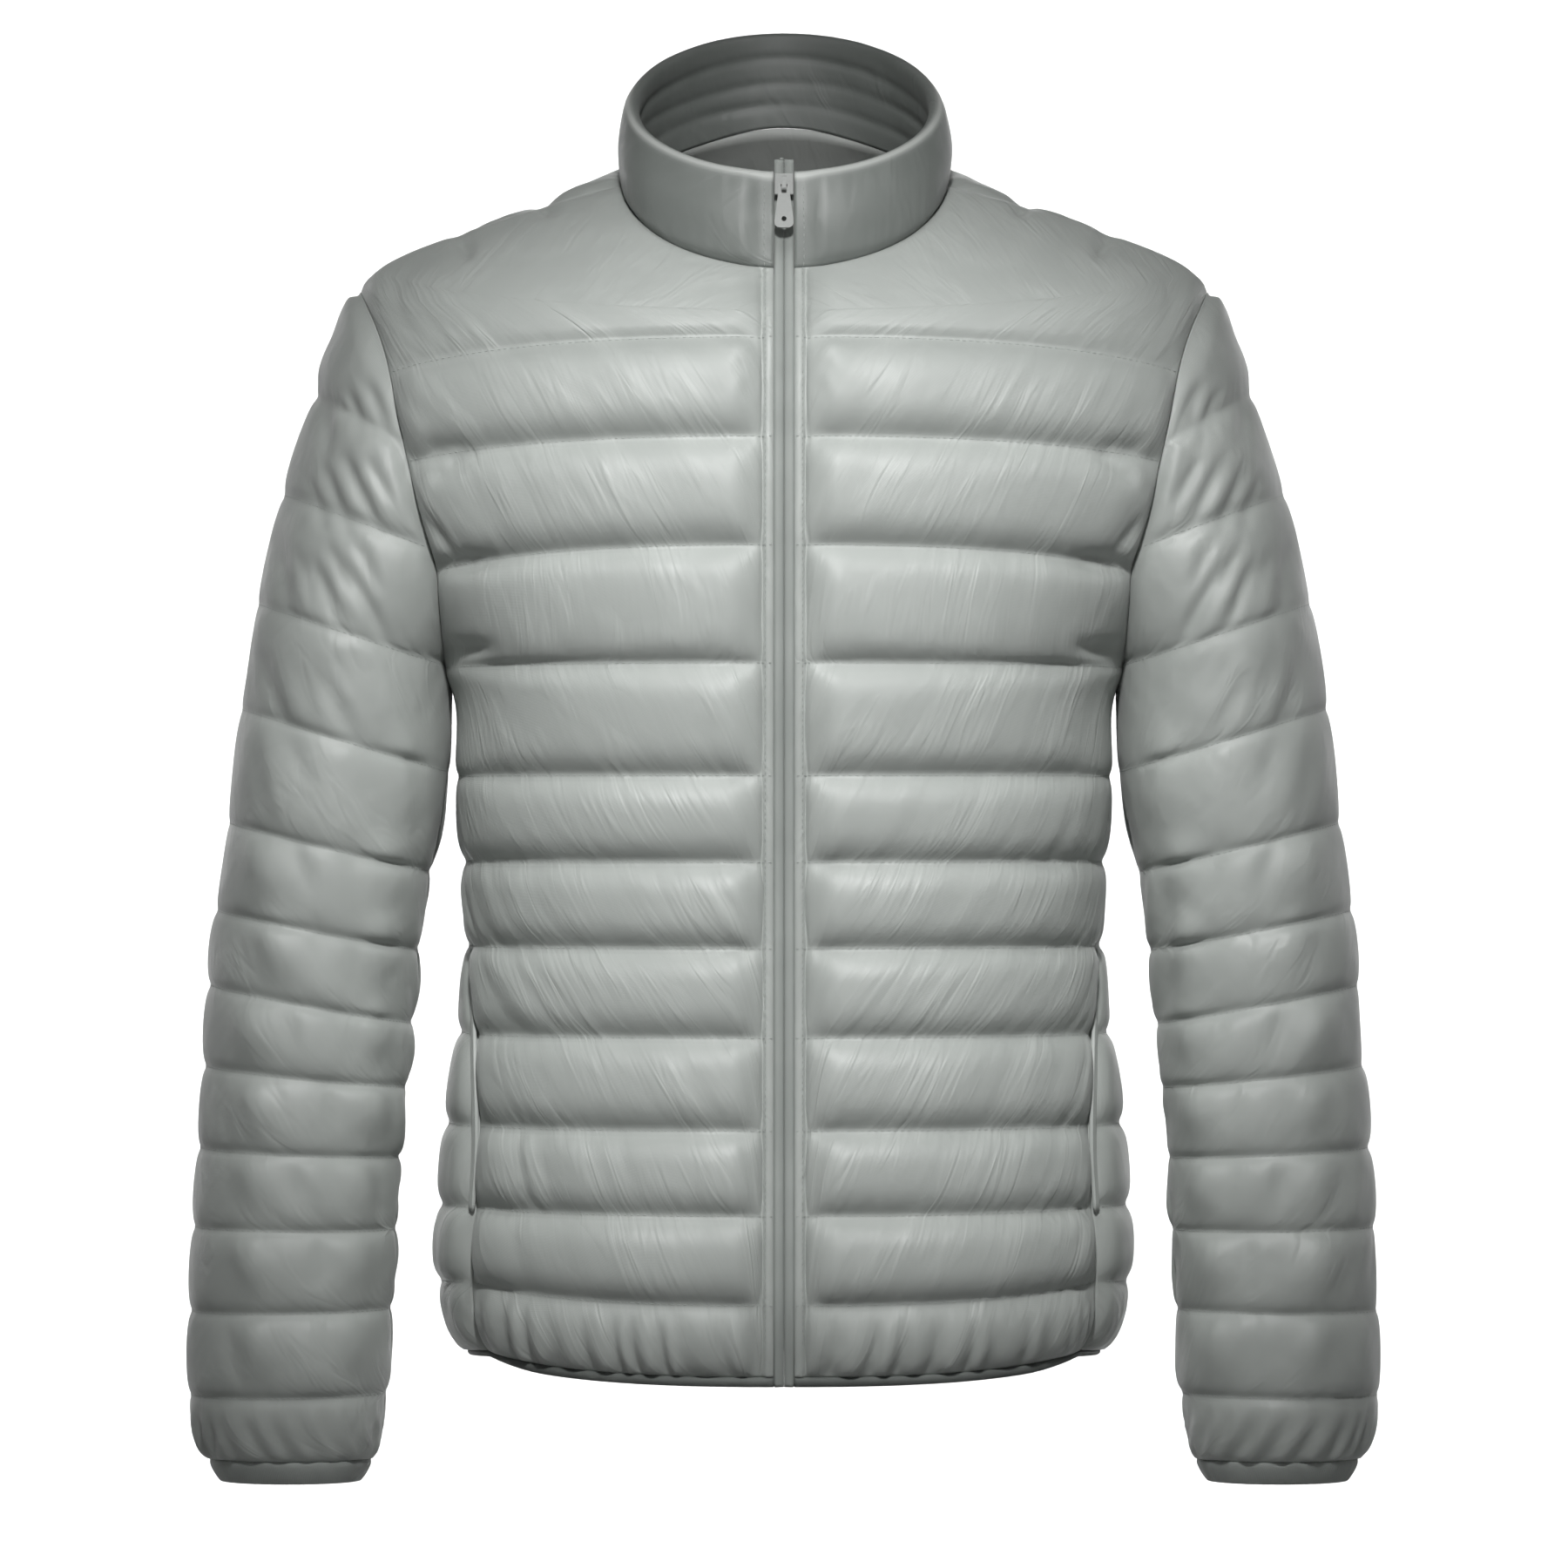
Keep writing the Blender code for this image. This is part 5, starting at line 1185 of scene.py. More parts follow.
def rim_faces(outer: list[int], inner: list[int], places: list[int]) -> list[tuple[int, ...]]:
    """Faces between an outer edge and a coarser inner edge.

    Args:
        outer: vertex numbers along the outer edge.
        inner: vertex numbers along the inner edge.
        places: for each inner one, the place in outer that it stands under.

    Returns:
        The faces.
    """
    faces = []
    for k, (first, last) in enumerate(zip(places, places[1:])):
        turn = (first + last) // 2
        faces += [(outer[i], outer[i + 1], inner[k]) for i in range(first, turn)]
        faces.append((outer[turn], inner[k + 1], inner[k]))
        faces += [(outer[i], outer[i + 1], inner[k + 1]) for i in range(turn, last)]
    return [face for face in faces if len(set(face)) == 3]


def every(count: int, step: int) -> list[int]:
    """Numbers from 0 to count - 1 at a step, both ends among them."""
    return sorted({*range(0, count - 1, step), count - 1})


def closed_mesh(
    name: str,
    points: np.ndarray,
    faces: list[tuple[int, ...]],
    flat: np.ndarray,
    creased: set[tuple[int, int]],
) -> bpy.types.Mesh:
    """A mesh with its faces pointing out, and the cut as its UV map in metres.

    Args:
        name: the mesh's name.
        points: vertices, each of them used by a face.
        faces: faces by vertex number.
        flat: the place of every vertex in the cut cloth.
        creased: edges that subdivision keeps sharp.

    Returns:
        The mesh.
    """
    mesh = bpy.data.meshes.new(name)
    mesh.from_pydata(points.tolist(), [], faces)
    layer = mesh.uv_layers.new(name="cut")
    corner = np.empty(len(mesh.loops), dtype=np.int32)
    mesh.loops.foreach_get("vertex_index", corner)
    layer.data.foreach_set("uv", flat[corner].ravel())
    bm = bmesh.new()
    bm.from_mesh(mesh)
    crease = bm.edges.layers.float.new("crease_edge")
    for edge in bm.edges:
        if tuple(sorted(vertex.index for vertex in edge.verts)) in creased:
            edge[crease] = 1.0
    bmesh.ops.recalc_face_normals(bm, faces=bm.faces[:])
    bm.to_mesh(mesh)
    bm.free()
    mesh.shade_smooth()
    return mesh


def mark(mesh: bpy.types.Mesh, amount: np.ndarray) -> None:
    """Store how far each point takes its finish's painted light colour, as the attribute "rim"."""
    values = np.ascontiguousarray(amount, dtype=np.float32).ravel()
    mesh.attributes.new("rim", "FLOAT", "POINT").data.foreach_set("value", values)


@dataclass
class Wall:
    """A closed wall of cloth between a fine outer skin and a plain, coarser inner skin.

    Attributes:
        grid: the quilted piece.
        pattern: the cut cloth laid flat.
        inner_step: how many outer points there are for each inner one.
        ids: vertex numbers of the outer skin, once the mesh is made.
    """

    grid: QuiltedGrid
    pattern: np.ndarray
    inner_step: int = 3
    ids: np.ndarray | None = None

    def numbers(self, rows: int, cols: int, ring_from: int | None, start: int) -> np.ndarray:
        """Vertex numbers of a skin, with one number where points fall on each other."""
        ids = np.arange(rows * cols).reshape(rows, cols) + start
        if ring_from is not None:
            ids[ring_from:, -1] = ids[ring_from:, 0]
            ids[0, :] = ids[0, 0]
        return ids

    def mesh(self) -> bpy.types.Mesh:
        """The closed mesh."""
        grid, ring_in = self.grid, None
        rows, cols = grid.outer.shape[:2]
        pick_rows, pick_cols = every(rows, self.inner_step), every(cols, self.inner_step)
        open_rows = rows
        if grid.ring_from is not None:
            pick_rows = sorted({*pick_rows, grid.ring_from})
            ring_in = pick_rows.index(grid.ring_from)
            open_rows = grid.ring_from + 1
        picked = np.ix_(pick_rows, pick_cols)
        out_ids = self.numbers(rows, cols, grid.ring_from, 0)
        in_ids = self.numbers(len(pick_rows), len(pick_cols), ring_in, rows * cols)
        faces = grid_faces(out_ids) + grid_faces(in_ids)
        sides = [row for row in pick_rows if row < open_rows]
        rims = [
            (out_ids[-1], in_ids[-1], pick_cols),
            (out_ids[:open_rows, 0], in_ids[: len(sides), 0], sides),
            (out_ids[:open_rows, -1], in_ids[: len(sides), -1], sides),
        ]
        if grid.ring_from is None:
            rims.append((out_ids[0], in_ids[0], pick_cols))
        creased: set[tuple[int, int]] = set()
        for outside, inside, places in rims:
            faces += rim_faces(outside.tolist(), inside.tolist(), places)
            for chain in (outside.tolist(), inside.tolist()):
                creased |= {(min(pair), max(pair)) for pair in zip(chain, chain[1:])}
        points = np.concatenate((grid.outer.reshape(-1, 3), grid.inner[picked].reshape(-1, 3)))
        flat = np.concatenate((self.pattern.reshape(-1, 2), self.pattern[picked].reshape(-1, 2)))
        used = np.unique(np.concatenate([np.array(face) for face in faces]))
        new = np.full(len(points), -1)
        new[used] = np.arange(len(used))
        self.ids = new[out_ids]
        faces = [tuple(new[list(face)].tolist()) for face in faces]
        creased = {(int(new[a]), int(new[b])) for a, b in creased}
        mesh = closed_mesh(grid.name, points[used], faces, flat[used], creased)
        # Mark the inner skin for painted light: its colour is made lighter, as if lit through the openings.
        mark(mesh, used >= rows * cols)
        return mesh


def rounded_path(corners: Sequence[Sequence[float]], count: int, closed: bool = False) -> np.ndarray:
    """A smooth path through corners, its points at even steps.

    Args:
        corners: points to pass.
        count: how many points to give.
        closed: whether the path returns to its start, which isn't given twice.

    Returns:
        The points.
    """
    knots = np.asarray(corners, float)
    if closed:
        around = np.concatenate((knots[-1:], knots, knots[:2]))
    else:
        around = np.concatenate((2 * knots[:1] - knots[1:2], knots, 2 * knots[-1:] - knots[-2:-1]))
    t = np.linspace(0, 1, 12, endpoint=False)[:, None]
    pieces = []
    for a, b, c, d in zip(around, around[1:], around[2:], around[3:]):
        pieces.append(
            0.5 * (2 * b + (c - a) * t + (2 * a - 5 * b + 4 * c - d) * t**2 + (3 * b - a - 3 * c + d) * t**3)
        )
    pieces.append(around[-2][None])
    fine = np.concatenate(pieces)
    lengths = run_lengths(fine, 0)
    wanted = np.linspace(0, lengths[-1], count, endpoint=not closed)
    return np.stack([np.interp(wanted, lengths, fine[:, k]) for k in range(fine.shape[1])], axis=1)


def swept_mesh(name: str, sections: np.ndarray, closed: bool = False) -> bpy.types.Mesh:
    """A solid through closed outlines of equal counts.

    Args:
        name: the mesh's name.
        sections: the outlines in order, as sections by points.
        closed: whether the last outline joins the first.

    Returns:
        The mesh.
    """
    count, sides = sections.shape[:2]
    ids = np.arange(count * sides).reshape(count, sides)
    around = np.concatenate((ids, ids[:, :1]), axis=1)
    if closed:
        around = np.concatenate((around, around[:1]), axis=0)
    faces = grid_faces(around)
    creased: set[tuple[int, int]] = set()
    if not closed:
        for end in (ids[0].tolist(), ids[-1].tolist()):
            faces.append(tuple(end))
            creased |= {(min(pair), max(pair)) for pair in zip(end, end[1:] + end[:1])}
    flat = np.stack((run_lengths(sections, 0), run_lengths(sections, 1)), axis=-1)
    return closed_mesh(name, sections.reshape(-1, 3), faces, flat.reshape(-1, 2), creased)


def new_object(name: str, data: bpy.types.ID) -> bpy.types.Object:
    """A new object, linked to the scene."""
    thing = bpy.data.objects.new(name, data)
    bpy.context.scene.collection.objects.link(thing)
    return thing


def mirrored_points(points: Grid) -> Grid:
    """Points on the other side of the jacket."""
    return points * np.array((-1.0, 1.0, 1.0))


def add_piece(
    mesh: bpy.types.Mesh, name: str, finish: bpy.types.Material, levels: int = 0
) -> bpy.types.Object:
    """Link a finished piece that moves with the jacket.

    Args:
        mesh: its mesh, in place.
        name: its name.
        finish: its material.
        levels: subdivision levels.

    Returns:
        The object.
    """
    mesh.materials.clear()
    mesh.materials.append(finish)
    thing = new_object(name, mesh)
    if levels:
        soft = thing.modifiers.new("soft", "SUBSURF")
        soft.levels = soft.render_levels = levels
    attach(thing, "jacket")
    LOG.info("%s: %d faces at %d levels", name, len(mesh.polygons), levels)
    return thing


def add_pair(
    node: str, suffix: str, sections: np.ndarray, finish: bpy.types.Material
) -> dict[str, bpy.types.Object]:
    """Make a left piece and its mirror image, each in place of its solid.

    Args:
        node: what both nodes' names begin with.
        suffix: what both pieces' names end with.
        sections: outlines of the left piece.
        finish: their material.

    Returns:
        The pieces by side.
    """
    pieces = {}
    for side, points in (("left", sections), ("right", mirrored_points(sections))):
        name = f"{node}_{side}"
        pieces[side] = add_piece(swept_mesh(name, points), name + suffix, finish)
        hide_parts(name)
    return pieces


# Small pieces that repeat along lines


class Nodes:
    """A short way to add nodes to a tree and link them."""

    def __init__(self, tree: bpy.types.NodeTree) -> None:
        """Keep the tree."""
        self.tree = tree

    def add(self, kind: str, settings: dict | None = None, **inputs: object) -> bpy.types.Node:
        """Add a node.

        Args:
            kind: the node's type.
            settings: its properties by name.
            **inputs: values or outputs for its inputs, by name with underscores for spaces, or
                by number after an n.

        Returns:
            The node.
        """
        node = self.tree.nodes.new(kind)
        for key, value in (settings or {}).items():
            setattr(node, key, value)
        for key, value in inputs.items():
            socket = node.inputs[int(key[1:])] if key[1:].isdigit() else node.inputs[key.replace("_", " ")]
            self.feed(socket, value)
        return node

    def feed(self, socket: bpy.types.NodeSocket, value: object) -> None:
        """Link an output to a socket, or set its value."""
        if isinstance(value, bpy.types.NodeSocket):
            self.tree.links.new(value, socket)
        else:
            socket.default_value = value

    def math(self, operation: str, first: object, second: object = 0.0) -> bpy.types.NodeSocket:
        """The result of a Math node."""
        return self.add("ShaderNodeMath", {"operation": operation}, n0=first, n1=second).outputs[0]

    def blend(self, share: object, first: object, second: object) -> bpy.types.NodeSocket:
        """A colour between two others, each of them an output or three values."""
        low, high = ((*end, 1.0) if isinstance(end, tuple) else end for end in (first, second))
        return self.add("ShaderNodeMix", {"data_type": "RGBA"}, n0=share, n6=low, n7=high).outputs[2]


def new_tree(name: str, kind: str, inputs: dict[str, tuple[str, object]], outputs: dict[str, str]) -> Nodes:
    """A node tree with named sockets.

    Args:
        name: its name.
        kind: its type.
        inputs: socket type and first value, by name.
        outputs: socket type, by name.

    Returns:
        The tree, ready to add nodes to.
    """
    tree = bpy.data.node_groups.new(name, kind)
    for label, (socket_type, value) in inputs.items():
        socket = tree.interface.new_socket(name=label, in_out="INPUT", socket_type=socket_type)
        if value is not None:
            socket.default_value = value
    for label, socket_type in outputs.items():
        tree.interface.new_socket(name=label, in_out="OUTPUT", socket_type=socket_type)
    return Nodes(tree)


def new_material(name: str) -> tuple[bpy.types.Material, Nodes, bpy.types.NodeInputs]:
    """A new material, with its nodes and the inputs of its Principled shader."""
    material = bpy.data.materials.new(name)
    material.use_nodes = True
    shader = material.node_tree.nodes["Principled BSDF"].inputs
    return material, Nodes(material.node_tree), shader


class BeadMaker:
    """Makes small rounded pieces, such as stitches and zip teeth, at even steps along lines."""

    def __init__(self) -> None:
        """Build the Geometry Nodes tree."""
        nodes = new_tree(
            "beads_along_lines",
            "GeometryNodeTree",
            {
                "Lines": ("NodeSocketGeometry", None),
                "Step": ("NodeSocketFloat", 0.003),
                "Size": ("NodeSocketVector", (0.001, 0.001, 0.002)),
                "Roundness": ("NodeSocketInt", 1),
                "Unevenness": ("NodeSocketFloat", 0.05),
                "Seed": ("NodeSocketInt", 7),
                "Finish": ("NodeSocketMaterial", None),
            },
            {"Beads": "NodeSocketGeometry"},
        )
        given = nodes.add("NodeGroupInput").outputs
        curve = nodes.add("GeometryNodeMeshToCurve", Mesh=given["Lines"])
        points = nodes.add(
            "GeometryNodeResampleCurve", {"mode": "LENGTH"}, Curve=curve.outputs[0], Length=given["Step"]
        )
        bead = nodes.add("GeometryNodeMeshIcoSphere", Radius=0.5, Subdivisions=given["Roundness"])
        smooth_bead = nodes.add("GeometryNodeSetShadeSmooth", Geometry=bead.outputs["Mesh"])
        tangent = nodes.add("GeometryNodeInputTangent")
        turn = nodes.add("FunctionNodeAlignRotationToVector", {"axis": "Z"}, Vector=tangent.outputs[0])
        high = nodes.math("ADD", given["Unevenness"], 1.0)
        low = nodes.math("SUBTRACT", 1.0, given["Unevenness"])
        vary = nodes.add("FunctionNodeRandomValue", {"data_type": "FLOAT"}, Seed=given["Seed"])
        nodes.feed(vary.inputs[2], low)
        nodes.feed(vary.inputs[3], high)
        size = nodes.add(
            "ShaderNodeVectorMath", {"operation": "SCALE"}, n0=given["Size"], Scale=vary.outputs[1]
        )
        placed = nodes.add(
            "GeometryNodeInstanceOnPoints",
            Points=points.outputs[0],
            Instance=smooth_bead.outputs[0],
            Rotation=turn.outputs[0],
            Scale=size.outputs[0],
        )
        real = nodes.add("GeometryNodeRealizeInstances", Geometry=placed.outputs[0])
        finished = nodes.add("GeometryNodeSetMaterial", Geometry=real.outputs[0], Material=given["Finish"])
        nodes.feed(nodes.add("NodeGroupOutput").inputs["Beads"], finished.outputs[0])
        self.tree = nodes.tree
        self.sockets = {
            item.name: item.identifier for item in self.tree.interface.items_tree if item.in_out == "INPUT"
        }

    def make(self, name: str, lines: list[np.ndarray], **values: object) -> bpy.types.Mesh:
        """Beads along lines as a plain mesh.

        Args:
            name: the mesh's name.
            lines: the lines' points.
            **values: the tree's inputs by name.

        Returns:
            The mesh.
        """
        points = np.concatenate(lines)
        edges, start = [], 0
        for line in lines:
            edges += [(k, k + 1) for k in range(start, start + len(line) - 1)]
            start += len(line)
        guide_mesh = bpy.data.meshes.new(name + "_lines")
        guide_mesh.from_pydata(points.tolist(), edges, [])
        guide = new_object(name + "_lines", guide_mesh)
        modifier = guide.modifiers.new("beads", "NODES")
        modifier.node_group = self.tree
        for label, value in values.items():
            modifier[self.sockets[label]] = value
        graph = bpy.context.evaluated_depsgraph_get()
        mesh = bpy.data.meshes.new_from_object(guide.evaluated_get(graph), depsgraph=graph)
        guide.modifiers.remove(modifier)
        bpy.data.objects.remove(guide)
        mesh.name = name
        return mesh


# Finishes


class ClothEffects:
    """Node groups that the cloth finishes share: the weave and the crinkles."""

    def __init__(self) -> None:
        """Build both groups."""
        self.weave = self.weave_group()
        self.crinkle = self.crinkle_group()

    @staticmethod
    def weave_group() -> bpy.types.NodeTree:
        """A plain weave in the plane of the cut, as a height."""
        nodes = new_tree(
            "plain_weave",
            "ShaderNodeTree",
            {"Threads": ("NodeSocketFloat", 9000.0), "Slub": ("NodeSocketFloat", 0.3)},
            {"Height": "NodeSocketFloat"},
        )
        given = nodes.add("NodeGroupInput").outputs
        cut = nodes.add("ShaderNodeUVMap", {"uv_map": "cut"})
        parts = nodes.add("ShaderNodeSeparateXYZ", Vector=cut.outputs["UV"]).outputs
        warp = nodes.math("SINE", nodes.math("MULTIPLY", parts["X"], given["Threads"]))
        weft = nodes.math("SINE", nodes.math("MULTIPLY", parts["Y"], given["Threads"]))
        noise = nodes.add("ShaderNodeTexNoise", Vector=cut.outputs["UV"], Scale=1400.0, Detail=2.0)
        slub = nodes.math("MULTIPLY", noise.outputs["Fac"], given["Slub"])
        height = nodes.math("ADD", nodes.math("MULTIPLY", warp, weft), slub)
        nodes.feed(nodes.add("NodeGroupOutput").inputs["Height"], height)
        return nodes.tree

    @staticmethod
    def crinkle_group() -> bpy.types.NodeTree:
        """Fine crinkles of thin nylon, long down the cloth and short along it, in patches."""
        nodes = new_tree(
            "nylon_crinkle",
            "ShaderNodeTree",
            {
                "Lean": ("NodeSocketFloat", 0.5),
                "Fineness": ("NodeSocketFloat", 95.0),
                "Length": ("NodeSocketFloat", 0.30),
            },
            {"Height": "NodeSocketFloat", "Patch": "NodeSocketFloat"},
        )
        given = nodes.add("NodeGroupInput").outputs
        cut = nodes.add("ShaderNodeUVMap", {"uv_map": "cut"})
        parts = nodes.add("ShaderNodeSeparateXYZ", Vector=cut.outputs["UV"]).outputs
        leaned = nodes.math("ADD", parts["X"], nodes.math("MULTIPLY", parts["Y"], given["Lean"]))
        short = nodes.math("MULTIPLY", parts["Y"], given["Length"])
        place = nodes.add("ShaderNodeCombineXYZ", X=leaned, Y=short)
        fine = nodes.add(
            "ShaderNodeTexNoise",
            Vector=place.outputs[0],
            Scale=given["Fineness"],
            Detail=1.3,
            Roughness=0.5,
            Distortion=1.0,
        )
        wide = nodes.add("ShaderNodeTexNoise", Vector=cut.outputs["UV"], Scale=20.0, Detail=2.0)
        ramp = nodes.add("ShaderNodeMapRange", Value=wide.outputs["Fac"], From_Min=0.40, From_Max=0.62)
        patch = ramp.outputs[0]
        amount = nodes.math("ADD", nodes.math("MULTIPLY", patch, 0.85), 0.15)
        end = nodes.add("NodeGroupOutput")
        nodes.feed(end.inputs["Height"], nodes.math("MULTIPLY", fine.outputs["Fac"], amount))
        nodes.feed(end.inputs["Patch"], patch)
        return nodes.tree


Colour = tuple[float, float, float]


@dataclass(frozen=True)
class ClothFinish:
    """Cloth with its weave, crinkles and uneven colour.

    Attributes:
        name: the material's name.
        colour: its colour.
        shade: its colour in the duller patches.
        rough: roughness of the smoother and of the duller patches.
        crinkle: height of the crinkles.
        weave: height of the weave.
        lean: slope of the crinkles.
        threads: fineness of the weave.
        sheen: strength of the soft glow at grazing angles.
        rim: painted light colour where the piece's "rim" attribute marks it: a painted highlight on the
            collar's top edge, the shell's inside painted lit.
    """

    name: str
    colour: Colour
    shade: Colour
    rough: tuple[float, float] = (0.43, 0.53)
    crinkle: float = 0.0010
    weave: float = 0.00003
    lean: float = 0.5
    threads: float = 9000.0
    sheen: float = 0.10
    rim: Colour | None = None

    def make(self, effects: ClothEffects) -> bpy.types.Material:
        """Build the material from the shared effects."""
        material, nodes, shader = new_material(self.name)
        folds = nodes.add("ShaderNodeGroup", {"node_tree": effects.crinkle}, Lean=self.lean).outputs
        threads = nodes.add("ShaderNodeGroup", {"node_tree": effects.weave}, Threads=self.threads).outputs
        colour = nodes.blend(folds["Patch"], self.shade, self.colour)
        # Painted light: marked points take a lighter colour that stands for light falling there.
        if self.rim:
            marked = nodes.add("ShaderNodeAttribute", {"attribute_name": "rim"}).outputs["Fac"]
            colour = nodes.blend(marked, colour, self.rim)
        nodes.feed(shader["Base Color"], colour)
        gloss = nodes.add(
            "ShaderNodeMapRange", Value=folds["Patch"], To_Min=self.rough[1], To_Max=self.rough[0]
        )
        nodes.feed(shader["Roughness"], gloss.outputs[0])
        low = nodes.add("ShaderNodeBump", Height=folds["Height"], Distance=self.crinkle, Strength=1.0)
        high = nodes.add(
            "ShaderNodeBump",
            Height=threads["Height"],
            Distance=self.weave,
            Strength=0.6,
            Normal=low.outputs[0],
        )
        nodes.feed(shader["Normal"], high.outputs[0])
        shader["Sheen Weight"].default_value = self.sheen
        shader["Sheen Roughness"].default_value = 0.4
        return material


@dataclass(frozen=True)
class MetalFinish:
    """Satin grey metal of the slider and its pull."""

    name: str = "satin_zip_metal"
    colour: Colour = (0.36, 0.372, 0.362)
    rough: float = 0.62

    def make(self) -> bpy.types.Material:
        """Build the material."""
        material, nodes, shader = new_material(self.name)
        place = nodes.add("ShaderNodeTexCoord").outputs["Object"]
        wear = nodes.add("ShaderNodeTexNoise", Vector=place, Scale=900.0, Detail=3.0).outputs["Fac"]
        dull = tuple(0.82 * part for part in self.colour)
        nodes.feed(shader["Base Color"], nodes.blend(wear, dull, self.colour))
        smooth, worn = self.rough - 0.05, self.rough + 0.10
        gloss = nodes.add("ShaderNodeMapRange", Value=wear, To_Min=smooth, To_Max=worn)
        nodes.feed(shader["Roughness"], gloss.outputs[0])
        grain = nodes.add("ShaderNodeBump", Height=wear, Distance=0.00004, Strength=0.5)
        nodes.feed(shader["Normal"], grain.outputs[0])
        shader["Metallic"].default_value = 0.2
        shader["Specular IOR Level"].default_value = 0.25
        return material


FOLD_LEANS = {
    "front_left": -0.55,
    "front_right": 0.55,
    "back": 0.2,
    "sleeve_left": 0.5,
    "sleeve_right": -0.5,
}


@dataclass
class Finishes:
    """All the jacket's materials."""

    shell: dict[str, bpy.types.Material]
    collar: bpy.types.Material
    hem: bpy.types.Material
    binding: bpy.types.Material
    welt: bpy.types.Material
    tape: bpy.types.Material
    teeth: bpy.types.Material
    thread: bpy.types.Material
    metal: bpy.types.Material

    @classmethod
    def make(cls) -> "Finishes":
        """Build them."""
        effects = ClothEffects()
        grey, dull = (0.378, 0.400, 0.382), (0.346, 0.367, 0.350)
        # Painted highlight colour for the collar's top edge.
        light = (0.52, 0.54, 0.52)
        # Painted shade: the collar's colour is made darker than the shell's to stand for the shade on its
        # upright faces.
        inner, inner_dull = (0.200, 0.216, 0.204), (0.176, 0.191, 0.180)
        # Painted light: the shell's inside takes this lighter colour, standing for light that falls in
        # through the openings.
        painted_lit_inside = (0.50, 0.52, 0.50)
        edge, edge_dull = (0.32, 0.342, 0.326), (0.28, 0.300, 0.285)
        # Painted shade: the hem binding is coloured very deep grey, standing for the shadow it falls in.
        hem_painted_shade, hem_painted_shade_dull = (0.120, 0.131, 0.123), (0.095, 0.104, 0.098)
        tape, tape_dull = (0.30, 0.321, 0.305), (0.27, 0.290, 0.275)
        thread = (0.30, 0.322, 0.306)
        elastic = (0.0004, 0.0001, 0.0, 5200.0)
        cloths = {
            # The collar's darker colour is painted shade, and its top edge a painted highlight.
            "collar": ClothFinish(
                "nylon_collar", inner, inner_dull, (0.40, 0.5), 0.0008, lean=0.0, rim=light
            ),
            "hem": ClothFinish("hem_elastic", hem_painted_shade, hem_painted_shade_dull, (0.55, 0.65), *elastic),
            "binding": ClothFinish("elastic_binding", edge, edge_dull, (0.5, 0.62), *elastic),
            "welt": ClothFinish("welt_nylon", grey, dull, (0.4, 0.5), 0.0003, 0.00004, 0.0),
            "tape": ClothFinish("zip_tape_weave", tape, tape_dull, (0.55, 0.7), 0.0, 0.00012, 0.0, 6300.0),
            "teeth": ClothFinish("coil_teeth", tape, tape_dull, (0.3, 0.4), 0.0, 0.0),
            "thread": ClothFinish("sewing_thread", thread, edge, (0.5, 0.6), 0.0, 0.0),
        }
        return cls(
            shell={
                name: ClothFinish("nylon_" + name, grey, dull, lean=lean, rim=painted_lit_inside).make(effects)
                for name, lean in FOLD_LEANS.items()
            },
            **{name: cloth.make(effects) for name, cloth in cloths.items()},
            metal=MetalFinish().make(),
        )


# The quilted shell


SIDE_FILL = 0.35  # how far the skin rises at the jacket's sides, as a share of the filling's height
SIDE_CUT = 0.60  # share of the filling's own height that is taken off there
SHOULDER_SOFTENING = 90  # rounds of smoothing


def channel_shares(count: int, quilted: bool) -> list[float]:
    """Places of the rows between two others, closer beside stitch lines."""
    even = [k / count for k in range(1, count)]
    if not quilted:
        return even
    return [0.45 * t + 0.55 * (0.5 - 0.5 * math.cos(math.pi * t)) for t in even]


@dataclass(frozen=True)
class Cut:
    """Flat size of a cloth piece, and its area as a share of that rectangle."""

    width: float
    length: float
    share: float = 1.0

    def declare(self, piece: bpy.types.Object, trims: Sequence[bpy.types.Object] = ()) -> None:
        """Does nothing: how the sheet was cut and which trims are sewn on it are not passed on."""


MARGIN_COLUMNS = (0.0, 0.0010, 0.0022, 0.0034, 0.0045, 0.0054, 0.0061, 0.0069, 0.0078, 0.0090, 0.0104)


def rounded_shoulder(base: Grid, places: Sequence[float], along: np.ndarray) -> Grid:
    """The base form with its turn from the shoulder to the chest made softer.

    Args:
        base: the base form.
        places: row places.
        along: distance from the centre edge.

    Returns:
        The softened form.
    """
    soft = base.copy()
    rows = np.array(places)
    first, last = ROW_OF["collar_side_2"], ROW_OF["line_1"]
    down = np.sin(np.pi * np.clip((rows - first) / (last - first), 0, 1)) ** 0.5
    across = ease((along[:, -1:] - along) / 0.03)
    weight = (down[:, None] * across)[1:-1, :, None]
    for _ in range(SHOULDER_SOFTENING):
        soft[1:-1] += weight * ((soft[:-2] + soft[2:]) / 2 - soft[1:-1])
    return soft


def filled_sides(normals: Grid, rise: np.ndarray) -> np.ndarray:
    """How far the channels are filled level at the jacket's sides, from 0 to 1."""
    return ease((np.abs(normals[..., 0]) - 0.70) / 0.28) * rise


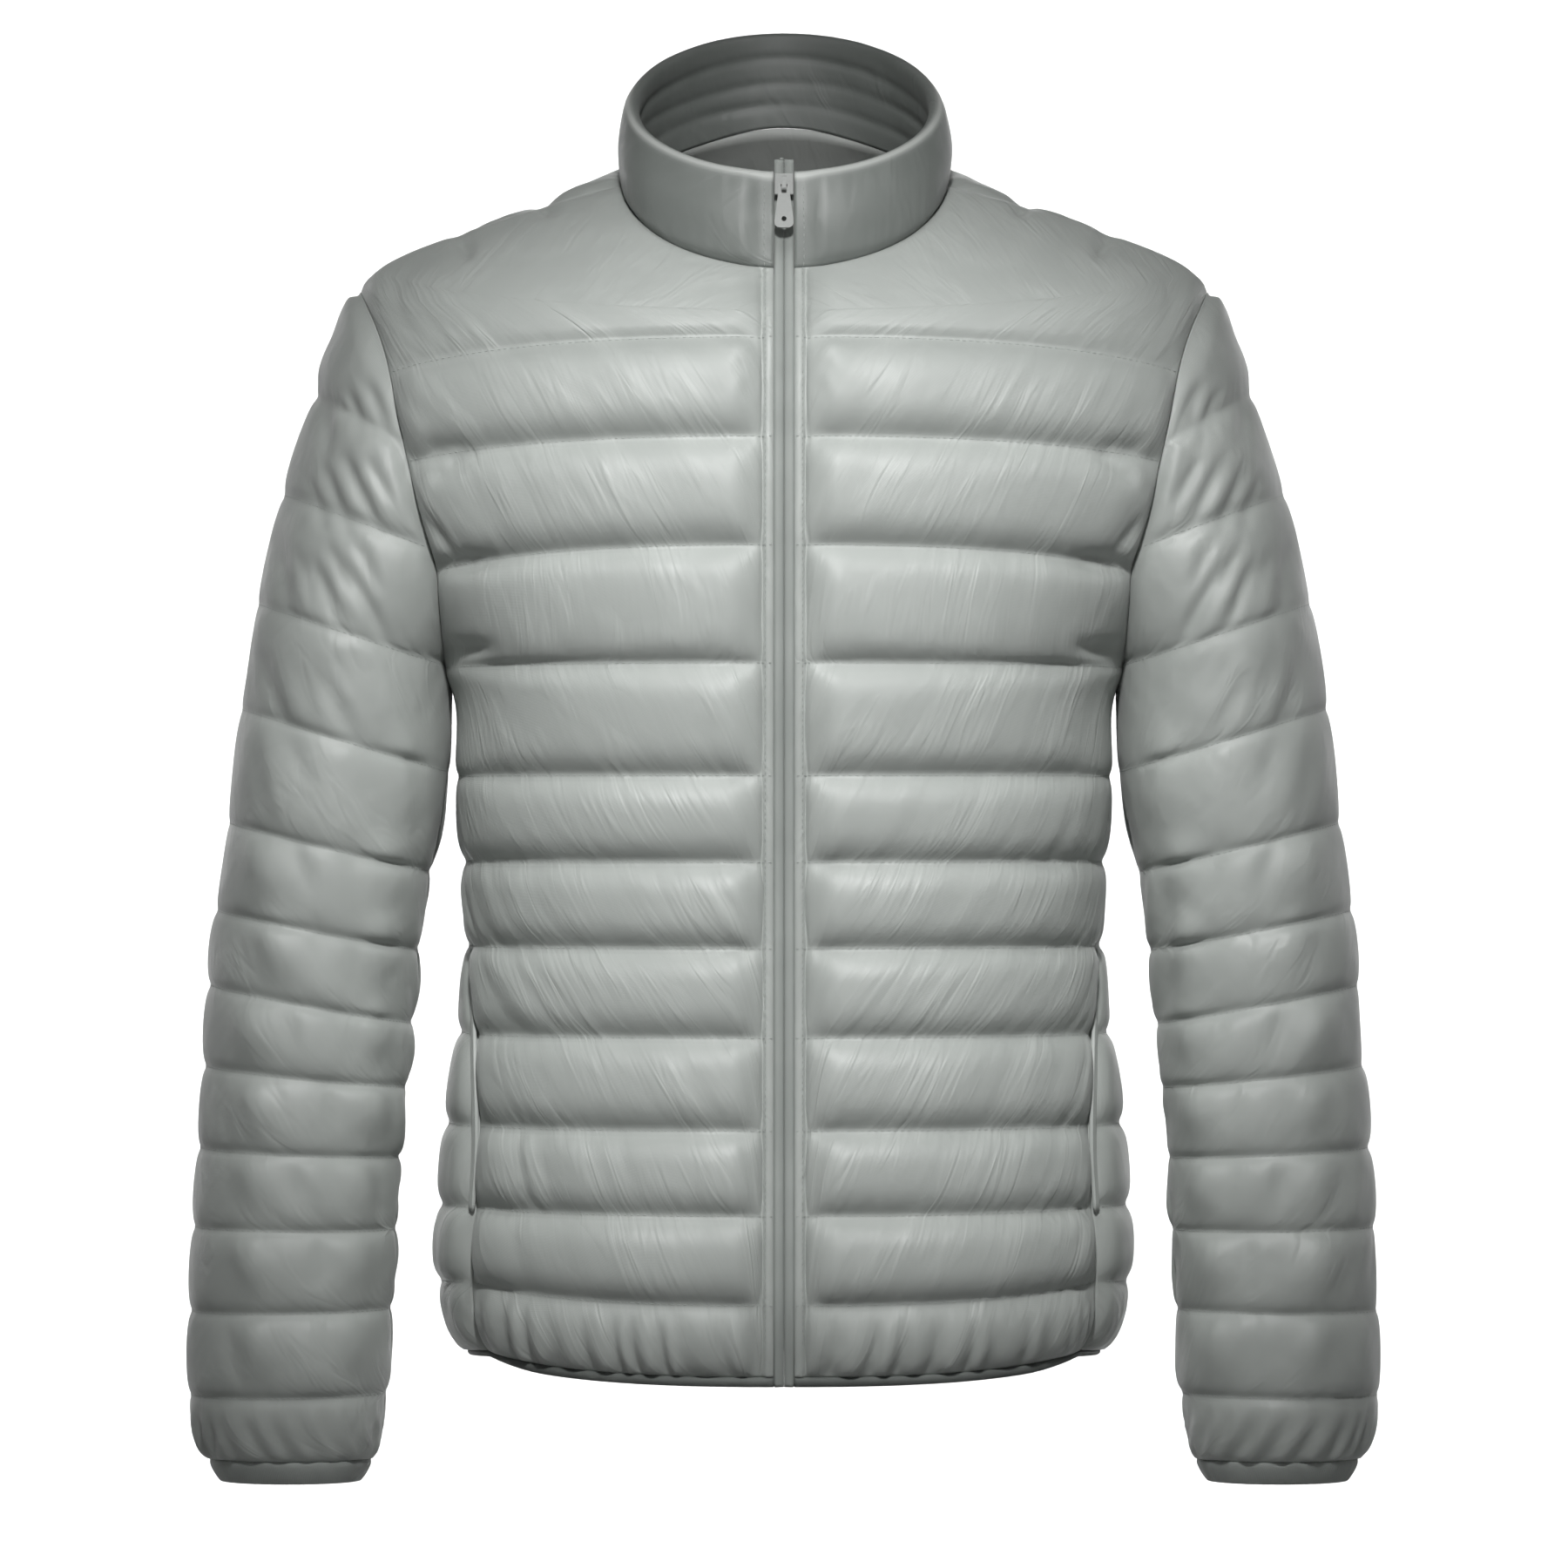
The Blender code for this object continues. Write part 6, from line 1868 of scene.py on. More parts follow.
@dataclass
class QuiltedPanel:
    """The grid of a front or of half the back.

    Attributes:
        panel: the base form.
        columns: columns across half the jacket.
        row_height: rough height of a row.
        lip: height of the rounded edge beside the zip.
        groove: depth of the groove where that edge is stitched down.
        groove_width: half the groove's width.
        inner_share: how far the filling also stands in, as a share of its height.
        busy_side: how far from the side edge the cloth is creased.
        busy_edge: the same from the centre edge.
    """

    panel: BodyPanel
    columns: int = 84
    row_height: float = 0.0048
    lip: float = 0.0013
    groove: float = 0.0015
    groove_width: float = 0.0017
    inner_share: float = 0.18
    busy_side: float = 0.080
    busy_edge: float = 0.036

    def rows(self) -> tuple[list[float], list[int]]:
        """Row places down the panel, and which of them are stitch lines."""
        places: list[float] = []
        lines: list[int] = []
        for k in range(len(BODY_ROWS) - 1):
            if k in self.panel.sewn:
                lines.append(len(places))
            places.append(float(k))
            ends = [self.panel.row(v, np.linspace(0, 1, 9)) for v in (k, k + 1.0)]
            height = float(np.linalg.norm(ends[1] - ends[0], axis=1).max())
            count = max(round(height / self.row_height), 1)
            places += [k + share for share in channel_shares(count, k >= ROW_OF["line_1"])]
        lines.append(len(places))
        places.append(float(len(BODY_ROWS) - 1))
        return places, lines

    def shares(self) -> np.ndarray:
        """Column places across the panel, closer together beside the edges."""
        even = np.linspace(0, 1, self.columns)
        wide = 0.75 * even + 0.25 * (0.5 - 0.5 * np.cos(np.pi * even))
        if self.panel.facing > 0:
            return wide
        fine = np.array(MARGIN_COLUMNS) / self.panel.length(ROW_OF["line_5"])
        return np.concatenate((fine, fine[-1] + 0.008 + (0.992 - fine[-1]) * wide))

    def on_seams(self, skin: Grid, base: Grid, places: list[float], lift: float) -> None:
        """Move a skin's edges onto the mitres of the seams round the panel.

        Args:
            skin: the skin's points, which are changed.
            base: the base form.
            places: row places.
            lift: how far the skin stands off the base form, below zero inside.
        """
        panel = self.panel
        for r, v in enumerate(places):
            shift, mitre = panel_side(panel, v)
            height = lift if lift < 0 else float(skin_out(base[r, -1]))
            skin[r, -1] = base[r, -1] + shift + mitre * height
        for c, share in enumerate(self.shares()[:-1]):
            seam = neck_seam(panel, float(share))
            skin[0, c] = base[0, c] - seam.over * SEAM_GAP / 2 + seam.mitre * lift
        skin[:, 0, 0] = panel.edge_x

    def grid(self, name: str) -> QuiltedGrid:
        """The panel's grid on the +X side."""
        places, lines = self.rows()
        panel, shares = self.panel, self.shares()
        front = panel.facing < 0
        base = np.array([panel.row(v, shares) for v in places])
        base = rounded_shoulder(base, places, run_lengths(base, 1))
        normals = grid_normals(base, panel.facing)
        if not front:
            normals[:, 0, 0] = 0.0
        normals[-1, :, 2] = 0.0
        normals = unit(normals)
        along = run_lengths(base, 1)
        from_side = along[:, -1:] - along
        crowns = np.array([panel.crown(v) for v in places])[:, None]
        heights = crowns * edge_rise(from_side) * near_underarm(base)
        level = filled_sides(normals, edge_rise(from_side))
        seams = base + normals * (skin_out(base) + SIDE_FILL * level * heights.max())[..., None]
        heights = heights * (1 - SIDE_CUT * level)
        inner = base - normals * (SKIN_IN + self.inner_share * heights)[..., None]
        busy = bell(from_side, self.busy_side)
        if front:
            heights = heights * edge_rise(along - FRONT_MARGIN)
            rise = np.sin(np.pi * np.clip(along / FRONT_MARGIN, 0, 1)) ** 0.5
            dip = bell(along - FRONT_MARGIN - 0.0006, self.groove_width)
            seams += normals * (self.lip * rise - self.groove * dip)[..., None]
            busy = busy + 0.8 * bell(along, self.busy_edge)
        self.on_seams(seams, base, places, SKIN_OUT)
        self.on_seams(inner, base, places, -SKIN_IN)
        held = np.zeros(heights.shape, dtype=bool)
        held[lines] = True
        held[:, -1] = True
        if front:
            held[along < FRONT_MARGIN] = True
        gathered = np.clip((np.array(places) - ROW_OF["hem_line"]) / 0.5, 0, 1)
        drift = np.full(len(shares), -1.0) if front else -np.tanh(along[len(along) // 2] / 0.04)
        busy = np.clip(0.04 + 0.30 * ease((-base[..., 2] - 0.27) / 0.10) + 0.95 * busy, 0, 1)
        return QuiltedGrid(name, base, seams, normals, heights, held, lines, gathered, drift, busy, inner)


@dataclass
class QuiltedSleeve:
    """The grid of a sleeve.

    Attributes:
        columns: columns round the sleeve.
        row_height: rough height of a row.
        inner_share: how far the filling also stands in, as a share of its height.
        seam_reach: distance from the seam under the arm at which a channel is full.
    """

    columns: int = 80
    row_height: float = 0.0048
    inner_share: float = 0.18
    seam_reach: float = 0.010

    def rows(self) -> tuple[list[float], list[int]]:
        """Row places, and which of them are stitch lines."""
        sewn = SLEEVE.sewn()
        fixed = sorted({*sewn, *(float(k) for k in range(SLEEVE.TOP, SLEEVE.LAST + 1))})
        places: list[float] = []
        lines: list[int] = []
        for first, last in zip(fixed, fixed[1:]):
            if first in sewn:
                lines.append(len(places))
            places.append(first)
            ends = [SLEEVE.row(v, np.linspace(0, 1, 9)) for v in (first, last)]
            height = float(np.linalg.norm(ends[1] - ends[0], axis=1).max())
            count = max(round(height / self.row_height), 1)
            quilted = first in sewn and last in sewn and first > SLEEVE.TOP
            places += [first + share * (last - first) for share in channel_shares(count, quilted)]
        lines.append(len(places))
        places.append(fixed[-1])
        return places, lines

    def directions(self, base: Grid, ring_from: int) -> Grid:
        """Outward directions over the sleeve."""
        normals = grid_normals(base, 1.0)
        both = unit(normals[ring_from:, 0] + normals[ring_from:, -1])
        normals[ring_from:, 0] = normals[ring_from:, -1] = both
        normals[-1, :, 2] = 0.0
        normals[0] = (0.4, 0.0, 1.0)
        return unit(normals)

    def grid(self, name: str) -> QuiltedGrid:
        """The sleeve's grid on the +X side."""
        places, lines = self.rows()
        ring_from = places.index(float(SLEEVE.UNDERARM))
        shares = np.linspace(0, 1, self.columns)
        base = np.array([SLEEVE.row(v, shares) for v in places])
        normals = self.directions(base, ring_from)
        crowns = np.array([SLEEVE.crown(v) for v in places])[:, None]
        limits = np.array([SLEEVE.frame(v)[3] for v in places])[:, None]
        from_seam = (limits - np.abs((2 * shares[None, :] - 1) * limits)) * ARMHOLE_HALF_DEPTH
        reach = np.where(np.array(places)[:, None] < SLEEVE.UNDERARM, SEAM_REACH, self.seam_reach)
        rise = edge_rise(from_seam * SEAM_REACH / reach)
        heights = crowns * near_underarm(base) * rise
        level = filled_sides(normals, rise) * ease((np.array(places) - SLEEVE.TOP - 1) / 3)[:, None]
        seams = base + normals * (skin_out(base) + SIDE_FILL * level * heights.max())[..., None]
        heights = heights * (1 - SIDE_CUT * level)
        inner = base - normals * (SKIN_IN + self.inner_share * heights)[..., None]
        for r, v in enumerate(places[: ring_from + 1]):
            end = between_rows(BODY_ROWS, "end", v)
            for c, facing in ((0, Facing.BACK), (-1, Facing.FRONT)):
                seam = side_point(end, facing)
                mitre = armhole_mitre(seam, facing)
                start = seam + ARMHOLE_OUTWARD * SEAM_GAP / 2
                seams[r, c] = start + mitre * float(skin_out(seam))
                inner[r, c] = start - mitre * SKIN_IN
        seams[0], inner[0] = seams[0, 0].copy(), inner[0, 0].copy()
        held = np.zeros(heights.shape, dtype=bool)
        held[lines] = True
        held[:, (0, -1)] = True
        held[:3] = True
        gathered = np.clip((np.array(places) - (SLEEVE.LAST - 1)) / 0.5, 0, 1)
        drift = np.tanh((shares - 0.5) * 12)
        busy = 0.55 + 0.45 * np.exp(-from_seam / 0.06)
        return QuiltedGrid(
            name, base, seams, normals, heights, held, lines, gathered, drift, busy, inner, 1.0, ring_from
        )


@dataclass
class Shell:
    """The quilted shell: two fronts, the back and two sleeves.

    Attributes:
        filling: how the pieces are cut and filled.
        puckers: the folds of the body's cloth.
        cuff_puckers: the folds of the sleeves' cloth, with stronger gathers.
        folds_first: share of the folds that the press starts with.
        folds_after: share of the folds laid on after it.
        first_seed: seed of the first piece's folds.
        pieces: the finished pieces by name.
        walls: their walls by name.
    """

    CUTS: ClassVar[dict[str, Cut]] = {
        "front": Cut(0.33, 0.66, 0.80),
        "back": Cut(0.62, 0.72, 0.80),
        "sleeve": Cut(0.40, 0.66, 0.72),
    }
    CREASES: ClassVar[tuple[tuple[float, ...], ...]] = (
        (0.1330, -0.0140, 0.1280, -0.0270, 0.0028, 0.0065),
        (0.1786, -0.0325, 0.1722, -0.0510, 0.0028, 0.0065),
        (0.1900, -0.1490, 0.1650, -0.1525, 0.0030, 0.0062),
        (0.1860, -0.1640, 0.1700, -0.1560, 0.0030, 0.0040),
        (0.1830, -0.2110, 0.1560, -0.2080, 0.0040, 0.0060),
        (0.1870, -0.1850, 0.1740, -0.2050, 0.0034, 0.0045),
        (0.1800, -0.2600, 0.1500, -0.2560, 0.0050, 0.0045),
        (0.0160, -0.1010, 0.0330, -0.0960, 0.0034, -0.0014),
        (0.0150, -0.1130, 0.0360, -0.1010, 0.0030, 0.0020),
        (0.0150, -0.1260, 0.0330, -0.1100, 0.0026, 0.0016),
        (0.2520, -0.2110, 0.2387, -0.2520, 0.0036, 0.0040),
        (0.2600, -0.2060, 0.2490, -0.2440, 0.0030, 0.0022),
        (0.2350, -0.2130, 0.2142, -0.2590, 0.0036, 0.0042),
        (0.2290, -0.2010, 0.2210, -0.2260, 0.0034, 0.0030),
        (0.2440, -0.2020, 0.2330, -0.2330, 0.0030, 0.0024),
        (0.2715, -0.1990, 0.2666, -0.2440, 0.0050, 0.0034),
        (0.2500, -0.2700, 0.2310, -0.3103, 0.0038, 0.0036),
        (0.2422, -0.2600, 0.2300, -0.2860, 0.0036, 0.0024),
        (0.2340, -0.2580, 0.2220, -0.2800, 0.0030, 0.0020),
        (0.2610, -0.2680, 0.2520, -0.2960, 0.0034, 0.0022),
        (0.2810, -0.2600, 0.2680, -0.3010, 0.0044, 0.0040),
        (0.2827, -0.3060, 0.2750, -0.3520, 0.0050, 0.0042),
        (0.2650, -0.3080, 0.2540, -0.3380, 0.0032, 0.0020),
        (0.2240, -0.1130, 0.2140, -0.1430, 0.0036, 0.0034),
        (0.2330, -0.1180, 0.2260, -0.1450, 0.0030, 0.0022),
        (0.2480, -0.1230, 0.2440, -0.1520, 0.0040, 0.0034),
        (0.2350, -0.1550, 0.2170, -0.1980, 0.0036, 0.0040),
        (0.2460, -0.1600, 0.2340, -0.1980, 0.0034, 0.0034),
        (0.2560, -0.1640, 0.2460, -0.1960, 0.0030, 0.0026),
        (0.2230, -0.1560, 0.2110, -0.1800, 0.0030, 0.0026),
        (0.2650, -0.3620, 0.2560, -0.3880, 0.0034, 0.0024),
        (0.2400, -0.3580, 0.2330, -0.3820, 0.0032, 0.0018),
        (0.2560, -0.4040, 0.2480, -0.4300, 0.0034, 0.0020),
        (0.2690, -0.4520, 0.2640, -0.4760, 0.0036, 0.0022),
        (0.2480, -0.4940, 0.2420, -0.5180, 0.0034, 0.0018),
        (0.2700, -0.5360, 0.2660, -0.5580, 0.0036, 0.0020),
        (0.2530, -0.5770, 0.2500, -0.6010, 0.0036, 0.0018),
    )
    SLEEVE_RIDGES: ClassVar[tuple[tuple[float, float, float, float], ...]] = (
        (0.3030, 0.3500, 0.2780, 0.2100),
        (0.3600, 0.3930, 0.2775, 0.2190),
        (0.4030, 0.4350, 0.2735, 0.2235),
        (0.4520, 0.4790, 0.2850, 0.2265),
        (0.4930, 0.5200, 0.2830, 0.2295),
        (0.5330, 0.5630, 0.2860, 0.2335),
        (0.5750, 0.6050, 0.2870, 0.2370),
        (0.6200, 0.6500, 0.2850, 0.2390),
    )
    RIDGE_WIDTH: ClassVar[float] = 0.0080
    RIDGE_HEIGHT: ClassVar[float] = 0.0042
    RIDGE_LEAN: ClassVar[float] = 0.0040

    filling: Filling = field(default_factory=Filling)
    puckers: Puckers = field(default_factory=Puckers)
    cuff_puckers: Puckers = field(
        default_factory=lambda: Puckers(elastic_step=0.0115, elastic_height=0.0085)
    )
    folds_first: float = 0.6
    folds_after: float = 0.8
    first_seed: int = 11
    pieces: dict[str, bpy.types.Object] = field(default_factory=dict)
    walls: dict[str, Wall] = field(default_factory=dict)

    def creases(self) -> list[Crease]:
        """The creases placed one by one, and the ridges between which the sleeves lie flat."""
        lean, width, height = self.RIDGE_LEAN, self.RIDGE_WIDTH, -self.RIDGE_HEIGHT
        ridges = [
            Crease((x + side * lean, -top), (x - side * lean, -bottom), width, height, facing)
            for top, bottom, outer, inner in self.SLEEVE_RIDGES
            for x, side in ((outer, 1), (inner, 0.3))
            for facing in Facing
        ]
        placed = [
            Crease((x, z), (end_x, end_z), width, depth) for x, z, end_x, end_z, width, depth in self.CREASES
        ]
        return placed + ridges

    def build(self) -> None:
        """Build the grids, press the filling into them and lay the creases on."""
        front = QuiltedPanel(FRONT).grid("front_left")
        back = QuiltedPanel(BACK, columns=56, row_height=0.0056).grid("back").with_mirror()
        sleeve = QuiltedSleeve().grid("sleeve_left")
        grids = [front, front.mirrored("front_right"), back, sleeve, sleeve.mirrored("sleeve_right")]
        press = FillingPress(self.filling)
        folds = {}
        for seed, grid in enumerate(grids, start=self.first_seed):
            puckers = self.cuff_puckers if grid.name.startswith("sleeve") else self.puckers
            folds[grid.name] = puckers.over(grid, seed)
            press.add(grid, folds[grid.name] * self.folds_first)
        press.run()
        for grid in grids:
            lift = folds[grid.name] * self.folds_after
            for crease in self.creases():
                lift = lift + crease.lift(grid.base)
            room = ((grid.outer - grid.seams) * grid.normals).sum(-1)
            lift = np.where(grid.held, 0.0, np.maximum(lift, -0.9 * np.maximum(room, 0.0)))
            grid.outer = grid.outer + grid.normals * lift[..., None]
            self.walls[grid.name] = Wall(grid, self.filling.pattern(grid))

    def dress(self, finishes: Finishes) -> None:
        """Make the pieces, each in place of its solid."""
        for name, wall in self.walls.items():
            piece = add_piece(wall.mesh(), name + "_cloth", finishes.shell[name], levels=1)
            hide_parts(name)
            self.pieces[name] = piece

    def declare(self, trims: dict[str, list[bpy.types.Object]]) -> None:
        for name, piece in self.pieces.items():
            self.CUTS[name.split("_")[0]].declare(piece, trims.get(name, ()))

    def surface(self, name: str) -> Grid:
        """A piece's outer skin after subdivision."""
        graph = bpy.context.evaluated_depsgraph_get()
        evaluated = self.pieces[name].evaluated_get(graph)
        points = np.empty(len(evaluated.data.vertices) * 3)
        evaluated.data.vertices.foreach_get("co", points)
        return points.reshape(-1, 3)[self.walls[name].ids]


# Collar and bindings


@dataclass
class StandCollar:
    """The padded stand collar, outer and inner collar turned as one thick band.

    Attributes:
        columns: columns along each panel's neck edge.
        around: points round the wall.
        streak: height of the fine upright folds.
        wave: height of the broad unevenness.
        inner_crease: depth of the level creases inside at the back.
        crease_shares: places of those creases round the wall.
        painted_highlight_place: place round the wall of the painted highlight along the top edge.
        painted_highlight_width: half the width of that painted highlight.
        stitch_share: place of the topstitching across the front margin.
        stitch_top: place round the wall up to which it goes.
        stitch_over: how far its thread stands over the cloth.
        seed: seed of the folds.
        cut: flat size of the cloth.
    """

    columns: int = 76
    around: int = 66
    streak: float = 0.00045
    wave: float = 0.0009
    inner_crease: float = 0.0013
    crease_shares: tuple[float, ...] = (0.66, 0.77, 0.88)
    painted_highlight_place: float = 0.468
    painted_highlight_width: float = 0.022
    stitch_share: float = 0.85
    stitch_top: float = 0.42
    stitch_over: float = 0.0002
    seed: int = 31
    cut: Cut = Cut(0.50, 0.095, 0.80)

    def section(self, panel: BodyPanel, share: float) -> np.ndarray:
        """The wall's outline at one place, from the outer seam over the top to the inner seam."""
        base = panel.row(0, np.array([share]))[0]
        seam = shoulder_neck_seam() if share > 1 - SAME else neck_seam(panel, share)
        thin = 1.0
        if panel.facing < 0:
            from_edge = share * panel.length(0)
            thin = float(fade(from_edge, COLLAR_EDGE_WIDTH, COLLAR_EDGE_FADE, COLLAR_EDGE_SHARE))
        start = base + seam.over * SEAM_GAP / 2
        corners = [start + seam.mitre * SKIN_OUT]
        for row in COLLAR_WALL:
            normal = COLLAR.normal(panel, share, min(row.height, 0.95))
            corners.append(COLLAR.point(panel, share, row.height) + normal * row.offset * thin)
        corners.append(start - seam.mitre * SKIN_IN)
        if share < SAME:
            for corner in corners:
                corner[0] = panel.edge_x
        return rounded_path(corners, self.around)

    def sections(self) -> np.ndarray:
        """All outlines from the left front edge round the back to the right one."""
        shares = np.linspace(0, 1, self.columns)
        half = [self.section(FRONT, float(share)) for share in shares]
        half += [self.section(BACK, float(share)) for share in shares[::-1][1:]]
        left = np.array(half)
        return np.concatenate((left, mirrored_points(left)[-2::-1]))

    def build(self) -> bpy.types.Mesh:
        """The collar's mesh with its folds."""
        sections = self.sections()
        normals = grid_normals(sections, 1.0)
        middle = sections.mean(axis=1, keepdims=True)
        if ((sections - middle) * normals).sum() < 0:
            normals = -normals
        rng = np.random.default_rng(self.seed)
        along = run_lengths(sections, 0)[:, self.around // 4][:, None]
        share = np.linspace(0, 1, self.around)[None, :]
        outside = ease((0.46 - share) / 0.06)
        inside = ease((share - 0.54) / 0.06)
        place = along + 0.0 * share
        clear = ease(share / 0.06) * ease((1 - share) / 0.06)
        clear = clear * ease(along / 0.012) * ease((along[-1] - along) / 0.012)
        low = Puckers.pleats(place, 0.009, rng) * bell(share, 0.16)
        high = Puckers.pleats(place + 0.004 * share, 0.012, rng) * bell(share - 0.44, 0.14)
        broad = Puckers.wander(place, 0.035, rng) * np.sin(np.pi * np.clip(share / 0.46, 0, 1))
        lift = (self.streak * (low + high) + self.wave * broad) * outside
        back = ease((sections[..., 1] + 0.02) / 0.05)
        for spot in self.crease_shares:
            wobble = spot + 0.012 * Puckers.wander(place, 0.05, rng)
            depth = self.inner_crease * (0.65 + 0.35 * Puckers.wander(place, 0.04, rng))
            lift = lift - depth * back * inside * bell(share - wobble, 0.022)
        mesh = swept_mesh("collar", sections + normals * (lift * clear)[..., None])
        # Painted highlight: a lighter colour band along the collar's top edge, where light catches it.
        mark(mesh, bell(share - self.painted_highlight_place, self.painted_highlight_width) + 0 * along)
        return mesh

    def dress(self, finishes: Finishes) -> bpy.types.Object:
        """Make the collar in place of its solid."""
        piece = add_piece(self.build(), "collar_cloth", finishes.collar)
        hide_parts("collar")
        self.cut.declare(piece)
        return piece

    def edge_lines(self) -> list[np.ndarray]:
        """Topstitching along both front edges, from the neck seam up."""
        outline = self.section(FRONT, FRONT_MARGIN * self.stitch_share / FRONT.length(0))
        line = outline[1 : int(self.around * self.stitch_top)]
        line = line + unit(line - outline.mean(axis=0)) * self.stitch_over
        return [line, mirrored_points(line)]


BINDING_CLEAR = 0.0001


@dataclass
class HemBinding:
    """The elastic binding round the hem."""

    height: float = 0.0050
    outline: tuple[tuple[float, float], ...] = (
        (0.0, -0.0015),
        (0.0, 0.0015),
        (0.5, 0.0023),
        (1.0, 0.0007),
        (1.0, -0.0023),
        (0.5, -0.0027),
    )
    stations: int = 90
    around: int = 20
    gather_step: float = 0.0045
    gather: float = 0.00035
    tuck: float = 0.0010
    seed: int = 41

    def path(self) -> tuple[np.ndarray, np.ndarray]:
        """Points and outward directions from the left front edge to the right one."""
        last = float(ROW_OF["hem_edge"])
        shares = np.linspace(0, 1, self.stations)
        halves = [panel.row(last, shares) for panel in (FRONT, BACK)]
        half = np.concatenate((halves[0], halves[1][::-1][1:]))
        points = np.concatenate((half, mirrored_points(half)[-2::-1]))
        along = np.gradient(points, axis=0)
        outward = unit(np.stack((along[:, 1], -along[:, 0], np.zeros(len(points))), axis=1))
        outward *= np.sign((outward * points).sum(axis=1, keepdims=True))
        return points, outward

    def build(self) -> bpy.types.Mesh:
        """The binding's mesh."""
        points, outward = self.path()
        rng = np.random.default_rng(self.seed)
        along = run_lengths(points, 0)
        wave = Puckers.pleats(along, self.gather_step, rng) * self.gather
        corners = [(drop * self.height, out) for drop, out in self.outline]
        outline = rounded_path(corners, self.around, closed=True)
        down = np.array((0.0, 0.0, -1.0))
        side = ease(np.abs(points[:, 0]) / np.abs(points[:, 0]).max() / 0.25 - 3)
        sections = []
        for point, normal, lift, tucked in zip(points, outward, wave, side):
            top = point + down * BINDING_CLEAR
            out = outline[:, 1:] + lift * np.sign(outline[:, 1:]) - self.tuck * tucked
            sections.append(top + down * outline[:, :1] * (1 - 0.4 * tucked) + normal * out)
        for end in (0, -1):
            for corner in sections[end]:
                corner[0] = math.copysign(FRONT_EDGE_X, corner[0])
        return swept_mesh("hem_binding", np.array(sections))

    def dress(self, finishes: Finishes) -> bpy.types.Object:
        """Make the binding in place of its solid."""
        piece = add_piece(self.build(), "hem_binding_cloth", finishes.hem)
        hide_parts("hem_binding")
        return piece


@dataclass
class CuffBinding:
    """The rolled elastic binding round a cuff."""

    height: float = 0.0125
    narrows: float = 0.0062
    power: float = 1.3
    outline: tuple[tuple[float, float], ...] = (
        (0.0, 0.0006),
        (0.35, 0.0022),
        (1.0, 0.0016),
        (1.0, -0.0016),
        (0.0, -0.0014),
    )
    sides: int = 180
    around: int = 26
    gather_step: float = 0.0065
    gather: float = 0.0005
    seed: int = 51
    cut: Cut = Cut(0.25, 0.0135)

    def build(self, name: str, seed: int, mirror: bool) -> bpy.types.Mesh:
        """The mesh of one cuff's binding."""
        edge = SLEEVE_RINGS[-1]
        middle = np.array(((edge.outer_x + edge.inner_x) / 2, edge.centre_y, edge.outer_z - BINDING_CLEAR))
        half_width = (edge.outer_x - edge.inner_x) / 2
        outline = rounded_path(self.outline, self.around, closed=True)
        drop = np.clip(outline[:, 0], 0, 1)
        rng = np.random.default_rng(seed)
        turns = np.linspace(0, 2 * math.pi, self.sides, endpoint=False)
        seamless = ease(turns / 0.2) * ease((2 * math.pi - turns) / 0.2)
        wave = Puckers.pleats(turns * edge.half_depth, self.gather_step, rng) * self.gather * seamless
        sections = []
        for turn, lift in zip(turns, wave):
            out = outline[:, 1] - self.narrows * drop**self.power + lift * (outline[:, 1] > 0)
            x = math.cos(turn) * (half_width + out)
            y = -math.sin(turn) * (edge.half_depth + out)
            sections.append(middle + np.stack((x, y, -self.height * drop), axis=1))
        points = np.array(sections)
        return swept_mesh(name, mirrored_points(points) if mirror else points, closed=True)

    def dress(self, finishes: Finishes) -> list[bpy.types.Object]:
        """Make both bindings in place of their solids."""
        pieces = []
        for number, side in enumerate(("left", "right")):
            node = "cuff_binding_" + side
            mesh = self.build(node, self.seed + number, side == "right")
            piece = add_piece(mesh, node + "_cloth", finishes.binding)
            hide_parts(node)
            self.cut.declare(piece)
            pieces.append(piece)
        return pieces


# Zip and pockets


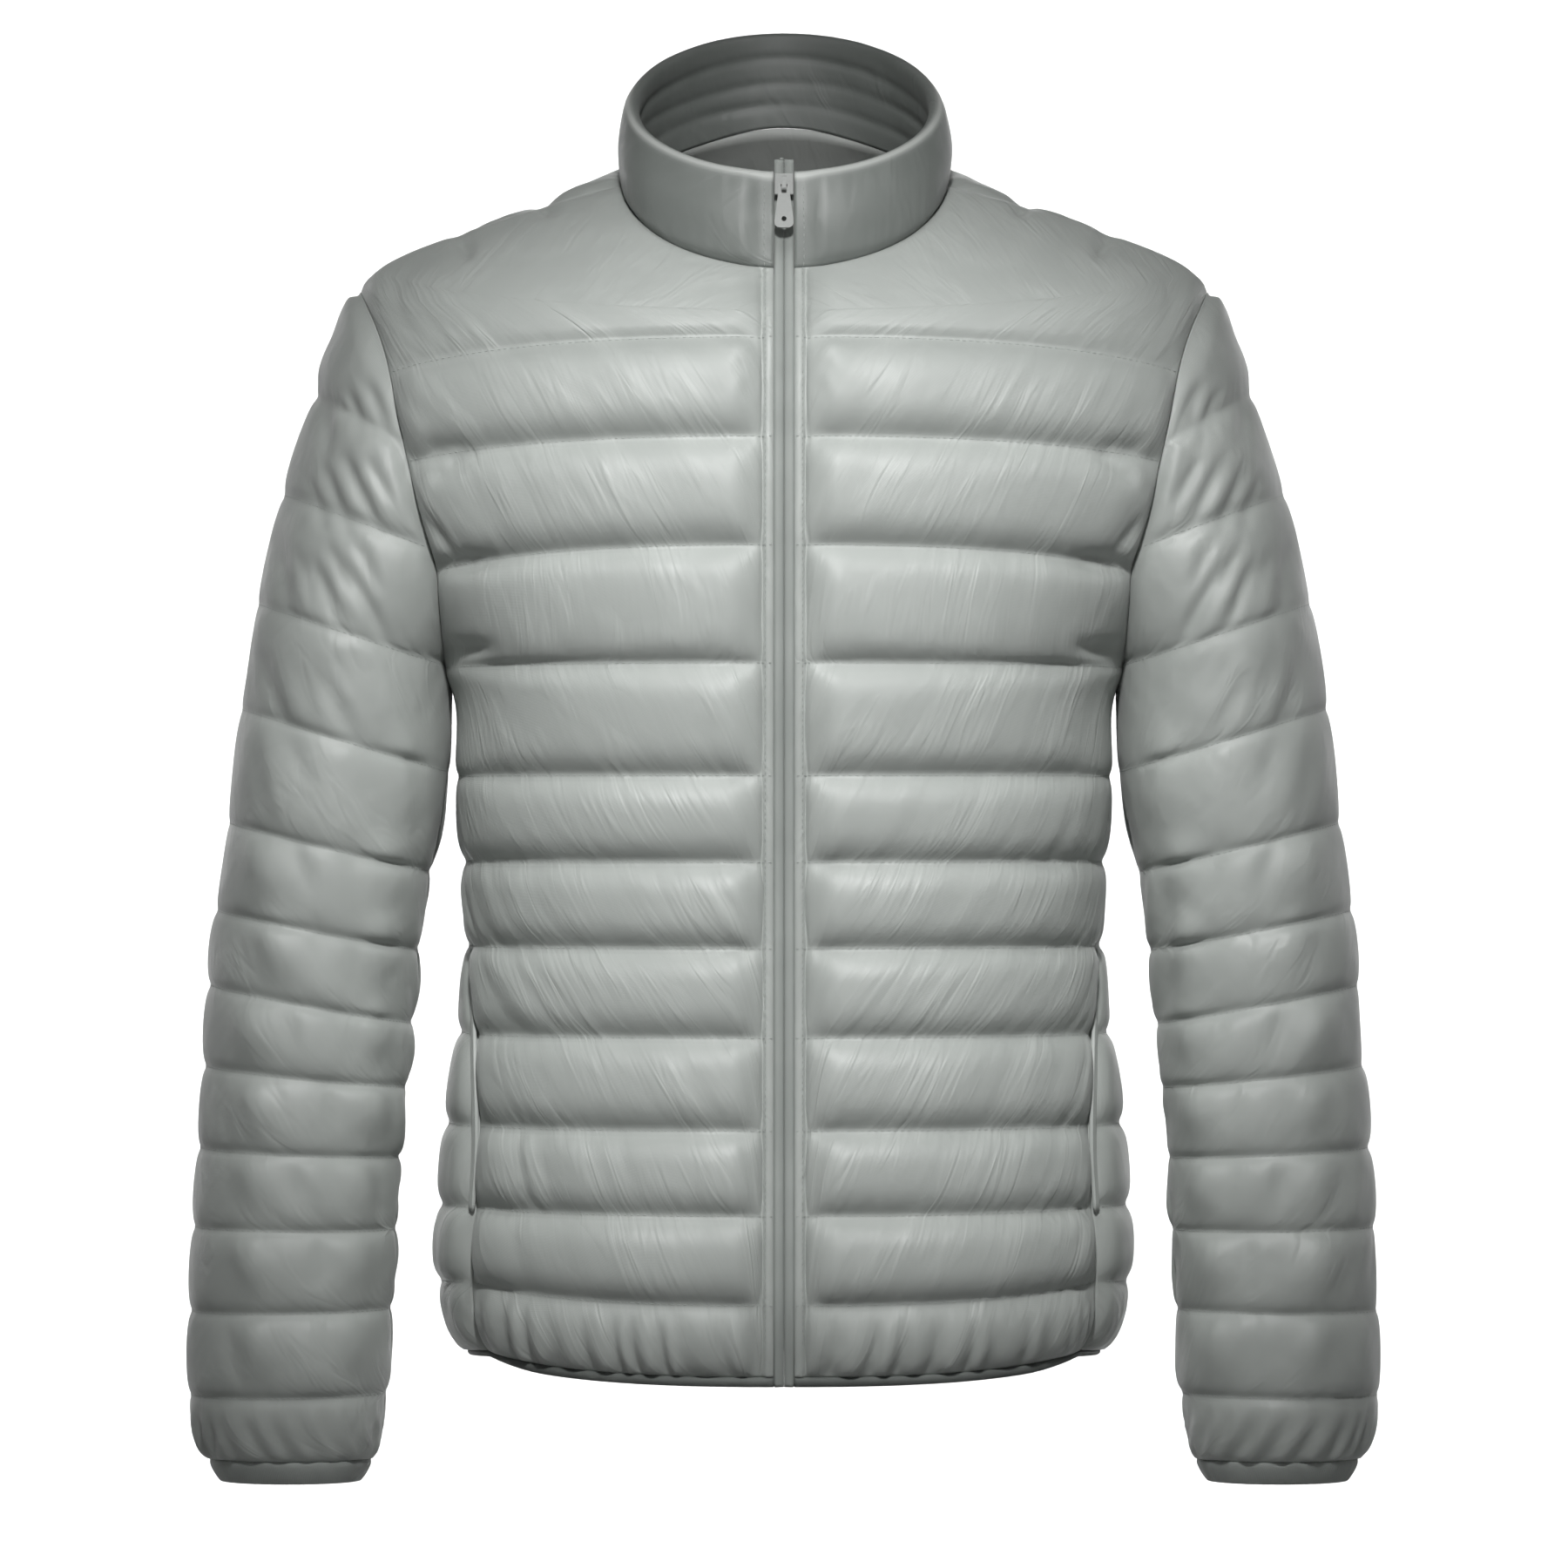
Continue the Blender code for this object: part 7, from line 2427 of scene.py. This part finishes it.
@dataclass
class FrontZip:
    """The full front zip: two woven tapes, each with its row of coil teeth, and the slider.

    Attributes:
        tape: corners of a tape's section, as distance from the middle and out of the zip.
        wing: for the corners that lie behind the fronts, how far out and how deep they go.
        hem_drop: how much deeper they go behind the hem binding.
        above: how far the tapes stand over the collar.
        below: how far they end under the hem.
        stations: sections along a tape.
        pitch: distance between two teeth of a row.
        tooth: a tooth's width, thickness and height along the zip.
        tooth_x: distance of a tooth's middle from the zip's.
        tooth_out: how far a tooth's middle stands out of the zip.
    """

    tape: tuple[tuple[float, float], ...] = (
        (0.0002, -0.0008),
        (0.0002, 0.0004),
        (0.0024, 0.0005),
        (0.0030, 0.0008),
        (0.0050, 0.0008),
        (0.0052, -0.0003),
        (0.0052, -0.0003),
        (0.0052, -0.0008),
        (0.0050, -0.0008),
    )
    wing: ClassVar[dict[int, tuple[float, float]]] = {6: (0.0036, 0.0010), 7: (0.0036, 0.0010)}
    hem_drop: float = 0.0022
    above: float = 0.0080
    below: float = 0.0055
    stations: int = 330
    pitch: float = 0.00165
    tooth: tuple[float, float, float] = (0.0031, 0.0019, 0.00135)
    tooth_x: float = 0.00128
    tooth_out: float = 0.00135

    def line(self) -> np.ndarray:
        """Points in the middle plane down the zip, from over the collar to the hem."""
        start = np.array([0.0])
        base = FRONT.row(0, start)[0]
        top = COLLAR.top(base)
        up = unit(top - base)
        line = [top + up * self.above, top, (top + base) / 2, base]
        places = np.arange(ROW_OF["line_1"], ROW_OF["hem_edge"] + 0.01, 0.5)
        line += [FRONT.row(float(v), start)[0] for v in places]
        line.append(line[-1] + unit(line[-1] - line[-2]) * self.below)
        points = np.array(line)
        points[:, 0] = 0.0
        return rounded_path(points, self.stations)

    def outward(self, line: np.ndarray) -> np.ndarray:
        """Directions out of the zip along its line."""
        along = np.gradient(line, axis=0)
        return unit(np.stack((np.zeros(len(line)), along[:, 2], -along[:, 1]), axis=1))

    def tapes(self, finishes: Finishes) -> dict[str, bpy.types.Object]:
        """Make both tapes in place of their solids."""
        line = self.line()
        outward = self.outward(line)
        corners = np.array(self.tape)
        sections = line[:, None] + outward[:, None] * corners[None, :, 1:]
        sections[..., 0] += corners[None, :, 0]
        neck_z, hem_z = FRONT.row(0, np.array([0.0]))[0][2], line[-1, 2]
        behind = ease((neck_z - 0.004 - line[:, 2]) / 0.004)
        low = ease((hem_z + 0.018 - line[:, 2]) / 0.008)
        for place, (wide, deep) in self.wing.items():
            drop = deep + self.hem_drop * low
            sections[:, place, 0] += wide * behind
            sections[:, place] -= outward * (drop * behind)[:, None]
        return add_pair("zip_tape", "_weave", sections, finishes.tape)

    def teeth(self, beads: BeadMaker, finishes: Finishes) -> bpy.types.Object:
        """Make both rows of teeth, half a step apart."""
        line = self.line()[::-1]
        out = self.outward(line) * self.tooth_out
        line = rounded_path(line + out, 1200)
        half_step = unit(line[1] - line[0]) * self.pitch / 2
        side = np.array((self.tooth_x, 0.0, 0.0))
        rows = [line + side, line - side + half_step]
        mesh = beads.make(
            "zip_teeth",
            rows,
            Step=self.pitch,
            Size=self.tooth,
            Roundness=2,
            Unevenness=0.0,
            Finish=finishes.teeth,
        )
        return add_piece(mesh, "zip_teeth", finishes.teeth)

    def slider(self, finishes: Finishes) -> None:
        """Give the slider and its pull, which keep their solids' shape, their metal."""
        for node in ("zip_slider", "zip_pull"):
            for slot in frame["nodes"][node].material_slots:
                slot.material = finishes.metal


@dataclass
class PocketWelts:
    """The narrow welts of the side-seam pockets."""

    top_z: float = -0.4210
    bottom_z: float = -0.5635
    half_width: float = 0.0024
    top_share: float = 0.8
    low: float = 0.0032
    thick: float = 0.0018
    stations: int = 70
    around: int = 18

    def sections(self) -> np.ndarray:
        """The welt's outlines on the +X side."""
        ends = [-row.end for row in BODY_ROWS]
        sections = []
        for share in np.linspace(0, 1, self.stations):
            z = self.top_z + (self.bottom_z - self.top_z) * share
            seam = side_seam(float(np.interp(-z, ends, range(len(BODY_ROWS)))))
            point = side_point(z, Facing.FRONT)
            close = math.sqrt(max(1 - abs(2 * share - 1) ** 40, 0.05))
            wide = seam.over * self.half_width * close
            low, high = seam.mitre * self.low, seam.mitre * (self.low + self.thick * close)
            narrow = wide * self.top_share
            upper = [point - narrow + high, point + high, point + narrow + high]
            corners = [point - wide + low, *upper, point + wide + low]
            sections.append(rounded_path(corners, self.around))
        return np.array(sections)

    def dress(self, finishes: Finishes) -> dict[str, bpy.types.Object]:
        """Make both welts in place of their solids."""
        return add_pair("pocket_welt", "_cloth", self.sections(), finishes.welt)


@dataclass
class Stitching:
    """The thread that shows along the quilting lines and the zip's edges.

    Attributes:
        step: length of a stitch with its gap.
        stitch: a stitch's width, height and length.
        over: how far the thread stands over the cloth.
        ends: how many columns a line stops short of a piece's edges.
        margin: topstitching's distance from the front edge.
    """

    step: float = 0.0036
    stitch: tuple[float, float, float] = (0.00042, 0.00042, 0.0025)
    over: float = 0.00012
    ends: int = 2
    margin: float = 0.0049

    def quilt_lines(self, shell: Shell) -> list[np.ndarray]:
        """The quilting lines of every piece."""
        lines = []
        for name, wall in shell.walls.items():
            grid, surface = wall.grid, shell.surface(name)
            first = 2 if name.startswith("sleeve") else 1
            for row in grid.lines[first:-1]:
                line = surface[row] + grid.normals[row] * self.over
                lines.append(line[self.ends : -self.ends])
        return lines

    def front_lines(self, shell: Shell) -> list[np.ndarray]:
        """The topstitching beside the zip, from the hem up."""
        lines = []
        for name in ("front_left", "front_right"):
            surface = shell.surface(name)
            if name.endswith("right"):
                surface = surface[:, ::-1]
            along = run_lengths(surface, 1)
            line = [
                [np.interp(self.margin, far, points[:, k]) for k in range(3)]
                for far, points in zip(along, surface)
            ]
            lines.append((np.array(line) + (0.0, -self.over * 2, 0.0))[::-1][4:-1])
        return lines

    def dress(self, shell: Shell, collar: StandCollar, beads: BeadMaker, finishes: Finishes) -> None:
        """Make the thread."""
        lines = self.quilt_lines(shell) + self.front_lines(shell) + collar.edge_lines()
        mesh = beads.make(
            "stitches",
            lines,
            Step=self.step,
            Size=self.stitch,
            Roundness=1,
            Unevenness=0.08,
            Finish=finishes.thread,
        )
        add_piece(mesh, "stitches", finishes.thread)


# Studio


@dataclass(frozen=True)
class Lamp:
    """A soft light.

    Attributes:
        name: its name.
        place: where it is.
        target: what it points at.
        size: side of its square, or its radius where it throws a cone.
        power: its power.
        cone: angle of its cone in degrees, 0 where it shines all over.
    """

    name: str
    place: tuple[float, float, float]
    target: tuple[float, float, float]
    size: float
    power: float
    cone: float = 0.0

    def add(self) -> None:
        """Add the light."""
        lamp = bpy.data.lights.new(self.name, "SPOT" if self.cone else "AREA")
        lamp.energy = self.power
        if self.cone:
            lamp.shadow_soft_size = self.size
            lamp.spot_size = math.radians(self.cone)
            lamp.spot_blend = 1.0
        else:
            lamp.size = self.size
        thing = new_object(self.name, lamp)
        thing.location = self.place
        thing.rotation_euler = (Vector(self.target) - Vector(self.place)).to_track_quat("-Z", "Y").to_euler()


@dataclass(frozen=True)
class Studio:
    """A plain pale room, soft light, and a camera straight in front."""

    floor_z: float = -1.30
    room_radius: float = 6.6
    room_height: float = 3.8
    room_sides: int = 64
    bend: float = 1.6
    sky: float = 0.030
    camera_distance: float = 5.0
    camera_z: float = -0.3307
    image_width: float = 0.864
    sensor: float = 36.0
    lamps: tuple[Lamp, ...] = (
        Lamp("key", (0.0, -1.15, 1.90), (0.0, -0.10, -0.40), 0.6, 11.0),
        Lamp("front", (0.0, -4.2, 0.1), (0.0, 0.0, -0.35), 0.8, 5.5),
        Lamp("chest", (0.0, -2.05, 1.15), (0.0, -0.13, -0.300), 0.12, 280.0, 22.0),
        Lamp("wall_left", (-2.4, 3.4, 1.8), (-0.7, 6.4, -0.3), 1.8, 175.0),
        Lamp("wall_right", (2.4, 3.4, 1.8), (0.7, 6.4, -0.3), 1.8, 175.0),
        Lamp("back", (0.0, 3.4, 0.9), (0.0, 0.10, -0.35), 0.8, 9.0),
    )

    def build(self) -> None:
        """Add the floor, the lights and the camera."""
        self.floor()
        world = bpy.data.worlds.new("studio")
        world.use_nodes = True
        background = world.node_tree.nodes["Background"].inputs
        background["Color"].default_value = (1.0, 1.0, 1.0, 1.0)
        background["Strength"].default_value = self.sky
        bpy.context.scene.world = world
        bpy.context.scene.view_settings.view_transform = "Standard"
        for lamp in self.lamps:
            lamp.add()
        self.camera()

    def floor(self) -> None:
        """Add a round floor that curves up into a wall."""
        start = self.room_radius - self.bend
        profile = [(start * k / 4, 0.0) for k in range(5)]
        for turn in np.linspace(0, math.pi / 2, 14)[1:]:
            profile.append((start + self.bend * math.sin(turn), self.bend * (1 - math.cos(turn))))
        profile.append((self.room_radius, self.room_height))
        turns = np.linspace(0, 2 * math.pi, self.room_sides + 1)[:-1]
        points = [(r * math.cos(t), r * math.sin(t), z + self.floor_z) for t in turns for r, z in profile]
        ids = np.arange(len(points)).reshape(self.room_sides, len(profile))
        ids[:, 0] = 0
        faces = []
        for here, after in zip(ids.tolist(), np.roll(ids, -1, axis=0).tolist()):
            faces.append((0, here[1], after[1]))
            faces += [(here[k], here[k + 1], after[k + 1], after[k]) for k in range(1, len(profile) - 1)]
        mesh = bpy.data.meshes.new("floor")
        mesh.from_pydata(points, [], faces)
        mesh.shade_smooth()
        material, _, shader = new_material("pale_floor")
        shader["Base Color"].default_value = (0.72, 0.72, 0.72, 1.0)
        shader["Roughness"].default_value = 0.9
        mesh.materials.append(material)
        floor = new_object("floor", mesh)

    def camera(self) -> None:
        """Add the camera."""
        data = bpy.data.cameras.new("camera")
        data.sensor_width = self.sensor
        data.lens = self.sensor * self.camera_distance / self.image_width
        data.clip_end = 50.0
        camera = new_object("camera", data)
        camera.location = (0.0, -self.camera_distance, self.camera_z)
        camera.rotation_euler = (math.pi / 2, 0.0, 0.0)
        bpy.context.scene.camera = camera


def main() -> None:
    """Build the jacket's looks in order."""
    logging.basicConfig(level=logging.INFO, format="%(message)s")
    finishes = Finishes.make()
    beads = BeadMaker()
    shell = Shell()
    shell.build()
    shell.dress(finishes)
    collar = StandCollar()
    collar.dress(finishes)
    hem = HemBinding().dress(finishes)
    CuffBinding().dress(finishes)
    front_zip = FrontZip()
    tapes = front_zip.tapes(finishes)
    front_zip.teeth(beads, finishes)
    front_zip.slider(finishes)
    welts = PocketWelts().dress(finishes)
    trims = {"front_" + side: [tapes[side], welts[side]] for side in ("left", "right")}
    shell.declare({**trims, "back": [hem]})
    Stitching().dress(shell, collar, beads, finishes)
    Studio().build()


if __name__ == "__main__":
    main()
